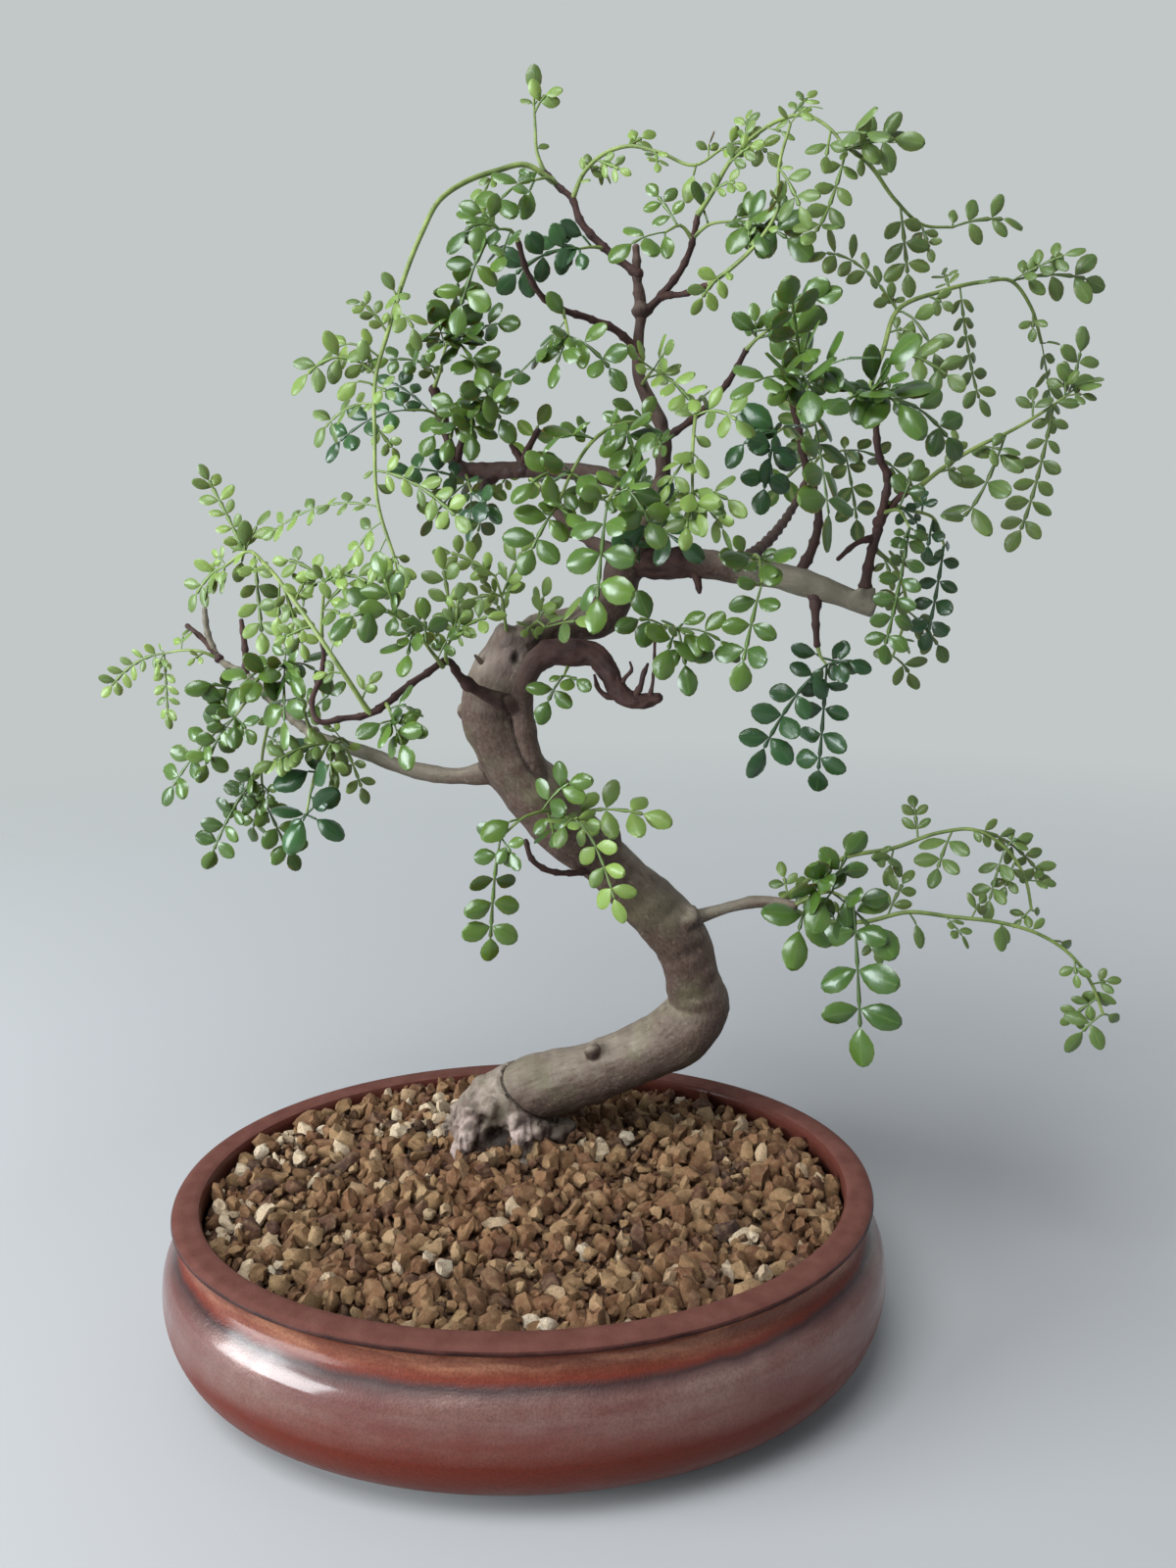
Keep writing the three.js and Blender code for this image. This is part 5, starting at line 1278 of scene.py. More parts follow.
@dataclass(frozen=True)
class BakedClay(Finish):
    """Porous baked clay, each granule with a tone of its own, its tone stored as clay_tone."""

    tones: Sequence[tuple[float, Colour]] = (
        (0.0, (54, 42, 40)), (0.05, (76, 55, 45)), (0.22, (104, 73, 50)), (0.5, (122, 92, 64)),
        (0.78, (142, 114, 80)), (0.92, (162, 136, 102)), (0.965, (192, 172, 142)), (1.0, (216, 202, 178)),
    )
    pale_heaps: Sequence[Point] = ((-0.104, -0.012, 0.058), (-0.098, 0.03, 0.058), (-0.041, 0.042, 0.064))

    def dress(self, graph: Graph, shader: Node, place: Socket) -> None:
        """Dresses the shader by the granule's tone, with pores and paler dust.

        Args:
            graph: The material's graph.
            shader: Its shader.
            place: The place on the object.
        """
        colour = graph.ramp(graph.named("clay_tone"), [(at, linear(*tone)) for at, tone in self.tones])
        colour = graph.tint(colour, patches(graph, place, 34.0, 0.52, 0.14), (122, 74, 50), 0.36)
        chance = 0.0
        for heap in self.pale_heaps:
            away = graph.out("ShaderNodeVectorMath", "Value", {0: place, 1: heap}, operation="DISTANCE")
            chance = graph.maths("ADD", chance, graph.stretch(away, 0.026, 0.006, 0.0, 0.5))
        lot = graph.maths("FRACT", graph.maths("MULTIPLY", graph.named("clay_tone"), 7.3))
        pale = graph.maths("GREATER_THAN", graph.maths("ADD", lot, chance), 1.0)
        colour = graph.blend(pale, colour, graph.blend(lot, linear(176, 148, 118), linear(206, 188, 160)))
        dust = patches(graph, place, 420.0, 0.55, 0.12)
        colour = graph.tint(colour, dust, (172, 144, 110), 0.3)
        colour = graph.tint(colour, patches(graph, place, 1500.0, 0.6, 0.06), (84, 56, 36), 0.5)
        graph.fill(
            shader,
            Base_Color=colour,
            Roughness=graph.stretch(dust, 0, 1, 0.86, 0.97),
            Specular_IOR_Level=0.25,
            Normal=rough(graph, place, 900.0, 0.0009, 0.5),
        )


@dataclass(frozen=True)
class Bark(Finish):
    """Smooth bark by age, with grain along the limb and pale scurf near the ground."""

    crevice_shade: Colour = (36, 25, 20)

    def dress(self, graph: Graph, shader: Node, place: Socket) -> None:
        """Dresses the shader by the wood's age and the way along the limb, with painted light and shade.

        Args:
            graph: The material's graph.
            shader: Its shader.
            place: The place on the object.
        """
        age, along = graph.named("age"), graph.named("bark_place", "Vector")
        cloud = patches(graph, place, 75.0, 0.5, 0.2)
        grain = patches(graph, along, 520.0, 0.5, 0.16)
        facing_up = graph.part(graph.normal(), "Z")
        colour = graph.blend(cloud, linear(66, 49, 41), linear(86, 69, 58))
        colour = graph.tint(colour, patches(graph, place, 48.0), (76, 48, 39), 0.45)
        # Painted light: patches of paler bark on faces that look up.
        painted_top_light = graph.stretch(cloud, 0, 1, 0.5, 0.9)
        painted_top_light = graph.maths("MULTIPLY", graph.stretch(facing_up, 0.0, 0.7), painted_top_light)
        colour = graph.blend(painted_top_light, colour, linear(150, 140, 124))
        # Painted shade: the bark darkens on faces that look down.
        colour = graph.blend(graph.stretch(facing_up, 0.3, -0.5, 0, 0.8), colour, linear(56, 40, 34))
        # Painted shade: low on the trunk the undersides darken further.
        low_underside_shade = graph.stretch(graph.part(place, "Z"), 0.13, 0.105)
        low_underside_shade = graph.maths("MULTIPLY", low_underside_shade, graph.stretch(facing_up, 0.6, -0.1, 0, 0.9))
        colour = graph.blend(low_underside_shade, colour, linear(60, 44, 38))
        rings = patches(graph, graph.scaled(along, 0.3, 0.3, 4.0), 150.0, 0.52, 0.12)
        colour = graph.tint(colour, rings, (72, 50, 42), 0.34)
        colour = graph.tint(colour, grain, (74, 56, 46), 0.3)
        colour = graph.tint(colour, patches(graph, place, 820.0, 0.5, 0.16), (132, 118, 104), 0.22)
        old = graph.tint(colour, patches(graph, along, 700.0, 0.37, 0.05), (62, 46, 38), 0, 0.4)
        old = graph.tint(old, patches(graph, place, 52.0, 0.6, 0.06), (92, 94, 64), 0.35)
        new = graph.blend(grain, linear(50, 30, 28), linear(72, 48, 42))
        colour = graph.blend(graph.stretch(age, 0.1, 0.85), old, new)
        colour = graph.blend(graph.stretch(age, 0.0, -0.4, 0, 0.7), colour, linear(122, 118, 102))
        flecks = patches(graph, place, 420.0, 0.66, 0.04)
        flecks = graph.maths("MULTIPLY", flecks, graph.stretch(age, 0.0, 0.5, 0.2, 0.04))
        colour = graph.blend(flecks, colour, linear(160, 144, 128))
        scurf = graph.maths("MULTIPLY", graph.named("scurf"), graph.stretch(cloud, 0, 1, 0.45, 1.0))
        colour = graph.blend(scurf, colour, graph.blend(grain, linear(190, 174, 167), linear(160, 137, 128)))
        # Painted shade: darkens the flare's pits, its socket, the shadow right of it, the strip's groove and the
        # knot hole.
        colour = graph.blend(graph.named("hollow"), colour, linear(*self.crevice_shade))
        # Painted shade: a dark line along the crack between the flare and the trunk.
        line = graph.stretch(graph.maths("ABSOLUTE", graph.named("seam")), 0.22, 0.62, 0.9, 0)
        graph.fill(
            shader,
            Base_Color=graph.blend(line, colour, linear(*self.crevice_shade)),
            Roughness=graph.stretch(grain, 0, 1, 0.62, 0.8),
            Specular_IOR_Level=0.35,
            Normal=rough(graph, along, 650.0, 0.0006, 0.5),
        )


@dataclass(frozen=True)
class LeafSkin(Finish):
    """Glossy leaflet: pale midrib and veins, paler underside, each with a tone of its own."""

    deep: Colour
    fresh: Colour
    back: Colour
    gloss: float
    coat: float = 0.35

    def dress(self, graph: Graph, shader: Node, place: Socket) -> None:
        """Dresses the shader by the leaflet's tone and the place on its blade.

        Args:
            graph: The material's graph.
            shader: Its shader.
            place: The place on the object.
        """
        blade = graph.add("ShaderNodeSeparateXYZ", {"Vector": graph.named("blade", "Vector")}).outputs
        across = graph.maths("ABSOLUTE", blade["Y"])
        # The leaf_tone is random, darkened as painted shade on the side away from the window.
        colour = graph.blend(graph.named("leaf_tone"), linear(*self.deep), linear(*self.fresh))
        patch = patches(graph, place, 420.0, 0.5, 0.2)
        colour = graph.tint(colour, patch, self.back, 0.12)
        slant = graph.maths("SUBTRACT", blade["X"], graph.maths("MULTIPLY", across, 0.55))
        veins = graph.maths("SINE", graph.maths("MULTIPLY", slant, 44.0))
        veins = graph.stretch(veins, 0.75, 1.0, 0.0, 0.09)
        ribs = graph.maths("MAXIMUM", veins, graph.stretch(across, 0.04, 0.12, 0.3, 0.0))
        colour = graph.blend(ribs, colour, linear(*self.back))
        under = graph.stretch(blade["Z"], -0.2, -0.6)
        graph.fill(
            shader,
            Base_Color=graph.tint(colour, under, self.back, 0.6),
            Roughness=graph.stretch(under, 0, 1, self.gloss, 0.6),
            Specular_IOR_Level=0.42,
            Subsurface_Weight=0.1,
            Subsurface_Scale=0.002,
            Coat_Weight=graph.stretch(under, 0, 1, self.coat, 0.0),
            Coat_Roughness=0.18,
            Coat_Tint=linear(214, 248, 255),
            Normal=graph.bump(graph.maths("SUBTRACT", patch, ribs), 0.00004),
        )


@dataclass(frozen=True)
class GreenShoot(Finish):
    """Young green stem with paler lengthwise streaks."""

    light: Colour = (134, 152, 80)
    shade: Colour = (94, 112, 56)

    def dress(self, graph: Graph, shader: Node, place: Socket) -> None:
        """Dresses the shader in soft patches of two greens.

        Args:
            graph: The material's graph.
            shader: Its shader.
            place: The place on the object.
        """
        patch = patches(graph, place, 160.0, 0.5, 0.15)
        graph.fill(
            shader,
            Base_Color=graph.blend(patch, linear(*self.shade), linear(*self.light)),
            Roughness=graph.stretch(patch, 0, 1, 0.42, 0.55),
            Normal=rough(graph, place, 1400.0, 0.0001),
        )


@dataclass(frozen=True)
class StudioFloor(Finish):
    """Plain pale floor, painted lighter with distance where the lamps fall off, so it fades into the wall's tone.
    """

    near: Colour = (174, 175, 176)
    far: Colour = (214, 216, 217)

    def dress(self, graph: Graph, shader: Node, place: Socket) -> None:
        """Dresses the shader in a pale grey with the faintest unevenness.

        Args:
            graph: The material's graph.
            shader: Its shader.
            place: The place on the floor.
        """
        away = graph.out("ShaderNodeVectorMath", "Value", {"Vector": place}, operation="LENGTH")
        # Painted light: the floor grows lighter from near to far.
        colour = graph.blend(graph.stretch(away, 0.25, 1.0), linear(*self.near), linear(*self.far))
        graph.fill(
            shader,
            Base_Color=graph.tint(colour, patches(graph, place, 3.0, 0.5, 0.3), (190, 190, 192), 0.04),
            Roughness=0.9,
            Alpha=graph.stretch(away, 0.42, 1.15, 1, 0),
        )


# Geometry trees


@dataclass
class Recipe:
    """A geometry tree with named inputs, and what is needed to run it on an object."""

    name: str
    inputs: Sequence[tuple[str, str]]
    build: Callable[[Graph, Node], Socket]

    def run(self, thing: Object, **values: object) -> Object:
        """Runs the tree on an object and keeps the mesh that it makes.

        Args:
            thing: The object.
            values: The tree's inputs by name, with _ for a space.

        Returns:
            The object, with a plain mesh and no modifier.
        """
        tree = bpy.data.node_groups.get(self.name) or self.tree()
        modifier = thing.modifiers.new(self.name, "NODES")
        modifier.node_group = tree
        for item in tree.interface.items_tree:
            key = item.name.replace(" ", "_")
            if item.in_out == "INPUT" and key in values:
                modifier[item.identifier] = values[key]
        return settle(thing)

    def tree(self) -> Tree:
        """Builds the tree.

        Returns:
            The tree.
        """
        tree = bpy.data.node_groups.new(self.name, "GeometryNodeTree")
        for name, kind in (("Geometry", "Geometry"), *self.inputs):
            tree.interface.new_socket(name, in_out="INPUT", socket_type=f"NodeSocket{kind}")
        tree.interface.new_socket("Geometry", in_out="OUTPUT", socket_type="NodeSocketGeometry")
        graph = Graph(tree)
        result = self.build(graph, graph.add("NodeGroupInput"))
        graph.add("NodeGroupOutput", {"Geometry": result})
        return tree


def build_scatter(graph: Graph, entry: Node) -> Socket:
    """Builds granules strewn over a surface, each turned, sized and toned at random.

    Args:
        graph: The tree's graph.
        entry: Its inputs.

    Returns:
        The granules.
    """
    ask = entry.outputs
    inputs = {"Mesh": ask["Geometry"], "Seed": ask["Seed"]}
    strewn = graph.add("GeometryNodeDistributePointsOnFaces", inputs, distribute_method="POISSON")
    graph.feed(open_socket(strewn.inputs, "Distance Min"), ask["Spacing"])
    graph.feed(open_socket(strewn.inputs, "Density Max"), 300000.0)

    def draw(kind: str, low: object, high: object, step: int) -> Socket:
        """Draws a value for each granule.

        Args:
            kind: The value's kind.
            low: Its least.
            high: Its most.
            step: Which draw it is.

        Returns:
            The value.
        """
        seed = graph.maths("ADD", ask["Seed"], float(step))
        inputs = {"Min": low, "Max": high, "Seed": seed}
        return graph.out("FunctionNodeRandomValue", "Value", inputs, data_type=kind)

    lift = graph.out("ShaderNodeCombineXYZ", "Vector", {"Z": draw("FLOAT", ask["Sink"], ask["Rise"], 1)})
    points = {"Geometry": strewn.outputs["Points"], "Offset": lift}
    points = graph.out("GeometryNodeSetPosition", "Geometry", points)
    turn = draw("FLOAT_VECTOR", (0.0, 0.0, 0.0), (math.tau, math.tau, math.tau), 2)
    size = graph.maths("POWER", draw("FLOAT", 0.0, 1.0, 3), 1.6)
    size = {"Value": size, "To Min": ask["Smallest"], "To Max": ask["Largest"]}
    size = graph.out("ShaderNodeMapRange", "Result", size)
    laid = graph.picked(points, ask["Forms"], draw("INT", 0, 1000, 4), turn, size)
    toned = graph.out(
        "GeometryNodeStoreNamedAttribute",
        "Geometry",
        {"Geometry": laid, "Name": "clay_tone", "Value": draw("FLOAT", 0.0, ask["Palest"], 5)},
        data_type="FLOAT",
        domain="INSTANCE",
    )
    return graph.painted(graph.real(toned), ask["Clay"])


def build_shoot(graph: Graph, entry: Node) -> Socket:
    """Builds a leafy shoot: stems round their lines, midribs as they are, leaflets on their points.

    Args:
        graph: The tree's graph.
        entry: Its inputs.

    Returns:
        The shoot.
    """
    ask = entry.outputs
    role = graph.field("role")

    def split(geometry: Socket, level: float) -> Node:
        """Parts what has a role above a level from the rest.

        Args:
            geometry: What is parted.
            level: The level.

        Returns:
            The node, with both parts.
        """
        inputs = {"Geometry": geometry, "Selection": graph.maths("GREATER_THAN", role, level)}
        return graph.add("GeometryNodeSeparateGeometry", inputs, domain="POINT")

    leaflets = split(ask["Geometry"], 1.5)
    stems = split(leaflets.outputs["Inverted"], 0.5)
    turn, size = graph.field("turn", "FLOAT_VECTOR"), graph.field("size", "FLOAT_VECTOR")
    laid = graph.picked(
        leaflets.outputs["Selection"], ask["Leaflet Forms"], graph.field("form", "INT"), turn, size
    )
    blades = graph.painted(graph.join(stems.outputs["Inverted"], graph.real(laid)), ask["Leaf"])
    section = {"Resolution": ask["Stem Sides"], "Radius": 1.0}
    rods = graph.out("GeometryNodeCurveToMesh", "Mesh", {
        "Curve": graph.out("GeometryNodeMeshToCurve", "Curve", {"Mesh": stems.outputs["Selection"]}),
        "Profile Curve": graph.out("GeometryNodeCurvePrimitiveCircle", "Curve", section),
        "Scale": graph.field("thickness"),
        "Fill Caps": True,
    })
    whole = graph.real(graph.join(blades, graph.painted(rods, ask["Shoot"])))
    return graph.out("GeometryNodeSetShadeSmooth", "Geometry", {"Geometry": whole})


def build_screen(graph: Graph, entry: Node) -> Socket:
    """Builds a square screen of rods laid both ways.

    Args:
        graph: The tree's graph.
        entry: Its inputs.

    Returns:
        The screen.
    """
    ask = entry.outputs
    count = graph.maths("ADD", graph.maths("ROUND", graph.maths("DIVIDE", ask["Size"], ask["Pitch"])), 1.0)
    half = graph.maths("MULTIPLY", ask["Size"], 0.5)
    start = graph.maths("MULTIPLY", half, -1.0)
    gap = graph.maths("DIVIDE", ask["Size"], graph.maths("SUBTRACT", count, 1.0))
    layers = []
    for run, across in (("X", "Y"), ("Y", "X")):
        ends = [graph.out("ShaderNodeCombineXYZ", "Vector", {run: value}) for value in (start, half)]
        line = graph.out("GeometryNodeCurvePrimitiveLine", "Curve", {"Start": ends[0], "End": ends[1]})
        section = {"Resolution": 6, "Radius": ask["Rod"]}
        section = graph.out("GeometryNodeCurvePrimitiveCircle", "Curve", section)
        rod = {"Curve": line, "Profile Curve": section, "Fill Caps": True}
        rod = graph.out("GeometryNodeCurveToMesh", "Mesh", rod)
        first, step = (graph.out("ShaderNodeCombineXYZ", "Vector", {across: way}) for way in (start, gap))
        places = {"Count": count, "Start Location": first, "Offset": step}
        places = graph.out("GeometryNodeMeshLine", "Mesh", places)
        layers.append(graph.out("GeometryNodeInstanceOnPoints", "Instances", {"Points": places, "Instance": rod}))
    moved = {"Geometry": graph.join(*layers), "Translation": ask["Centre"]}
    moved = graph.out("GeometryNodeTransform", "Geometry", moved)
    return graph.painted(graph.real(moved), ask["Plastic"])


SCATTER = Recipe(
    "strewn granules",
    (("Forms", "Collection"), ("Clay", "Material"), ("Spacing", "Float"), ("Smallest", "Float"),
     ("Largest", "Float"), ("Sink", "Float"), ("Rise", "Float"), ("Palest", "Float"), ("Seed", "Int")),
    build_scatter,
)
SHOOT = Recipe(
    "leafy shoot",
    (("Leaflet Forms", "Collection"), ("Leaf", "Material"), ("Shoot", "Material"), ("Stem Sides", "Int")),
    build_shoot,
)
SCREEN = Recipe(
    "drain screen",
    (("Size", "Float"), ("Pitch", "Float"), ("Rod", "Float"), ("Centre", "Vector"), ("Plastic", "Material")),
    build_screen,
)


def kept_forms(name: str, forms: Sequence[Object]) -> bpy.types.Collection:
    """Gathers the forms that a tree picks from, out of the view.

    Args:
        name: The collection's name.
        forms: The forms.

    Returns:
        The collection.
    """
    shelf = bpy.data.collections.new(name)
    bpy.context.scene.collection.children.link(shelf)
    for form in forms:
        for home in list(form.users_collection):
            home.objects.unlink(form)
        shelf.objects.link(form)
        form.hide_render = True
    return shelf


def clear_forms(shelf: bpy.types.Collection) -> None:
    """Removes the forms once their copies are real.

    Args:
        shelf: Their collection, which goes too.
    """
    for form in list(shelf.objects):
        bpy.data.objects.remove(form)
    bpy.data.collections.remove(shelf)


# Pot and soil


@dataclass
class Pot:
    """Low oval pot, and the level and outline of the soil in it."""

    length: float = 254.0
    width: float = 194.0
    squareness: float = 2.05
    sides: int = 240
    section_step: float = 1.3
    crease: float = 38.0
    hole_spacing: float = 104.0
    hole_radius: float = 6.0
    hole_sides: int = 40
    channel_depth: float = 2.0
    soil_edge: float = 58.3
    mounds: Sequence[Point] = ((-8.0, 32.0, 42.0, 7.5), (-78.0, 40.0, 36.0, 3.6), (-30.0, 74.0, 34.0, 3.6))
    runs: Sequence[Sequence[Point]] = (
        [(-17, 0), (-15.5, 1)],
        [(-15.5, 1), (-9, 5.8), (0, 14.5), (4.2, 25), (5, 35), (2.8, 45), (-1.4, 50)],
        [(-1.4, 50), (-2.1, 50.7), (-3.4, 52.4), (-4.2, 54.6), (-4.2, 57), (-3.4, 59.4), (-2.2, 60.7)],
        [(-2.2, 60.7), (-0.9, 61.1), (-0.2, 61.8), (-0.1, 62.5), (-0.5, 63.2), (-1.4, 63.7), (-3, 64)],
        [(-3, 64), (-8.4, 64)],
        [(-8.4, 64), (-9.6, 63.7), (-10.3, 62.6), (-10.4, 60), (-9.8, 55), (-6, 48), (-3.5, 42), (-2.8, 34),
         (-2.8, 26), (-5.5, 18), (-11, 12), (-24, 7)],
    )

    def ring(self, reach: float, z: float, sides: int) -> np.ndarray:
        """Places points round the pot's oval.

        Args:
            reach: Distance from the centre along the length, in mm.
            z: Their height.
            sides: How many there are.

        Returns:
            Rows of x, y, z in mm.
        """
        angles = around(sides)
        narrowing = (self.length - self.width) / 2
        width_reach = reach - narrowing * np.minimum(1, 2 * np.asarray(reach) / self.width)
        power = 2 / self.squareness
        x, y = reach * signed_power(np.cos(angles), power), width_reach * signed_power(np.sin(angles), power)
        return np.stack([x, y, np.full(sides, z)], axis=1)

    def soil_level(self, x: np.ndarray, y: np.ndarray) -> np.ndarray:
        """Gives the soil's height, which rises round the trunk and towards the back left.

        Args:
            x: Places along the pot in mm.
            y: Places across it.

        Returns:
            The heights in mm.
        """
        level = np.full(np.shape(x), self.soil_edge)
        for centre_x, centre_y, width, rise in self.mounds:
            level = level + rise * np.exp(-((np.hypot(x - centre_x, y - centre_y) / width) ** 2))
        return level

    def lathe(self, name: str, profile: np.ndarray) -> Object:
        """Turns a profile round the oval.

        Args:
            name: The object's name.
            profile: Rows of inset from the rim and z in mm, from the middle below to the middle above.

        Returns:
            A closed shell with its faces outward.
        """
        rings = [self.ring(self.length / 2 + inset, z, self.sides) for inset, z in profile]
        middles = [[0, 0, profile[0][1]], [0, 0, profile[-1][1]]]
        vertices = np.concatenate([*rings, middles]) * MM
        return new_object(name, vertices, shell_faces(len(profile), self.sides))

    def cutter(self, x: float, reach: Sequence[float], top: float, squareness: float) -> Object:
        """Makes a body to cut the pot's floor with.

        Args:
            x: Where its middle lies along the pot, in mm.
            reach: How far it goes to each side along and across the pot.
            top: How far it goes up.
            squareness: 2 for an oval, more for squarer corners.

        Returns:
            The body.
        """
        count, power = self.hole_sides, 2 / squareness
        ring = np.stack([
            x + reach[0] * signed_power(np.cos(around(count)), power),
            reach[1] * signed_power(np.sin(around(count)), power),
        ], axis=1)
        ends = [np.column_stack([ring, np.full(count, z)]) for z in (-5.0, top)]
        faces = ring_faces(2, count) + [tuple(range(count - 1, -1, -1)), tuple(range(count, 2 * count))]
        return new_object("cutter", np.concatenate(ends) * MM, faces)

    def build(self) -> None:
        """Builds the pot with its rounded rim, drain holes and channels."""
        rows: list[np.ndarray] = []
        for run in self.runs:
            path = SmoothPath(np.array([(*point, 0.0) for point in run], float))
            smooth = path.stepped(self.section_step)[:, :2]
            rows.extend(smooth if not rows else smooth[1:])
        pot = self.lathe("oval_pot", np.array(rows))
        radius, cutters = self.hole_radius, []
        for x in (-self.hole_spacing / 2, self.hole_spacing / 2):
            cutters.append(self.cutter(x, (radius, radius), 12.0, 2.0))
            cutters.append(self.cutter(x, (radius / 2, self.width), self.channel_depth, 6.0))
        for cutter in cutters:
            cut = pot.modifiers.new("cut", "BOOLEAN")
            cut.operation = "DIFFERENCE"
            cut.solver = "EXACT"
            cut.object = cutter
        settle(pot)
        for cutter in cutters:
            bpy.data.objects.remove(cutter)
        smooth_shade(pot.data, self.crease)
        for face in pot.data.polygons:
            if face.normal.z < -0.999:
                face.use_smooth = False
        clothe(pot, PotGlaze("pot glaze").material())
        present(pot, "pot_glaze", "pot")


@dataclass
class DrainScreens:
    """Plastic mesh over each drain hole."""

    size: float = 25.0
    pitch: float = 3.6
    rod: float = 0.38
    level: float = 7.7

    def build(self, pot: Pot) -> None:
        """Builds both screens on the pot's floor.

        Args:
            pot: The pot.
        """
        plastic = ScreenPlastic("screen plastic").material()
        for side, x in (("left", -pot.hole_spacing / 2), ("right", pot.hole_spacing / 2)):
            screen = new_object(f"screen_{side}", np.zeros((1, 3)), [])
            SCREEN.run(
                screen,
                Size=self.size * MM,
                Pitch=self.pitch * MM,
                Rod=self.rod * MM,
                Centre=(x * MM, 0.0, self.level * MM),
                Plastic=plastic,
            )
            present(screen, "screen_plastic", f"drain_screen_{side}")


@dataclass(frozen=True)
class GranuleLayer:
    """One size of granule, strewn on the soil from sink to rise in mm above its level."""

    name: str
    divisions: int
    cuts: int
    spacing: float
    smallest: float
    largest: float
    sink: float
    rise: float
    edge: float
    palest: float


@dataclass
class Soil:
    """Clay granules on a bed of fines."""

    pot: Pot
    rings: int = 44
    sides: int = 160
    granule_forms: int = 12
    bed_edge: float = 10.9
    bed_drop: float = 3.6
    bed_relief: float = 1.1
    bed_walls: Sequence[tuple[float, float]] = (
        (-10.9, 53.0), (-7, 47.5), (-4, 40), (-3.5, 27), (-6.5, 17.6), (-12, 12.4), (-25, 7.4),
    )
    layers: Sequence[GranuleLayer] = (
        GranuleLayer("granules_coarse", 2, 4, 4.3, 1.7, 4.3, -2.6, 1.2, 13.0, 1.0),
        GranuleLayer("granules_fine", 1, 3, 3.0, 1.0, 2.1, -3.2, -0.6, 11.8, 0.5),
    )

    def top(self, edge: float, drop: float, relief: float) -> Shape:
        """Shapes the soil's top, open below.

        Args:
            edge: How far in from the rim's outside its edge lies, in mm.
            drop: How far it lies below the soil's level.
            relief: How far it goes up and down.

        Returns:
            Its vertices in mm and its faces.
        """
        reach = self.pot.length / 2 - edge
        rings = [self.pot.ring(reach * ring / self.rings, 0.0, self.sides) for ring in range(1, self.rings + 1)]
        rows = np.concatenate([np.zeros((1, 3)), *rings])
        rows[:, 2] = self.pot.soil_level(rows[:, 0], rows[:, 1]) - drop
        rows[:, 2] += relief * value_noise(rows / 3.5, 3)
        faces = [(0, 1 + k, 1 + (k + 1) % self.sides) for k in range(self.sides)]
        return rows, faces + turned_over(ring_faces(self.rings, self.sides, 1))

    def bed(self, clay: Material) -> None:
        """Builds the bed, closed down to the pot's floor, whose top shows between the granules in its darkest
        tones, as painted shade.

        Args:
            clay: Its material.
        """
        rows, faces = self.top(self.bed_edge, self.bed_drop, self.bed_relief)
        first, sides = len(rows) - self.sides, self.sides
        walls = [self.pot.ring(self.pot.length / 2 + inset, z, sides) for inset, z in self.bed_walls]
        rows = np.concatenate([rows, *walls, [(0.0, 0.0, self.bed_walls[-1][1])]])
        faces += turned_over(ring_faces(len(walls) + 1, sides, first))
        last = first + len(walls) * sides
        faces += [(last + k, len(rows) - 1, last + (k + 1) % sides) for k in range(sides)]
        bed = new_object("soil_bed", rows * MM, faces)
        smooth_shade(bed.data)
        # Painted shade: the bed takes the clay's darkest tones, so the gaps between granules read as shade.
        store(bed.data, clay_tone=0.05 + 0.05 * value_noise(rows / 6, 5))
        clothe(bed, clay)
        present(bed, "soil_granules", "soil")

    def granule(self, draw: Random, divisions: int, cuts: int) -> Object:
        """Makes one granule of about unit radius: a rough ball with flats broken off it.

        Args:
            draw: The random draws.
            divisions: How finely the ball is divided.
            cuts: How many flats.

        Returns:
            The granule.
        """
        vertices, faces = icosphere(divisions)
        for _ in range(cuts):
            way = np.array([draw.gauss(0, 1) for _ in range(3)])
            way /= np.linalg.norm(way)
            over = np.maximum(vertices @ way - draw.uniform(0.5, 0.86), 0)
            vertices = vertices - over[:, None] * way
        shift = draw.uniform(0, 90)
        vertices *= 1 + 0.5 * value_noise(vertices * 1.8 + shift, 7)[:, None]
        vertices *= 1 + 0.16 * value_noise(vertices * 3.9 + shift, 8)[:, None]
        vertices *= np.array([draw.uniform(1.0, 1.7), draw.uniform(0.8, 1.15), draw.uniform(0.65, 1.0)])
        granule = new_object("granule", vertices, faces)
        smooth_shade(granule.data, 42.0)
        return granule

    def build(self) -> None:
        """Builds the bed, the coarse granules and the finer ones between them."""
        clay = BakedClay("baked clay").material()
        self.bed(clay)
        draw = Random(SEED)
        for layer in self.layers:
            forms = [self.granule(draw, layer.divisions, layer.cuts) for _ in range(self.granule_forms)]
            shelf = kept_forms("forms", forms)
            rows, faces = self.top(layer.edge, 0.0, 0.0)
            piece = new_object(layer.name, rows * MM, faces)
            SCATTER.run(
                piece,
                Forms=shelf,
                Clay=clay,
                Spacing=layer.spacing * MM,
                Smallest=layer.smallest * MM,
                Largest=layer.largest * MM,
                Sink=layer.sink * MM,
                Rise=layer.rise * MM,
                Palest=layer.palest,
                Seed=SEED + layer.divisions,
            )
            clear_forms(shelf)
            present(piece, "soil_granules")


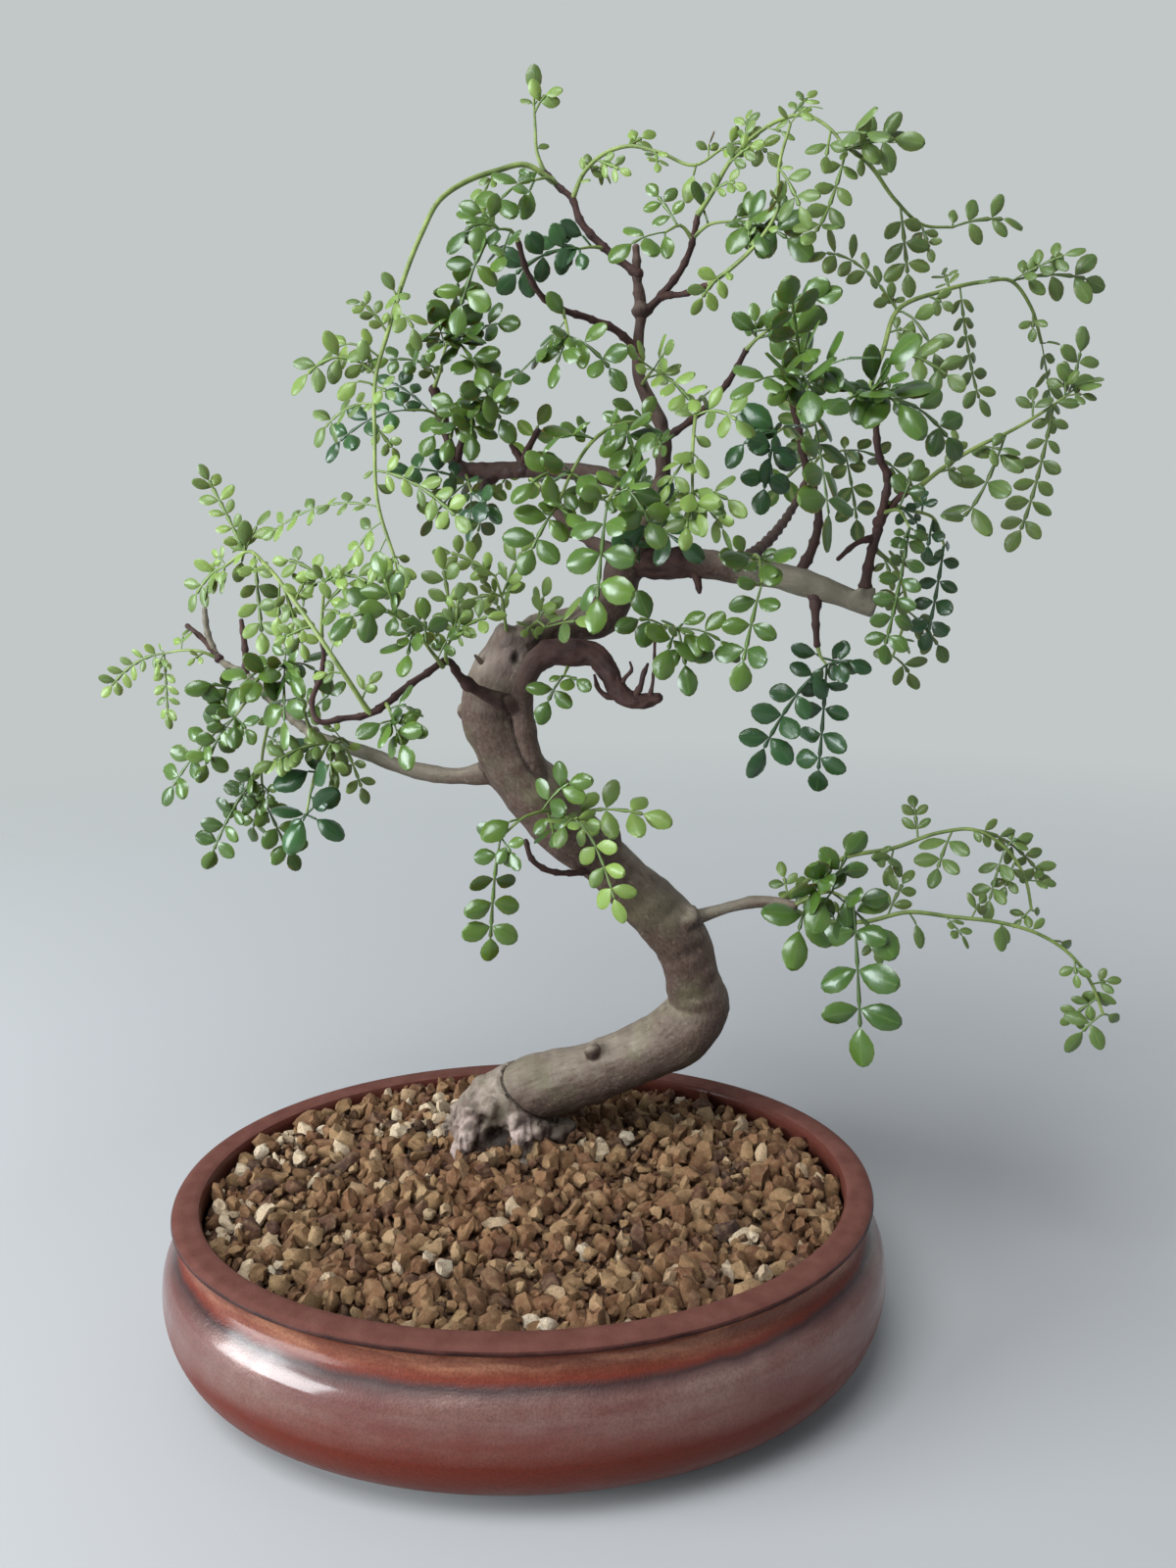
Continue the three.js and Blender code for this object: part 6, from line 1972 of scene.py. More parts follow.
def icosphere(divisions: int) -> Shape:
    """Makes a unit ball of triangles.

    Args:
        divisions: 1 for twenty faces, 2 for eighty.

    Returns:
        Its vertices and faces.
    """
    golden = (1 + 5 ** 0.5) / 2
    corners = np.array([
        (-1, golden, 0), (1, golden, 0), (-1, -golden, 0), (1, -golden, 0), (0, -1, golden), (0, 1, golden),
        (0, -1, -golden), (0, 1, -golden), (golden, 0, -1), (golden, 0, 1), (-golden, 0, -1), (-golden, 0, 1),
    ], float)
    faces: list[Face] = [
        (0, 11, 5), (0, 5, 1), (0, 1, 7), (0, 7, 10), (0, 10, 11), (1, 5, 9), (5, 11, 4), (11, 10, 2),
        (10, 7, 6), (7, 1, 8), (3, 9, 4), (3, 4, 2), (3, 2, 6), (3, 6, 8), (3, 8, 9), (4, 9, 5),
        (2, 4, 11), (6, 2, 10), (8, 6, 7), (9, 8, 1),
    ]
    points = [tuple(corner) for corner in corners / np.linalg.norm(corners[0])]
    for _ in range(divisions - 1):
        middles: dict[tuple[int, int], int] = {}
        finer: list[Face] = []
        for face in faces:
            mid = []
            for a, b in zip(face, face[1:] + face[:1]):
                key = (min(a, b), max(a, b))
                if key not in middles:
                    point = np.array(points[a]) + np.array(points[b])
                    middles[key] = len(points)
                    points.append(tuple(point / np.linalg.norm(point)))
                mid.append(middles[key])
            finer += [(face[k], mid[k], mid[k - 1]) for k in range(3)] + [tuple(mid)]
        faces = finer
    return np.array(points), faces


# Wood


@dataclass
class WoodSample:
    """Where each point of the limbs' middle lines is, with what the bark needs to know there."""

    places: list[np.ndarray] = field(default_factory=list)
    heads: list[np.ndarray] = field(default_factory=list)
    sides: list[np.ndarray] = field(default_factory=list)
    uprights: list[np.ndarray] = field(default_factory=list)
    facts: list[np.ndarray] = field(default_factory=list)

    def keep(self, path: np.ndarray, age: Sequence[float], limb: int) -> None:
        """Keeps one limb.

        Args:
            path: Rows of x, y, z and radius in metres.
            age: Its bark from old (0) to new (1) along it.
            limb: Its number.
        """
        head, side, upright = path_frames(path, LIMB_FACING)
        way = SmoothPath(path).marks
        self.places.append(path[:, :3])
        self.heads.append(head)
        self.sides.append(side)
        self.uprights.append(upright)
        ages = np.interp(way / way[-1], np.linspace(0, 1, len(age)), age)
        self.facts.append(np.column_stack([path[:, 3], way, ages, np.full(len(path), limb)]))

    def measure(self, places: np.ndarray, near: np.ndarray) -> tuple[np.ndarray, np.ndarray, np.ndarray]:
        """Measures places from the middle lines.

        Args:
            places: Rows of x, y, z.
            near: The number of the kept point that is nearest to each.

        Returns:
            Each place's way along its limb, and how far across and above the middle line it is.
        """
        offset = places - np.concatenate(self.places)[near]
        ahead, across, up = (
            np.einsum("ij,ij->i", offset, np.concatenate(axes)[near])
            for axes in (self.heads, self.sides, self.uprights)
        )
        return np.concatenate(self.facts)[near, 1] + ahead, across, up


def tube(path: np.ndarray, sides: int, wobble: int, cut: bool = False) -> Shape:
    """Makes a closed, slightly uneven rod round a path.

    Args:
        path: Rows of x, y, z and radius in metres.
        sides: How many points go round it.
        wobble: Which pattern of unevenness.
        cut: Whether its far end is cut off flat rather than rounded.

    Returns:
        Its vertices and faces.
    """
    tangents, side, upright = path_frames(path, LIMB_FACING)
    radius = path[:, 3]
    rows = [(path[0, :3] - tangents[0] * radius[0] * out, radius[0] * share, side[0], upright[0])
            for out, share in reversed(ROUND_END)]
    rows += [(path[k, :3], radius[k], side[k], upright[k]) for k in range(len(path))]
    rows += [(path[-1, :3] + tangents[-1] * radius[-1] * out, radius[-1] * share, side[-1], upright[-1])
             for out, share in (CUT_END if cut else ROUND_END)]
    centres = np.array([row[0] for row in rows])
    cosine, sine = np.cos(around(sides))[:, None], np.sin(around(sides))[:, None]
    rings = [centre + (cosine * across + sine * up) * reach for centre, reach, across, up in rows]
    vertices = np.concatenate(rings)
    lumps = 1 + 0.07 * value_noise(vertices / (2.2 * radius.max()) + wobble * 7.7, wobble)
    middle = np.repeat(centres, sides, axis=0)
    vertices = middle + (vertices - middle) * lumps[:, None]
    first = centres[0] - tangents[0] * radius[0] * 0.06
    last = centres[-1] + tangents[-1] * radius[-1] * 0.03
    return np.concatenate([vertices, [first, last]]), shell_faces(len(rows), sides)


@dataclass
class Wood:
    """Trunk, roots, branches and twigs, grown as one.

    The crack between root flare and trunk is given by its way along the trunk in metres, and how far
    that way shifts across and up. The trunk starts tucked in below it, by a share of its girth.
    """

    voxel: float = 0.8
    root_voxel: float = 0.58
    thin: float = 1.75
    stout: float = 2.85
    limb_step: float = 1.5
    root_step: float = 1.2
    twig_step: float = 1.1
    limb_sides: int = 28
    collar_sides: int = 44
    root_sides: int = 24
    twig_sides: int = 9
    crack: Point = (0.0575, -0.45, -0.28)
    tuck: Point = (0.0145, 0.009)
    tuck_share: float = 0.55
    collar: float = 0.9
    collar_reach: float = 0.0125
    socket: Point = (-11.4, 22.0, 69.5, 4.8, 9.0, 4.4)
    socket_shade: Point = (-11.6, 22.0, 66.0, 6.2, 12.0, 6.6)
    knot_hole: Point = (1.6, 9.5, 253.0, 1.0)
    pale_top: Point = (-1.0, 13.0, 256.0, 1.0)
    scurfs: Sequence[Point] = (
        (-21.4, 77, 2.6), (-22.8, 73, 3.2), (-24.2, 69, 3.4), (-25.4, 65, 3.6), (-3.4, 76, 4.2), (-2.4, 71, 5),
    )
    strip: int = 4
    batch: int = 4000
    sample: WoodSample = field(default_factory=WoodSample)

    def limbs(self) -> tuple[list[tuple[np.ndarray, bool]], list[tuple[np.ndarray, float]]]:
        """Parts the thick wood from the twigs, and keeps where all of it runs.

        Returns:
            The thick limbs with whether each is cut off, and the twigs with their ages.
        """
        thick, twigs = [], []
        for number, limb in enumerate(LIMBS):
            points = carried(limb.points)
            if points[:, 3].max() > self.stout * MM:
                narrow = np.flatnonzero(points[:, 3] < self.thin * MM)
                until = int(narrow[0]) if len(narrow) else len(points) - 1
                path = SmoothPath(points[: until + 1]).stepped(self.limb_step * MM)
                thick.append((path, limb.cut))
                self.sample.keep(path, limb.age, number)
                if not len(narrow):
                    continue
                points = points[until - 1:]
            twigs.append((SmoothPath(points).stepped(self.twig_step * MM), limb.age[-1]))
        return thick, twigs

    @staticmethod
    def skin(name: str, shapes: Sequence[Shape], voxel: float, passes: int) -> Object:
        """Joins closed shapes into one even skin.

        Args:
            name: The object's name.
            shapes: Their vertices and faces.
            voxel: How fine the skin is, in mm.
            passes: How often it is smoothed.

        Returns:
            The skin.
        """
        body = new_object(name, *joined(shapes))
        remesh = body.modifiers.new("skin", "REMESH")
        remesh.mode = "VOXEL"
        remesh.voxel_size = voxel * MM
        even = body.modifiers.new("even", "SMOOTH")
        even.factor = 0.5
        even.iterations = passes
        return settle(body)

    @staticmethod
    def lump(place: np.ndarray, seed: int) -> Shape:
        """Makes an uneven ball.

        Args:
            place: Its x, y, z and radius in metres.
            seed: Which unevenness.

        Returns:
            Its vertices and faces.
        """
        ball, faces = icosphere(3)
        ball = ball * (1 + 0.3 * value_noise(ball * 1.4 + 5 * seed, seed))[:, None]
        return place[:3] + ball * place[3], faces

    def past_crack(self, ways: np.ndarray, across: np.ndarray, up: np.ndarray) -> np.ndarray:
        """Measures how far past the slanting crack places on the trunk are.

        Args:
            ways: Their ways along the trunk in metres.
            across: How far across its middle line they are.
            up: How far above it.

        Returns:
            The ways past the crack in metres, below zero before it.
        """
        start, slant, steep = self.crack
        return ways - start - slant * across - steep * up

    def on_trunk(self, places: np.ndarray) -> tuple[np.ndarray, np.ndarray, np.ndarray]:
        """Measures places from the trunk's middle line.

        Args:
            places: Rows of x, y, z.

        Returns:
            Each place's way along the trunk, and how far across and above its middle line it is.
        """
        centres = self.sample.places[0]
        near = np.array([np.linalg.norm(centres - place, axis=1).argmin() for place in places])
        return self.sample.measure(places, near)

    def body(self, thick: list[tuple[np.ndarray, bool]]) -> Object:
        """Joins the thick limbs and knobs into one skin.

        Args:
            thick: The limbs' paths, with whether each is cut off.

        Returns:
            The skin.
        """
        trunk, cut = thick[0]
        marks = SmoothPath(trunk).marks
        seen = marks > self.crack[0] - self.tuck[0]
        trunk = trunk[seen].copy()
        trunk[:, 3] *= np.interp(marks[seen], self.crack[0] - np.array(self.tuck), (self.tuck_share, 1))
        limbs = [(trunk, cut), *thick[1:]]
        shapes = [tube(path, self.limb_sides, 11 + k, cut) for k, (path, cut) in enumerate(limbs)]
        shapes += [self.lump(carried([knob])[0], 60 + k) for k, knob in enumerate(KNOBS)]
        return self.skin("wood", shapes, self.voxel, 4)

    def sleeve(self, trunk: np.ndarray) -> Shape:
        """Makes the collar round the trunk's foot, up to its slanting crack.

        Args:
            trunk: The trunk's path, rows of x, y, z and radius.

        Returns:
            Its vertices and faces.
        """
        marks = SmoothPath(trunk).marks
        reach = int(np.searchsorted(marks, self.crack[0] + self.collar_reach))
        places, faces = tube(trunk[:reach], self.collar_sides, 71)
        ways, across, up = self.on_trunk(places)
        rise = np.interp(up, np.array([-8, 7]) * MM, np.array([0.35, self.collar]) * MM)
        middle = trunk[np.abs(marks[None] - ways[:, None]).argmin(axis=1), :3]
        away = places - middle
        places = places + away * (rise / np.linalg.norm(away, axis=1))[:, None]
        beyond = np.clip(self.past_crack(ways, across, up) / (0.7 * MM), 0, 1)
        return places + (middle - places) * (0.3 * beyond)[:, None], faces

    def flare(self, trunk: np.ndarray) -> Object:
        """Builds the root flare: a collar round the trunk up to its slanting crack, roots and lumps.

        Args:
            trunk: The trunk's path, rows of x, y, z and radius.

        Returns:
            The flare, its surface roughened and the facts that its finish reads stored.
        """
        shapes = [self.sleeve(trunk)]
        for number, root in enumerate(ROOTS):
            path = SmoothPath(np.array(root, float) * MM).stepped(self.root_step * MM)
            shapes.append(tube(path, self.root_sides, 81 + number))
        shapes += [self.lump(np.array(lump) * MM, 90 + k) for k, lump in enumerate(LUMPS)]
        flare = self.skin("root_flare", shapes, self.root_voxel, 3)
        mesh = flare.data
        places, normals = read_vertices(mesh), read_vertices(mesh, "normal")
        x, y, z = places.T / MM
        knobbly = value_noise(places / (4.2 * MM), 24) + 0.7 * value_noise(places / (1.9 * MM), 25)
        ridges = 1 - np.abs(value_noise(places / np.array([2.2, 2.2, 5.0]) / MM, 26))
        low = np.clip((82 * MM - places[:, 2]) / (12 * MM), 0.25, 1)
        lift = low * (0.95 * knobbly + 0.9 * ridges ** 3 - 0.25)
        edge = self.past_crack(*self.on_trunk(places)) * (places[:, 2] > 74 * MM) / MM
        # The crack's place, stored as seam, for the painted shade of its line.
        seam = np.where(edge == 0, 9, edge - 0.3)
        lift = lift * (1 - 0.8 * np.exp(-((edge / 1.6) ** 2)) * (edge != 0))
        hole = np.exp(-(np.linalg.norm((places / MM - self.socket[:3]) / self.socket[3:], axis=1) ** 4))
        raise_surface(mesh, places, normals, lift - 3.4 * hole)
        high = np.clip(0.45 + 0.8 * knobbly + 0.6 * (ridges - 0.6), 0, 1)
        # Painted shade: the flare's low pits darken.
        pit_shade = np.clip(-1.1 * knobbly - 0.3, 0, 0.7)
        white = np.full(len(places), 0.2)
        for middle_x, middle_z, reach in self.scurfs:
            away = np.hypot(x - middle_x, z - middle_z) / reach
            white = np.maximum(white, np.exp(-(away ** 4)) * (y < 31))
        # Painted shadow under the trunk, right of the flare; it also clears the scurf there.
        shade = np.clip((x - 2) / 6, 0, 1) * np.clip((80 - z) / 6, 0, 1)
        # Painted shade in and round the socket.
        deep = np.linalg.norm((places / MM - self.socket_shade[:3]) / self.socket_shade[3:], axis=1)
        dark = np.maximum(1.1 * hole, 0.9 * np.exp(-(deep ** 6)))
        store(
            mesh,
            bark_place=places,
            age=np.zeros(len(places)),
            scurf=np.clip(white * (0.4 + high) * (1 - shade), 0, 1),
            hollow=np.clip(low * pit_shade + dark + 0.5 * shade, 0, 1),
            seam=seam,
        )
        return flare

    def nearest(self, places: np.ndarray) -> tuple[np.ndarray, np.ndarray]:
        """Finds the limbs' points that are nearest to places, measured from the limbs' skin.

        Args:
            places: Rows of x, y, z.

        Returns:
            The number of the point nearest to each, and how much nearer the strip of live bark is to
            it than the trunk, in metres.
        """
        centres, facts = np.concatenate(self.sample.places), np.concatenate(self.sample.facts)
        trunk, strip = facts[:, 3] == 0, facts[:, 3] == self.strip
        near, seam = np.empty(len(places), int), np.empty(len(places))
        for start in range(0, len(places), self.batch):
            some = slice(start, start + self.batch)
            away = np.linalg.norm(places[some][:, None] - centres[None], axis=2) - facts[None, :, 0]
            near[some] = away.argmin(axis=1)
            seam[some] = away[:, trunk].min(axis=1) - away[:, strip].min(axis=1)
        return near, seam

    def weather(self, wood: Object) -> None:
        """Raises the bark's grain and hollows, and stores what its finish reads.

        Args:
            wood: The thick wood.
        """
        mesh = wood.data
        places, normals = read_vertices(mesh), read_vertices(mesh, "normal")
        near, seam = self.nearest(places)
        radius, _, age, limb = np.concatenate(self.sample.facts)[near].T
        way, across, up = self.sample.measure(places, near)
        reach = np.hypot(across, up) + 1e-9
        bark = np.column_stack([across / reach * radius, up / reach * radius, way + limb * 0.37])
        girth = np.clip(radius / (6 * MM), 0.25, 1)
        grain = bark / np.array([1.25, 1.25, 7.5]) / MM
        fine = bark / np.array([0.9, 0.9, 2.6]) / MM
        lift = girth * (0.9 * value_noise(places / (11 * MM), 21) + 0.4 * value_noise(places / (5 * MM), 29))
        lift += 0.3 * girth * value_noise(bark / np.array([9, 9, 3.4]) / MM, 30)
        lift += 0.1 * girth * value_noise(grain, 22) + 0.08 * girth * value_noise(fine, 23)
        new = np.clip((age - 0.5) / 0.3, 0, 1)
        coarse = value_noise(bark / np.array([1.9, 1.9, 2.6]) / MM, 27)
        lift += new * (0.5 * coarse + 0.3 * value_noise(fine, 28))
        groove = np.exp(-((seam / (0.5 * MM)) ** 2)) * (reach < radius * 1.4)
        groove *= np.clip((places[:, 2] - 200 * MM) / (20 * MM), 0, 1)
        lift -= 0.6 * groove
        # The crack is cut in and its place stored as seam, for the painted shade of its line.
        slit = np.where(limb == 0, self.past_crack(way, across, up) / MM - 0.7, 9)
        lift -= 0.5 * np.exp(-((slit / 0.7) ** 2))
        hole = (places - carried([self.knot_hole])[0, :3]) / np.array([0.8, 1, 1.2])
        hollow = np.exp(-((np.linalg.norm(hole, axis=1) / (2.4 * MM)) ** 4))
        raise_surface(mesh, places, normals, lift - 2.6 * hollow)
        top = np.linalg.norm(places - carried([self.pale_top])[0, :3], axis=1) / (11 * MM)
        # The knot hole and the strip's groove carry painted shade.
        store(
            mesh,
            bark_place=bark * np.array([1.0, 1.0, 0.28]),
            age=age,
            scurf=0.42 * np.exp(-(top ** 4)) * (limb == 0),
            hollow=np.clip(groove * 0.5 + 1.3 * hollow, 0, 1),
            seam=np.clip(slit, -9, 9),
        )

    def twigs(self, paths: list[tuple[np.ndarray, float]]) -> Object:
        """Builds the twigs, with a swelling at each node.

        Args:
            paths: Rows of x, y, z and radius for each twig, and its age.

        Returns:
            The twigs, as one mesh.
        """
        shapes, ages, barks = [], [], []
        sides = self.twig_sides
        draw = Random(SEED + 3)
        for number, (path, age) in enumerate(paths):
            steps = np.arange(len(path)) * self.twig_step
            node = draw.uniform(5.0, 7.0)
            knots = np.exp(-((((steps + draw.uniform(0, 4)) % node) - node / 2) / 0.9) ** 2)
            path = path.copy()
            path[:, 3] *= 0.94 + 0.3 * knots
            path[:, 3] *= 1 + 0.5 * np.exp(-steps / 1.6)
            bends = [value_noise(path[:, :3] / (3.1 * MM), seed) for seed in (31, 32, 33)]
            path[:, :3] += 0.16 * MM * np.column_stack(bends)
            shapes.append(tube(path, sides, 51 + number))
            way = np.repeat(np.concatenate([[0] * 3, steps, [steps[-1]] * 3]) * MM, sides)
            turn = np.tile(around(sides), len(way) // sides)
            bark = np.column_stack([np.cos(turn) * MM, np.sin(turn) * MM, 0.28 * way + number * 0.1])
            barks += [bark, bark[:1], bark[-1:]]
            ages.append(np.full(len(shapes[-1][0]), age))
        vertices, faces = joined(shapes)
        twigs = new_object("twigs", vertices, faces)
        store(
            twigs.data,
            bark_place=np.concatenate(barks),
            age=np.concatenate(ages),
            scurf=np.zeros(len(vertices)),
            hollow=np.zeros(len(vertices)),
            seam=np.full(len(vertices), 9.0),
        )
        return twigs

    def build(self) -> Object:
        """Builds the wood.

        Returns:
            Its thick part.
        """
        bark = Bark("bark").material()
        thick, thin = self.limbs()
        flare = self.flare(thick[0][0])
        wood = self.body(thick)
        self.weather(wood)
        for piece in (wood, flare, self.twigs(thin)):
            smooth_shade(piece.data)
            clothe(piece, bark)
            present(piece, "bark", "trunk")
        return wood


# Foliage


@dataclass(frozen=True)
class LeafHabit:
    """How leaves of one age grow, each range from least to most."""

    skin: LeafSkin
    widths: tuple[float, float]
    swing: tuple[float, float]
    tone: tuple[float, float]


@dataclass
class ShootMesh:
    """What one shoot's tree is fed: midrib faces, stem lines and leaflet points."""

    habit: LeafHabit
    vertices: list[np.ndarray] = field(default_factory=list)
    edges: list[tuple[int, int]] = field(default_factory=list)
    faces: list[Face] = field(default_factory=list)
    facts: dict[str, list] = field(default_factory=lambda: {name: [] for name in BLANK_FACTS})

    def add(self, rows: np.ndarray, role: float, **facts: Sequence) -> int:
        """Adds vertices.

        Args:
            rows: Their places.
            role: 0 for a midrib, 1 for a stem, 2 for a leaflet.
            facts: What is known of each, by name.

        Returns:
            The number of the first.
        """
        first = len(self.vertices)
        self.vertices += list(rows)
        facts["role"] = [role] * len(rows)
        for name, blank in BLANK_FACTS.items():
            self.facts[name] += list(facts.get(name, [blank] * len(rows)))
        return first

    def finish(self, name: str) -> Object:
        """Makes the object with its attributes.

        Args:
            name: Its name.

        Returns:
            The object.
        """
        shoot = new_object(name, np.array(self.vertices), self.faces, self.edges)
        store(shoot.data, **{fact: np.array(values) for fact, values in self.facts.items()})
        return shoot


@dataclass
class Foliage:
    """All leafy shoots, each on its stem, with their leaflets clear of the wood that is the guard."""

    guard: BVHTree
    pair_spacing: float = 0.84
    most_pairs: int = 6
    stem_radius: float = 0.95
    stem_step: float = 2.0
    stem_sides: int = 7
    clearance: float = 1.3
    node_spacing: tuple[float, float] = (7.5, 12.0)
    furthest_back: float = 104.0
    stations: Point = (0.06, 0.2, 0.4, 0.61, 0.81, 0.945)
    across: Point = (-1.0, -0.5, 0.0, 0.5, 1.0)
    shapes: Sequence[Point] = (
        (0, 0.03, 0.02), (0.04, 0.05, 0.08), (-0.04, 0.04, 0.05), (0.02, 0.0, 0.14), (-0.03, 0.08, 0.0),
        (0.0, 0.06, 0.2),
    )
    draw: Random = field(default_factory=lambda: Random(SEED + 9))
    habits: dict[Tone, LeafHabit] = field(default_factory=lambda: {
        Tone.YOUNG: LeafHabit(
            LeafSkin("young leaf", (72, 94, 44), (124, 148, 66), (118, 136, 84), 0.42, 0.14),
            (0.54, 0.66), (0.85, 1.2), (0.1, 1.0)),
        Tone.LEAF: LeafHabit(
            LeafSkin("green leaf", (50, 76, 28), (94, 118, 40), (100, 116, 62), 0.3),
            (0.62, 0.76), (1.05, 1.35), (0.1, 0.9)),
        Tone.DARK: LeafHabit(
            LeafSkin("dark leaf", (32, 58, 32), (56, 92, 44), (72, 102, 62), 0.3, 0.26),
            (0.64, 0.78), (1.1, 1.4), (0.1, 0.9)),
    })

    def leaflet(self, number: int, bend: float, fold: float, droop: float) -> Object:
        """Makes one form of leaflet, a unit long from its foot along X, half a unit to each side.

        Args:
            number: Which form, for its name.
            bend: How far its middle line swings sideways.
            fold: How deep its middle lies.
            droop: How far its tip hangs.

        Returns:
            The leaflet, a thin closed body.
        """
        vertices, blade = [(0.0, 0.0, 0.0)], [(0.0, 0.0, 1.0)]
        for u in self.stations:
            half = 0.5 * math.sin(math.pi * u ** 1.14) ** (0.8 - 0.3 * u)
            swell = min(1.0, 6 * u * (1.1 - u))
            for v in self.across:
                crown = 0.12 * (1 - v * v) - fold * (1 - abs(v)) ** 2
                vertices.append((u, half * v + bend * math.sin(math.pi * u), crown * swell - droop * u * u))
                blade.append((u, v, 1.0))
            x, y, z = vertices[-3]
            vertices.append((x, y, z - 0.035))
            blade.append((u, 0.0, -1.0))
        tip = len(vertices)
        vertices.append((1.0, 0.0, -droop))
        blade.append((1.0, 0.0, 1.0))
        faces: list[Face] = []
        for columns, upper in (((0, 1, 2, 3, 4), True), ((0, 5, 4), False)):
            lines = [[1 + 6 * k + column for column in columns] for k in range(len(self.stations))]
            skin = [(0, b, a) for a, b in zip(lines[0], lines[0][1:])]
            for near, far in zip(lines, lines[1:]):
                skin += [(far[k], far[k + 1], near[k + 1], near[k]) for k in range(len(columns) - 1)]
            skin += [(tip, a, b) for a, b in zip(lines[-1], lines[-1][1:])]
            faces += skin if upper else [face[::-1] for face in skin]
        form = new_object(f"leaflet_{number}", np.array(vertices), [face[::-1] for face in faces])
        store(form.data, blade=np.array(blade))
        form.data.set_sharp_from_angle(angle=math.radians(75))
        return form

    @staticmethod
    def light(place: Sequence[float]) -> float:
        """Gives the share of the leaves' tone at a place: less on the side away from the window, as painted
        shade.
        """
        return float(np.interp(place[0], (0.06, 0.14), (1.0, 0.3)))

    @staticmethod
    def upright(facing: Vector, tangent: Vector, roll: float) -> Vector:
        """Finds the way up on a leaf.

        Args:
            facing: The way that the leaf faces.
            tangent: The way that it points.
            roll: How far it is turned round that.

        Returns:
            The way up, square to its tangent.
        """
        upward = (facing - tangent * facing.dot(tangent)).normalized()
        upward.rotate(Matrix.Rotation(roll, 3, tangent))
        return upward

    def blade(self, shoot: ShootMesh, base: Vector, along: Vector, normal: Vector, length: float) -> None:
        """Adds a leaflet unless it would run into the wood.

        Args:
            shoot: The shoot that it belongs to.
            base: Its foot.
            along: The way that it points.
            normal: The way that its face looks.
            length: Its length in metres.
        """
        draw, habit = self.draw, shoot.habit
        for share in (0.45, 1.0):
            if self.guard.find_nearest(base + along * length * share, self.clearance * MM)[0] is not None:
                return
        side = normal.cross(along).normalized()
        normal = along.cross(side).normalized()
        turn = Matrix((along, side, normal)).transposed() @ Matrix.Rotation(draw.gauss(0, 0.22), 3, "X")
        turn = turn @ Matrix.Rotation(draw.gauss(0, 0.14), 3, "Y")
        width = length * draw.uniform(*habit.widths)
        shoot.add(
            [np.array(base)], 2.0,
            form=[draw.randrange(len(self.shapes))],
            # Painted shade: the tone darkens on the side away from the window.
            leaf_tone=[draw.uniform(*habit.tone) * self.light(base)],
            turn=[tuple(turn.to_euler())],
            size=[(length, width, length * draw.uniform(0.8, 1.2))],
        )

    def leaf(self, shoot: ShootMesh, root: np.ndarray, tip: np.ndarray, rise: float, length: float) -> None:
        """Adds a compound leaf: an arched midrib with leaflets in pairs and one at its end.

        Args:
            shoot: The shoot that it grows on.
            root: Its root on the stem.
            tip: The tip of its last leaflet.
            rise: How far its arch rises.
            length: The leaflets' length.
        """
        draw, habit = self.draw, shoot.habit
        reach = float(np.linalg.norm(tip - root))
        if reach < 1.1 * length:
            length = reach / 1.1
        middle = (root + tip) / 2 + np.array([0, 0, 2 * rise])
        share = np.linspace(0, 1, 13)[:, None]
        path = SmoothPath((1 - share) ** 2 * root + 2 * share * (1 - share) * middle + share ** 2 * tip)
        stalk = path.length - length * 1.02
        front = 0.9 if root[1] > 0.075 else -0.9
        facing = Vector((draw.gauss(-0.15, 0.32), front + draw.gauss(0, 0.2), 0.45 + draw.gauss(0, 0.22)))
        roll = draw.uniform(-0.4, 0.4)
        pairs = min(self.most_pairs, max(0, round((stalk / length - 0.45) / self.pair_spacing)))
        marks = [stalk * (k + 0.72) / (pairs + 0.2) for k in range(pairs)]
        # Painted shade: the tone darkens on the side away from the window.
        tone = draw.uniform(*habit.tone) * self.light(tip)
        self.midrib(shoot, path, [*marks, stalk], facing, roll, tone)
        for k, mark in enumerate([*marks, stalk]):
            here = path.at(mark)[0]
            ahead = path.at(path.length if k == pairs else mark + 0.6 * MM)[0]
            tangent = Vector(ahead - here).normalized()
            upward = self.upright(facing, tangent, roll + draw.gauss(0, 0.12))
            if k == pairs:
                self.blade(shoot, Vector(here), tangent, upward, length * draw.uniform(1.0, 1.14))
                return
            side = upward.cross(tangent)
            size = length * (0.78 + 0.27 * min(1, (k + 1) / max(1, pairs - 1)))
            swing = draw.uniform(*habit.swing)
            for hand in (1, -1):
                turn = swing + draw.gauss(0, 0.09)
                along = tangent * math.cos(turn) + side * (hand * math.sin(turn))
                along = (along + upward * draw.gauss(0.1, 0.16)).normalized()
                base = Vector(here) + side * (hand * 0.35 * MM)
                self.blade(shoot, base, along, upward, size * draw.uniform(0.9, 1.08))

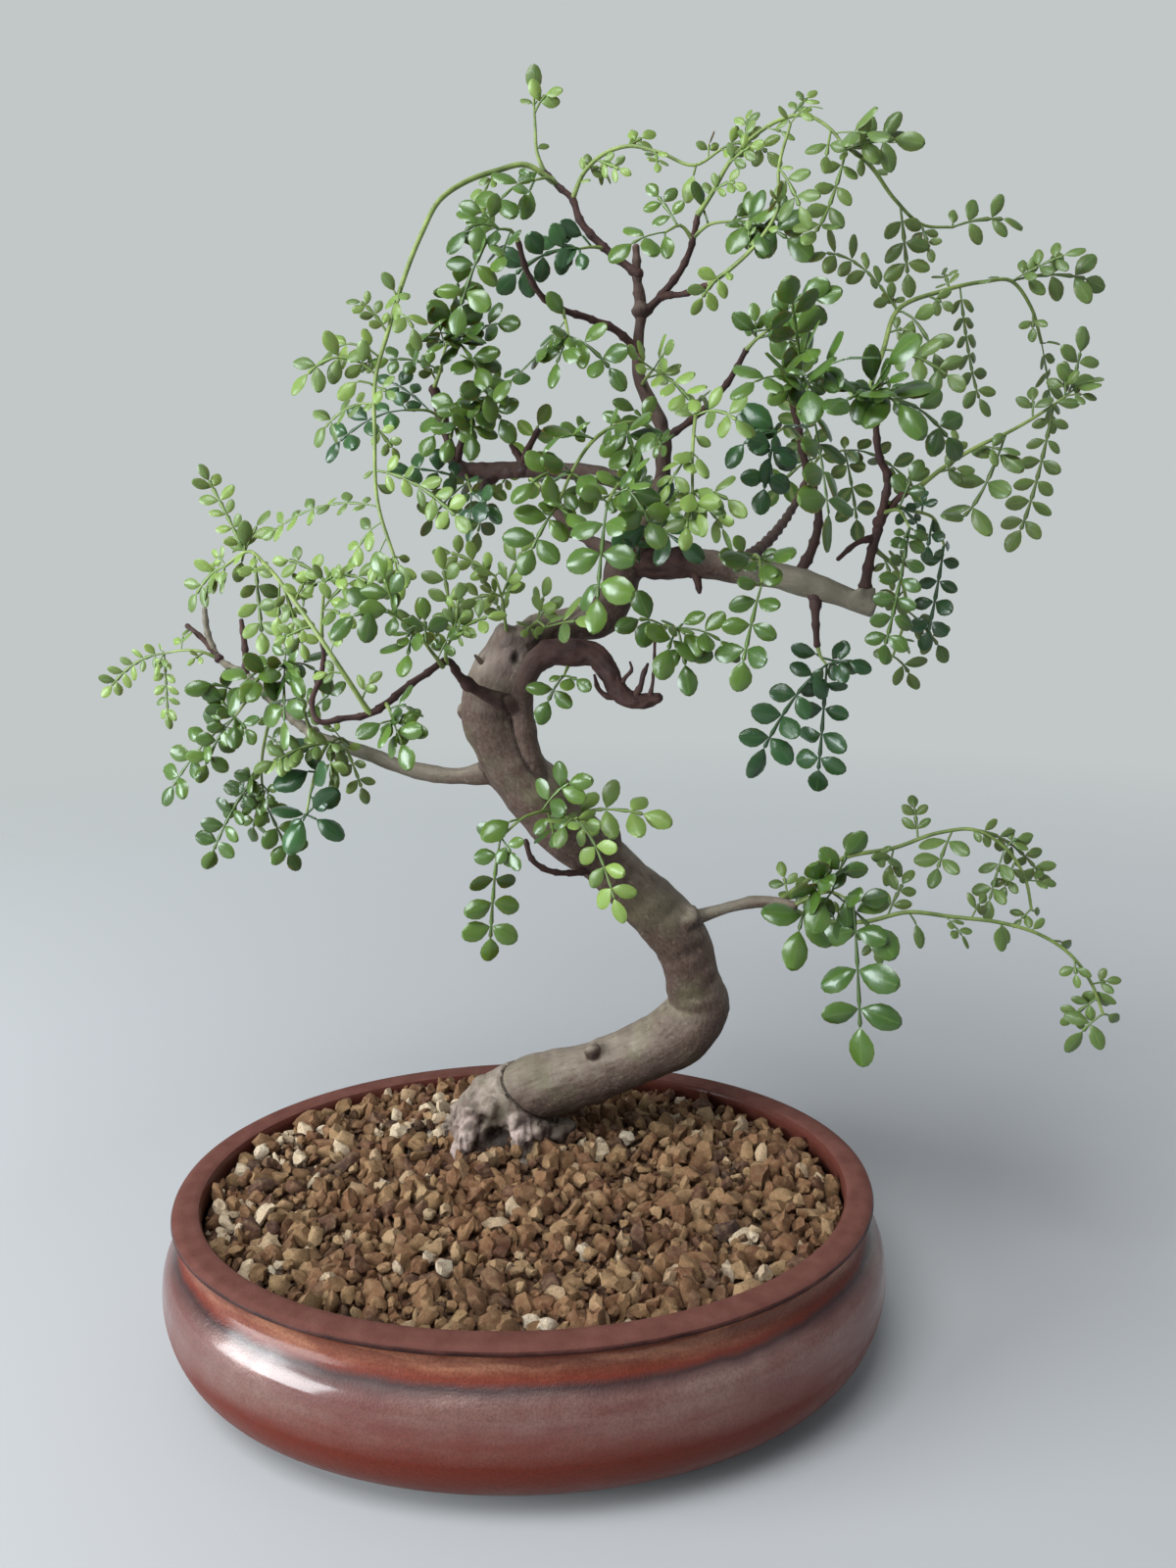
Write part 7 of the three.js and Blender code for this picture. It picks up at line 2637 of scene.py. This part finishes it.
    def midrib(self, shoot: ShootMesh, path: SmoothPath, marks: Sequence[float], facing: Vector,
               roll: float, tone: float) -> None:
        """Adds a leaf's winged midrib, narrow at each pair of leaflets and wider between them.

        Args:
            shoot: The shoot.
            path: The leaf's middle line.
            marks: How far along it the pairs and the last leaflet sit.
            facing: The way that the leaf faces.
            roll: How far it is turned from that.
            tone: Its tone.
        """
        ways, halves = [0.0], [0.42]
        for start, stop in zip([0.0, *marks], marks):
            ways += [start + (stop - start) * share for share in (0.3, 0.8, 1.0)]
            halves += [0.5, 0.78, 0.34] if start else [0.36, 0.42, 0.34]
        rows = path.at(np.array(ways))
        ahead = path.at(np.array(ways) + 0.5 * MM) - path.at(np.array(ways) - 0.5 * MM)
        rings = []
        for place, way, half in zip(rows, ahead, halves):
            tangent = Vector(way).normalized()
            upward = self.upright(facing, tangent, roll)
            side, upward = np.array(upward.cross(tangent)), np.array(upward)
            rings += [place + side * half * MM, place + upward * 0.3 * MM,
                      place - side * half * MM, place - upward * 0.26 * MM]
        first = shoot.add(np.array(rings), 0.0, leaf_tone=[tone] * len(rings))
        last = first + len(rings) - 4
        shoot.faces.append((first + 3, first + 2, first + 1, first))
        shoot.faces += ring_faces(len(ways), 4, first)
        shoot.faces.append((last, last + 1, last + 2, last + 3))

    def stem(self, shoot: ShootMesh, path: SmoothPath) -> None:
        """Adds a shoot's stem, tapered and swollen at its foot.

        Args:
            shoot: The shoot.
            path: The stem's middle line.
        """
        rows = path.stepped(self.stem_step * MM)
        share = np.linspace(0, 1, len(rows))
        radius = self.stem_radius * (0.66 + 0.34 * min(1.0, path.length / (110 * MM)))
        radius = radius * (1 - 0.42 * share) * (1 + 0.4 * np.exp(-share * path.length / (2 * MM)))
        first = shoot.add(rows, 1.0, thickness=list(radius * MM))
        shoot.edges += [(first + k, first + k + 1) for k in range(len(rows) - 1)]

    def small_leaves(self, shoot: ShootMesh, path: SmoothPath, taken: list[float], bare: float,
                     leaflet: float) -> None:
        """Adds small leaves at the stem's empty nodes, beside the drawn leaves and round its tip.

        Args:
            shoot: The shoot.
            path: Its stem.
            taken: How far along it the drawn leaves sit.
            bare: How far along it none grow.
            leaflet: The drawn leaflets' mean length in metres.
        """
        draw = self.draw
        spots = [(way, draw.choice((1.15, 2.0))) for way in taken if draw.random() < 0.4]
        spots.append((path.length, 1.3))
        way = draw.uniform(4, 8) * MM
        while way < path.length:
            if all(abs(way - other) > 4 * MM for other in taken):
                spots.append((way, draw.choice((1.15, 2.1, 2.1, 3.0))))
            way += draw.uniform(*self.node_spacing) * MM
        hand = draw.choice((-1, 1))
        for way, reach in sorted(spots):
            hand = -hand
            if way < bare:
                continue
            here, behind = path.at(way)[0], path.at(way - MM)[0]
            tangent = Vector(here - behind).normalized()
            facing = Vector((draw.gauss(0, 0.4), -0.8, 0.6))
            side = facing.cross(tangent).normalized() * hand
            length = leaflet * draw.uniform(0.55, 0.8)
            along = tangent * draw.uniform(0.3, 1.0) + side + Vector((0, 0, draw.uniform(-0.3, 0.4)))
            tip = here + np.array(along.normalized()) * length * reach
            tip[1] = min(tip[1], self.furthest_back * MM)
            self.leaf(shoot, here, tip, draw.uniform(0, 0.12) * length * reach, length)

    def build(self) -> None:
        """Builds all the shoots."""
        shelf = kept_forms("leaflets", [self.leaflet(k, *shape) for k, shape in enumerate(self.shapes)])
        skins = {tone: habit.skin.material() for tone, habit in self.habits.items()}
        green = GreenShoot("green shoot").material()
        for plan in SPRAYS:
            shoot = ShootMesh(self.habits[plan.tone])
            stem = SmoothPath(carried(plan.stem))
            self.stem(shoot, stem)
            taken = [stem.way_to(leaf[0]) for leaf in plan.leaves]
            for way, (_, x, y, z, rise, length) in zip(taken, plan.leaves):
                tip = carried([(x, y, z)])[0]
                self.leaf(shoot, stem.at(way)[0], tip, rise * MM, length * MM)
            leaflet = float(np.mean([leaf[5] for leaf in plan.leaves])) * MM
            self.small_leaves(shoot, stem, taken, stem.way_to(plan.bare), leaflet)
            piece = shoot.finish(f"leaves_{plan.name}")
            SHOOT.run(
                piece, Leaflet_Forms=shelf, Leaf=skins[plan.tone], Shoot=green, Stem_Sides=self.stem_sides
            )
            present(piece, plan.tone.value, f"spray_{plan.name}")
        clear_forms(shelf)


# Studio


@dataclass(frozen=True)
class Lamp:
    """A soft rectangular light: its place, aim and size in metres, power in watts and linear colour."""

    name: str
    place: Point
    aim: Point
    size: tuple[float, float]
    power: float
    colour: Point

    def build(self) -> None:
        """Places the light."""
        data = bpy.data.lights.new(self.name, "AREA")
        data.shape = "RECTANGLE"
        data.size, data.size_y = self.size
        data.energy = self.power
        data.color = self.colour
        lamp = bpy.data.objects.new(self.name, data)
        lamp.location = self.place
        aim = Vector(self.aim) - Vector(self.place)
        lamp.rotation_euler = aim.to_track_quat("-Z", "Y").to_euler()
        bpy.context.scene.collection.objects.link(lamp)


@dataclass
class Studio:
    """Camera at the photograph's angle, pale floor and soft light."""

    eye: tuple[float, float, float] = (0.032, -0.424, 0.312)
    yaw: float = -0.8
    pitch: float = 13.2
    roll: float = -1.0
    lens: float = 29.25
    floor_radius: float = 14.0
    floor_sides: int = 96
    floor_level: float = -0.0002
    lamps: Sequence[Lamp] = (
        Lamp("window", (-1.15, -0.55, 0.46), (0, 0, 0.15), (0.8, 0.62), 26, (0.92, 0.97, 1.0)),
        Lamp("skylight", (-0.35, -0.75, 1.45), (0, 0, 0.2), (0.8, 0.6), 20, (0.95, 0.98, 1.0)),
        Lamp("room", (1.3, -0.9, 0.9), (0, 0, 0.2), (1.2, 1.2), 1.5, (1.0, 0.97, 0.94)),
    )

    def camera(self) -> None:
        """Places the camera."""
        yaw, pitch, roll = (math.radians(angle) for angle in (self.yaw, self.pitch, self.roll))
        ahead = Vector((math.sin(yaw) * math.cos(pitch), math.cos(yaw) * math.cos(pitch), -math.sin(pitch)))
        right = Vector((math.cos(yaw), -math.sin(yaw), 0))
        up = right.cross(ahead)
        tilted = right * math.cos(roll) + up * math.sin(roll)
        upright = up * math.cos(roll) - right * math.sin(roll)
        data = bpy.data.cameras.new("camera")
        data.lens = self.lens
        data.sensor_width = 36.0
        data.clip_start = 0.01
        camera = bpy.data.objects.new("camera", data)
        turn = Matrix((tilted, upright, -ahead)).transposed().to_4x4()
        camera.matrix_world = Matrix.Translation(self.eye) @ turn
        bpy.context.scene.collection.objects.link(camera)
        bpy.context.scene.camera = camera

    def backdrop(self) -> None:
        """Makes the world behind it all, a little lighter straight ahead."""
        world = bpy.data.worlds.new("room")
        world.use_nodes = True
        graph = Graph(world.node_tree)
        ahead = graph.part(graph.out("ShaderNodeTexCoord", "Generated"), "Y")
        wall = graph.blend(graph.stretch(ahead, 0.2, 0.8), linear(134, 140, 148), linear(194, 200, 200))
        graph.fill(world.node_tree.nodes["Background"], Color=wall)
        bpy.context.scene.world = world

    def build(self) -> None:
        """Builds the floor, the lights, the world and the camera."""
        angles, count = around(self.floor_sides), self.floor_sides
        ring = [self.floor_radius * np.cos(angles), self.floor_radius * np.sin(angles)]
        ring = np.column_stack([*ring, np.full(count, self.floor_level)])
        floor = new_object("studio_floor", ring, [tuple(range(count))])
        clothe(floor, StudioFloor("studio floor").material())
        for lamp in self.lamps:
            lamp.build()
        self.backdrop()
        bpy.context.scene.view_settings.view_transform = "Standard"
        self.camera()


def main() -> None:
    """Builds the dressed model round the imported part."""
    logging.basicConfig(level=logging.INFO, format="%(message)s")
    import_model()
    pot = Pot()
    pot.build()
    DrainScreens().build(pot)
    Soil(pot).build()
    wood = Wood().build()
    guard = BVHTree.FromObject(wood, bpy.context.evaluated_depsgraph_get())
    Foliage(guard).build()
    Studio().build()


if __name__ == "__main__":
    main()
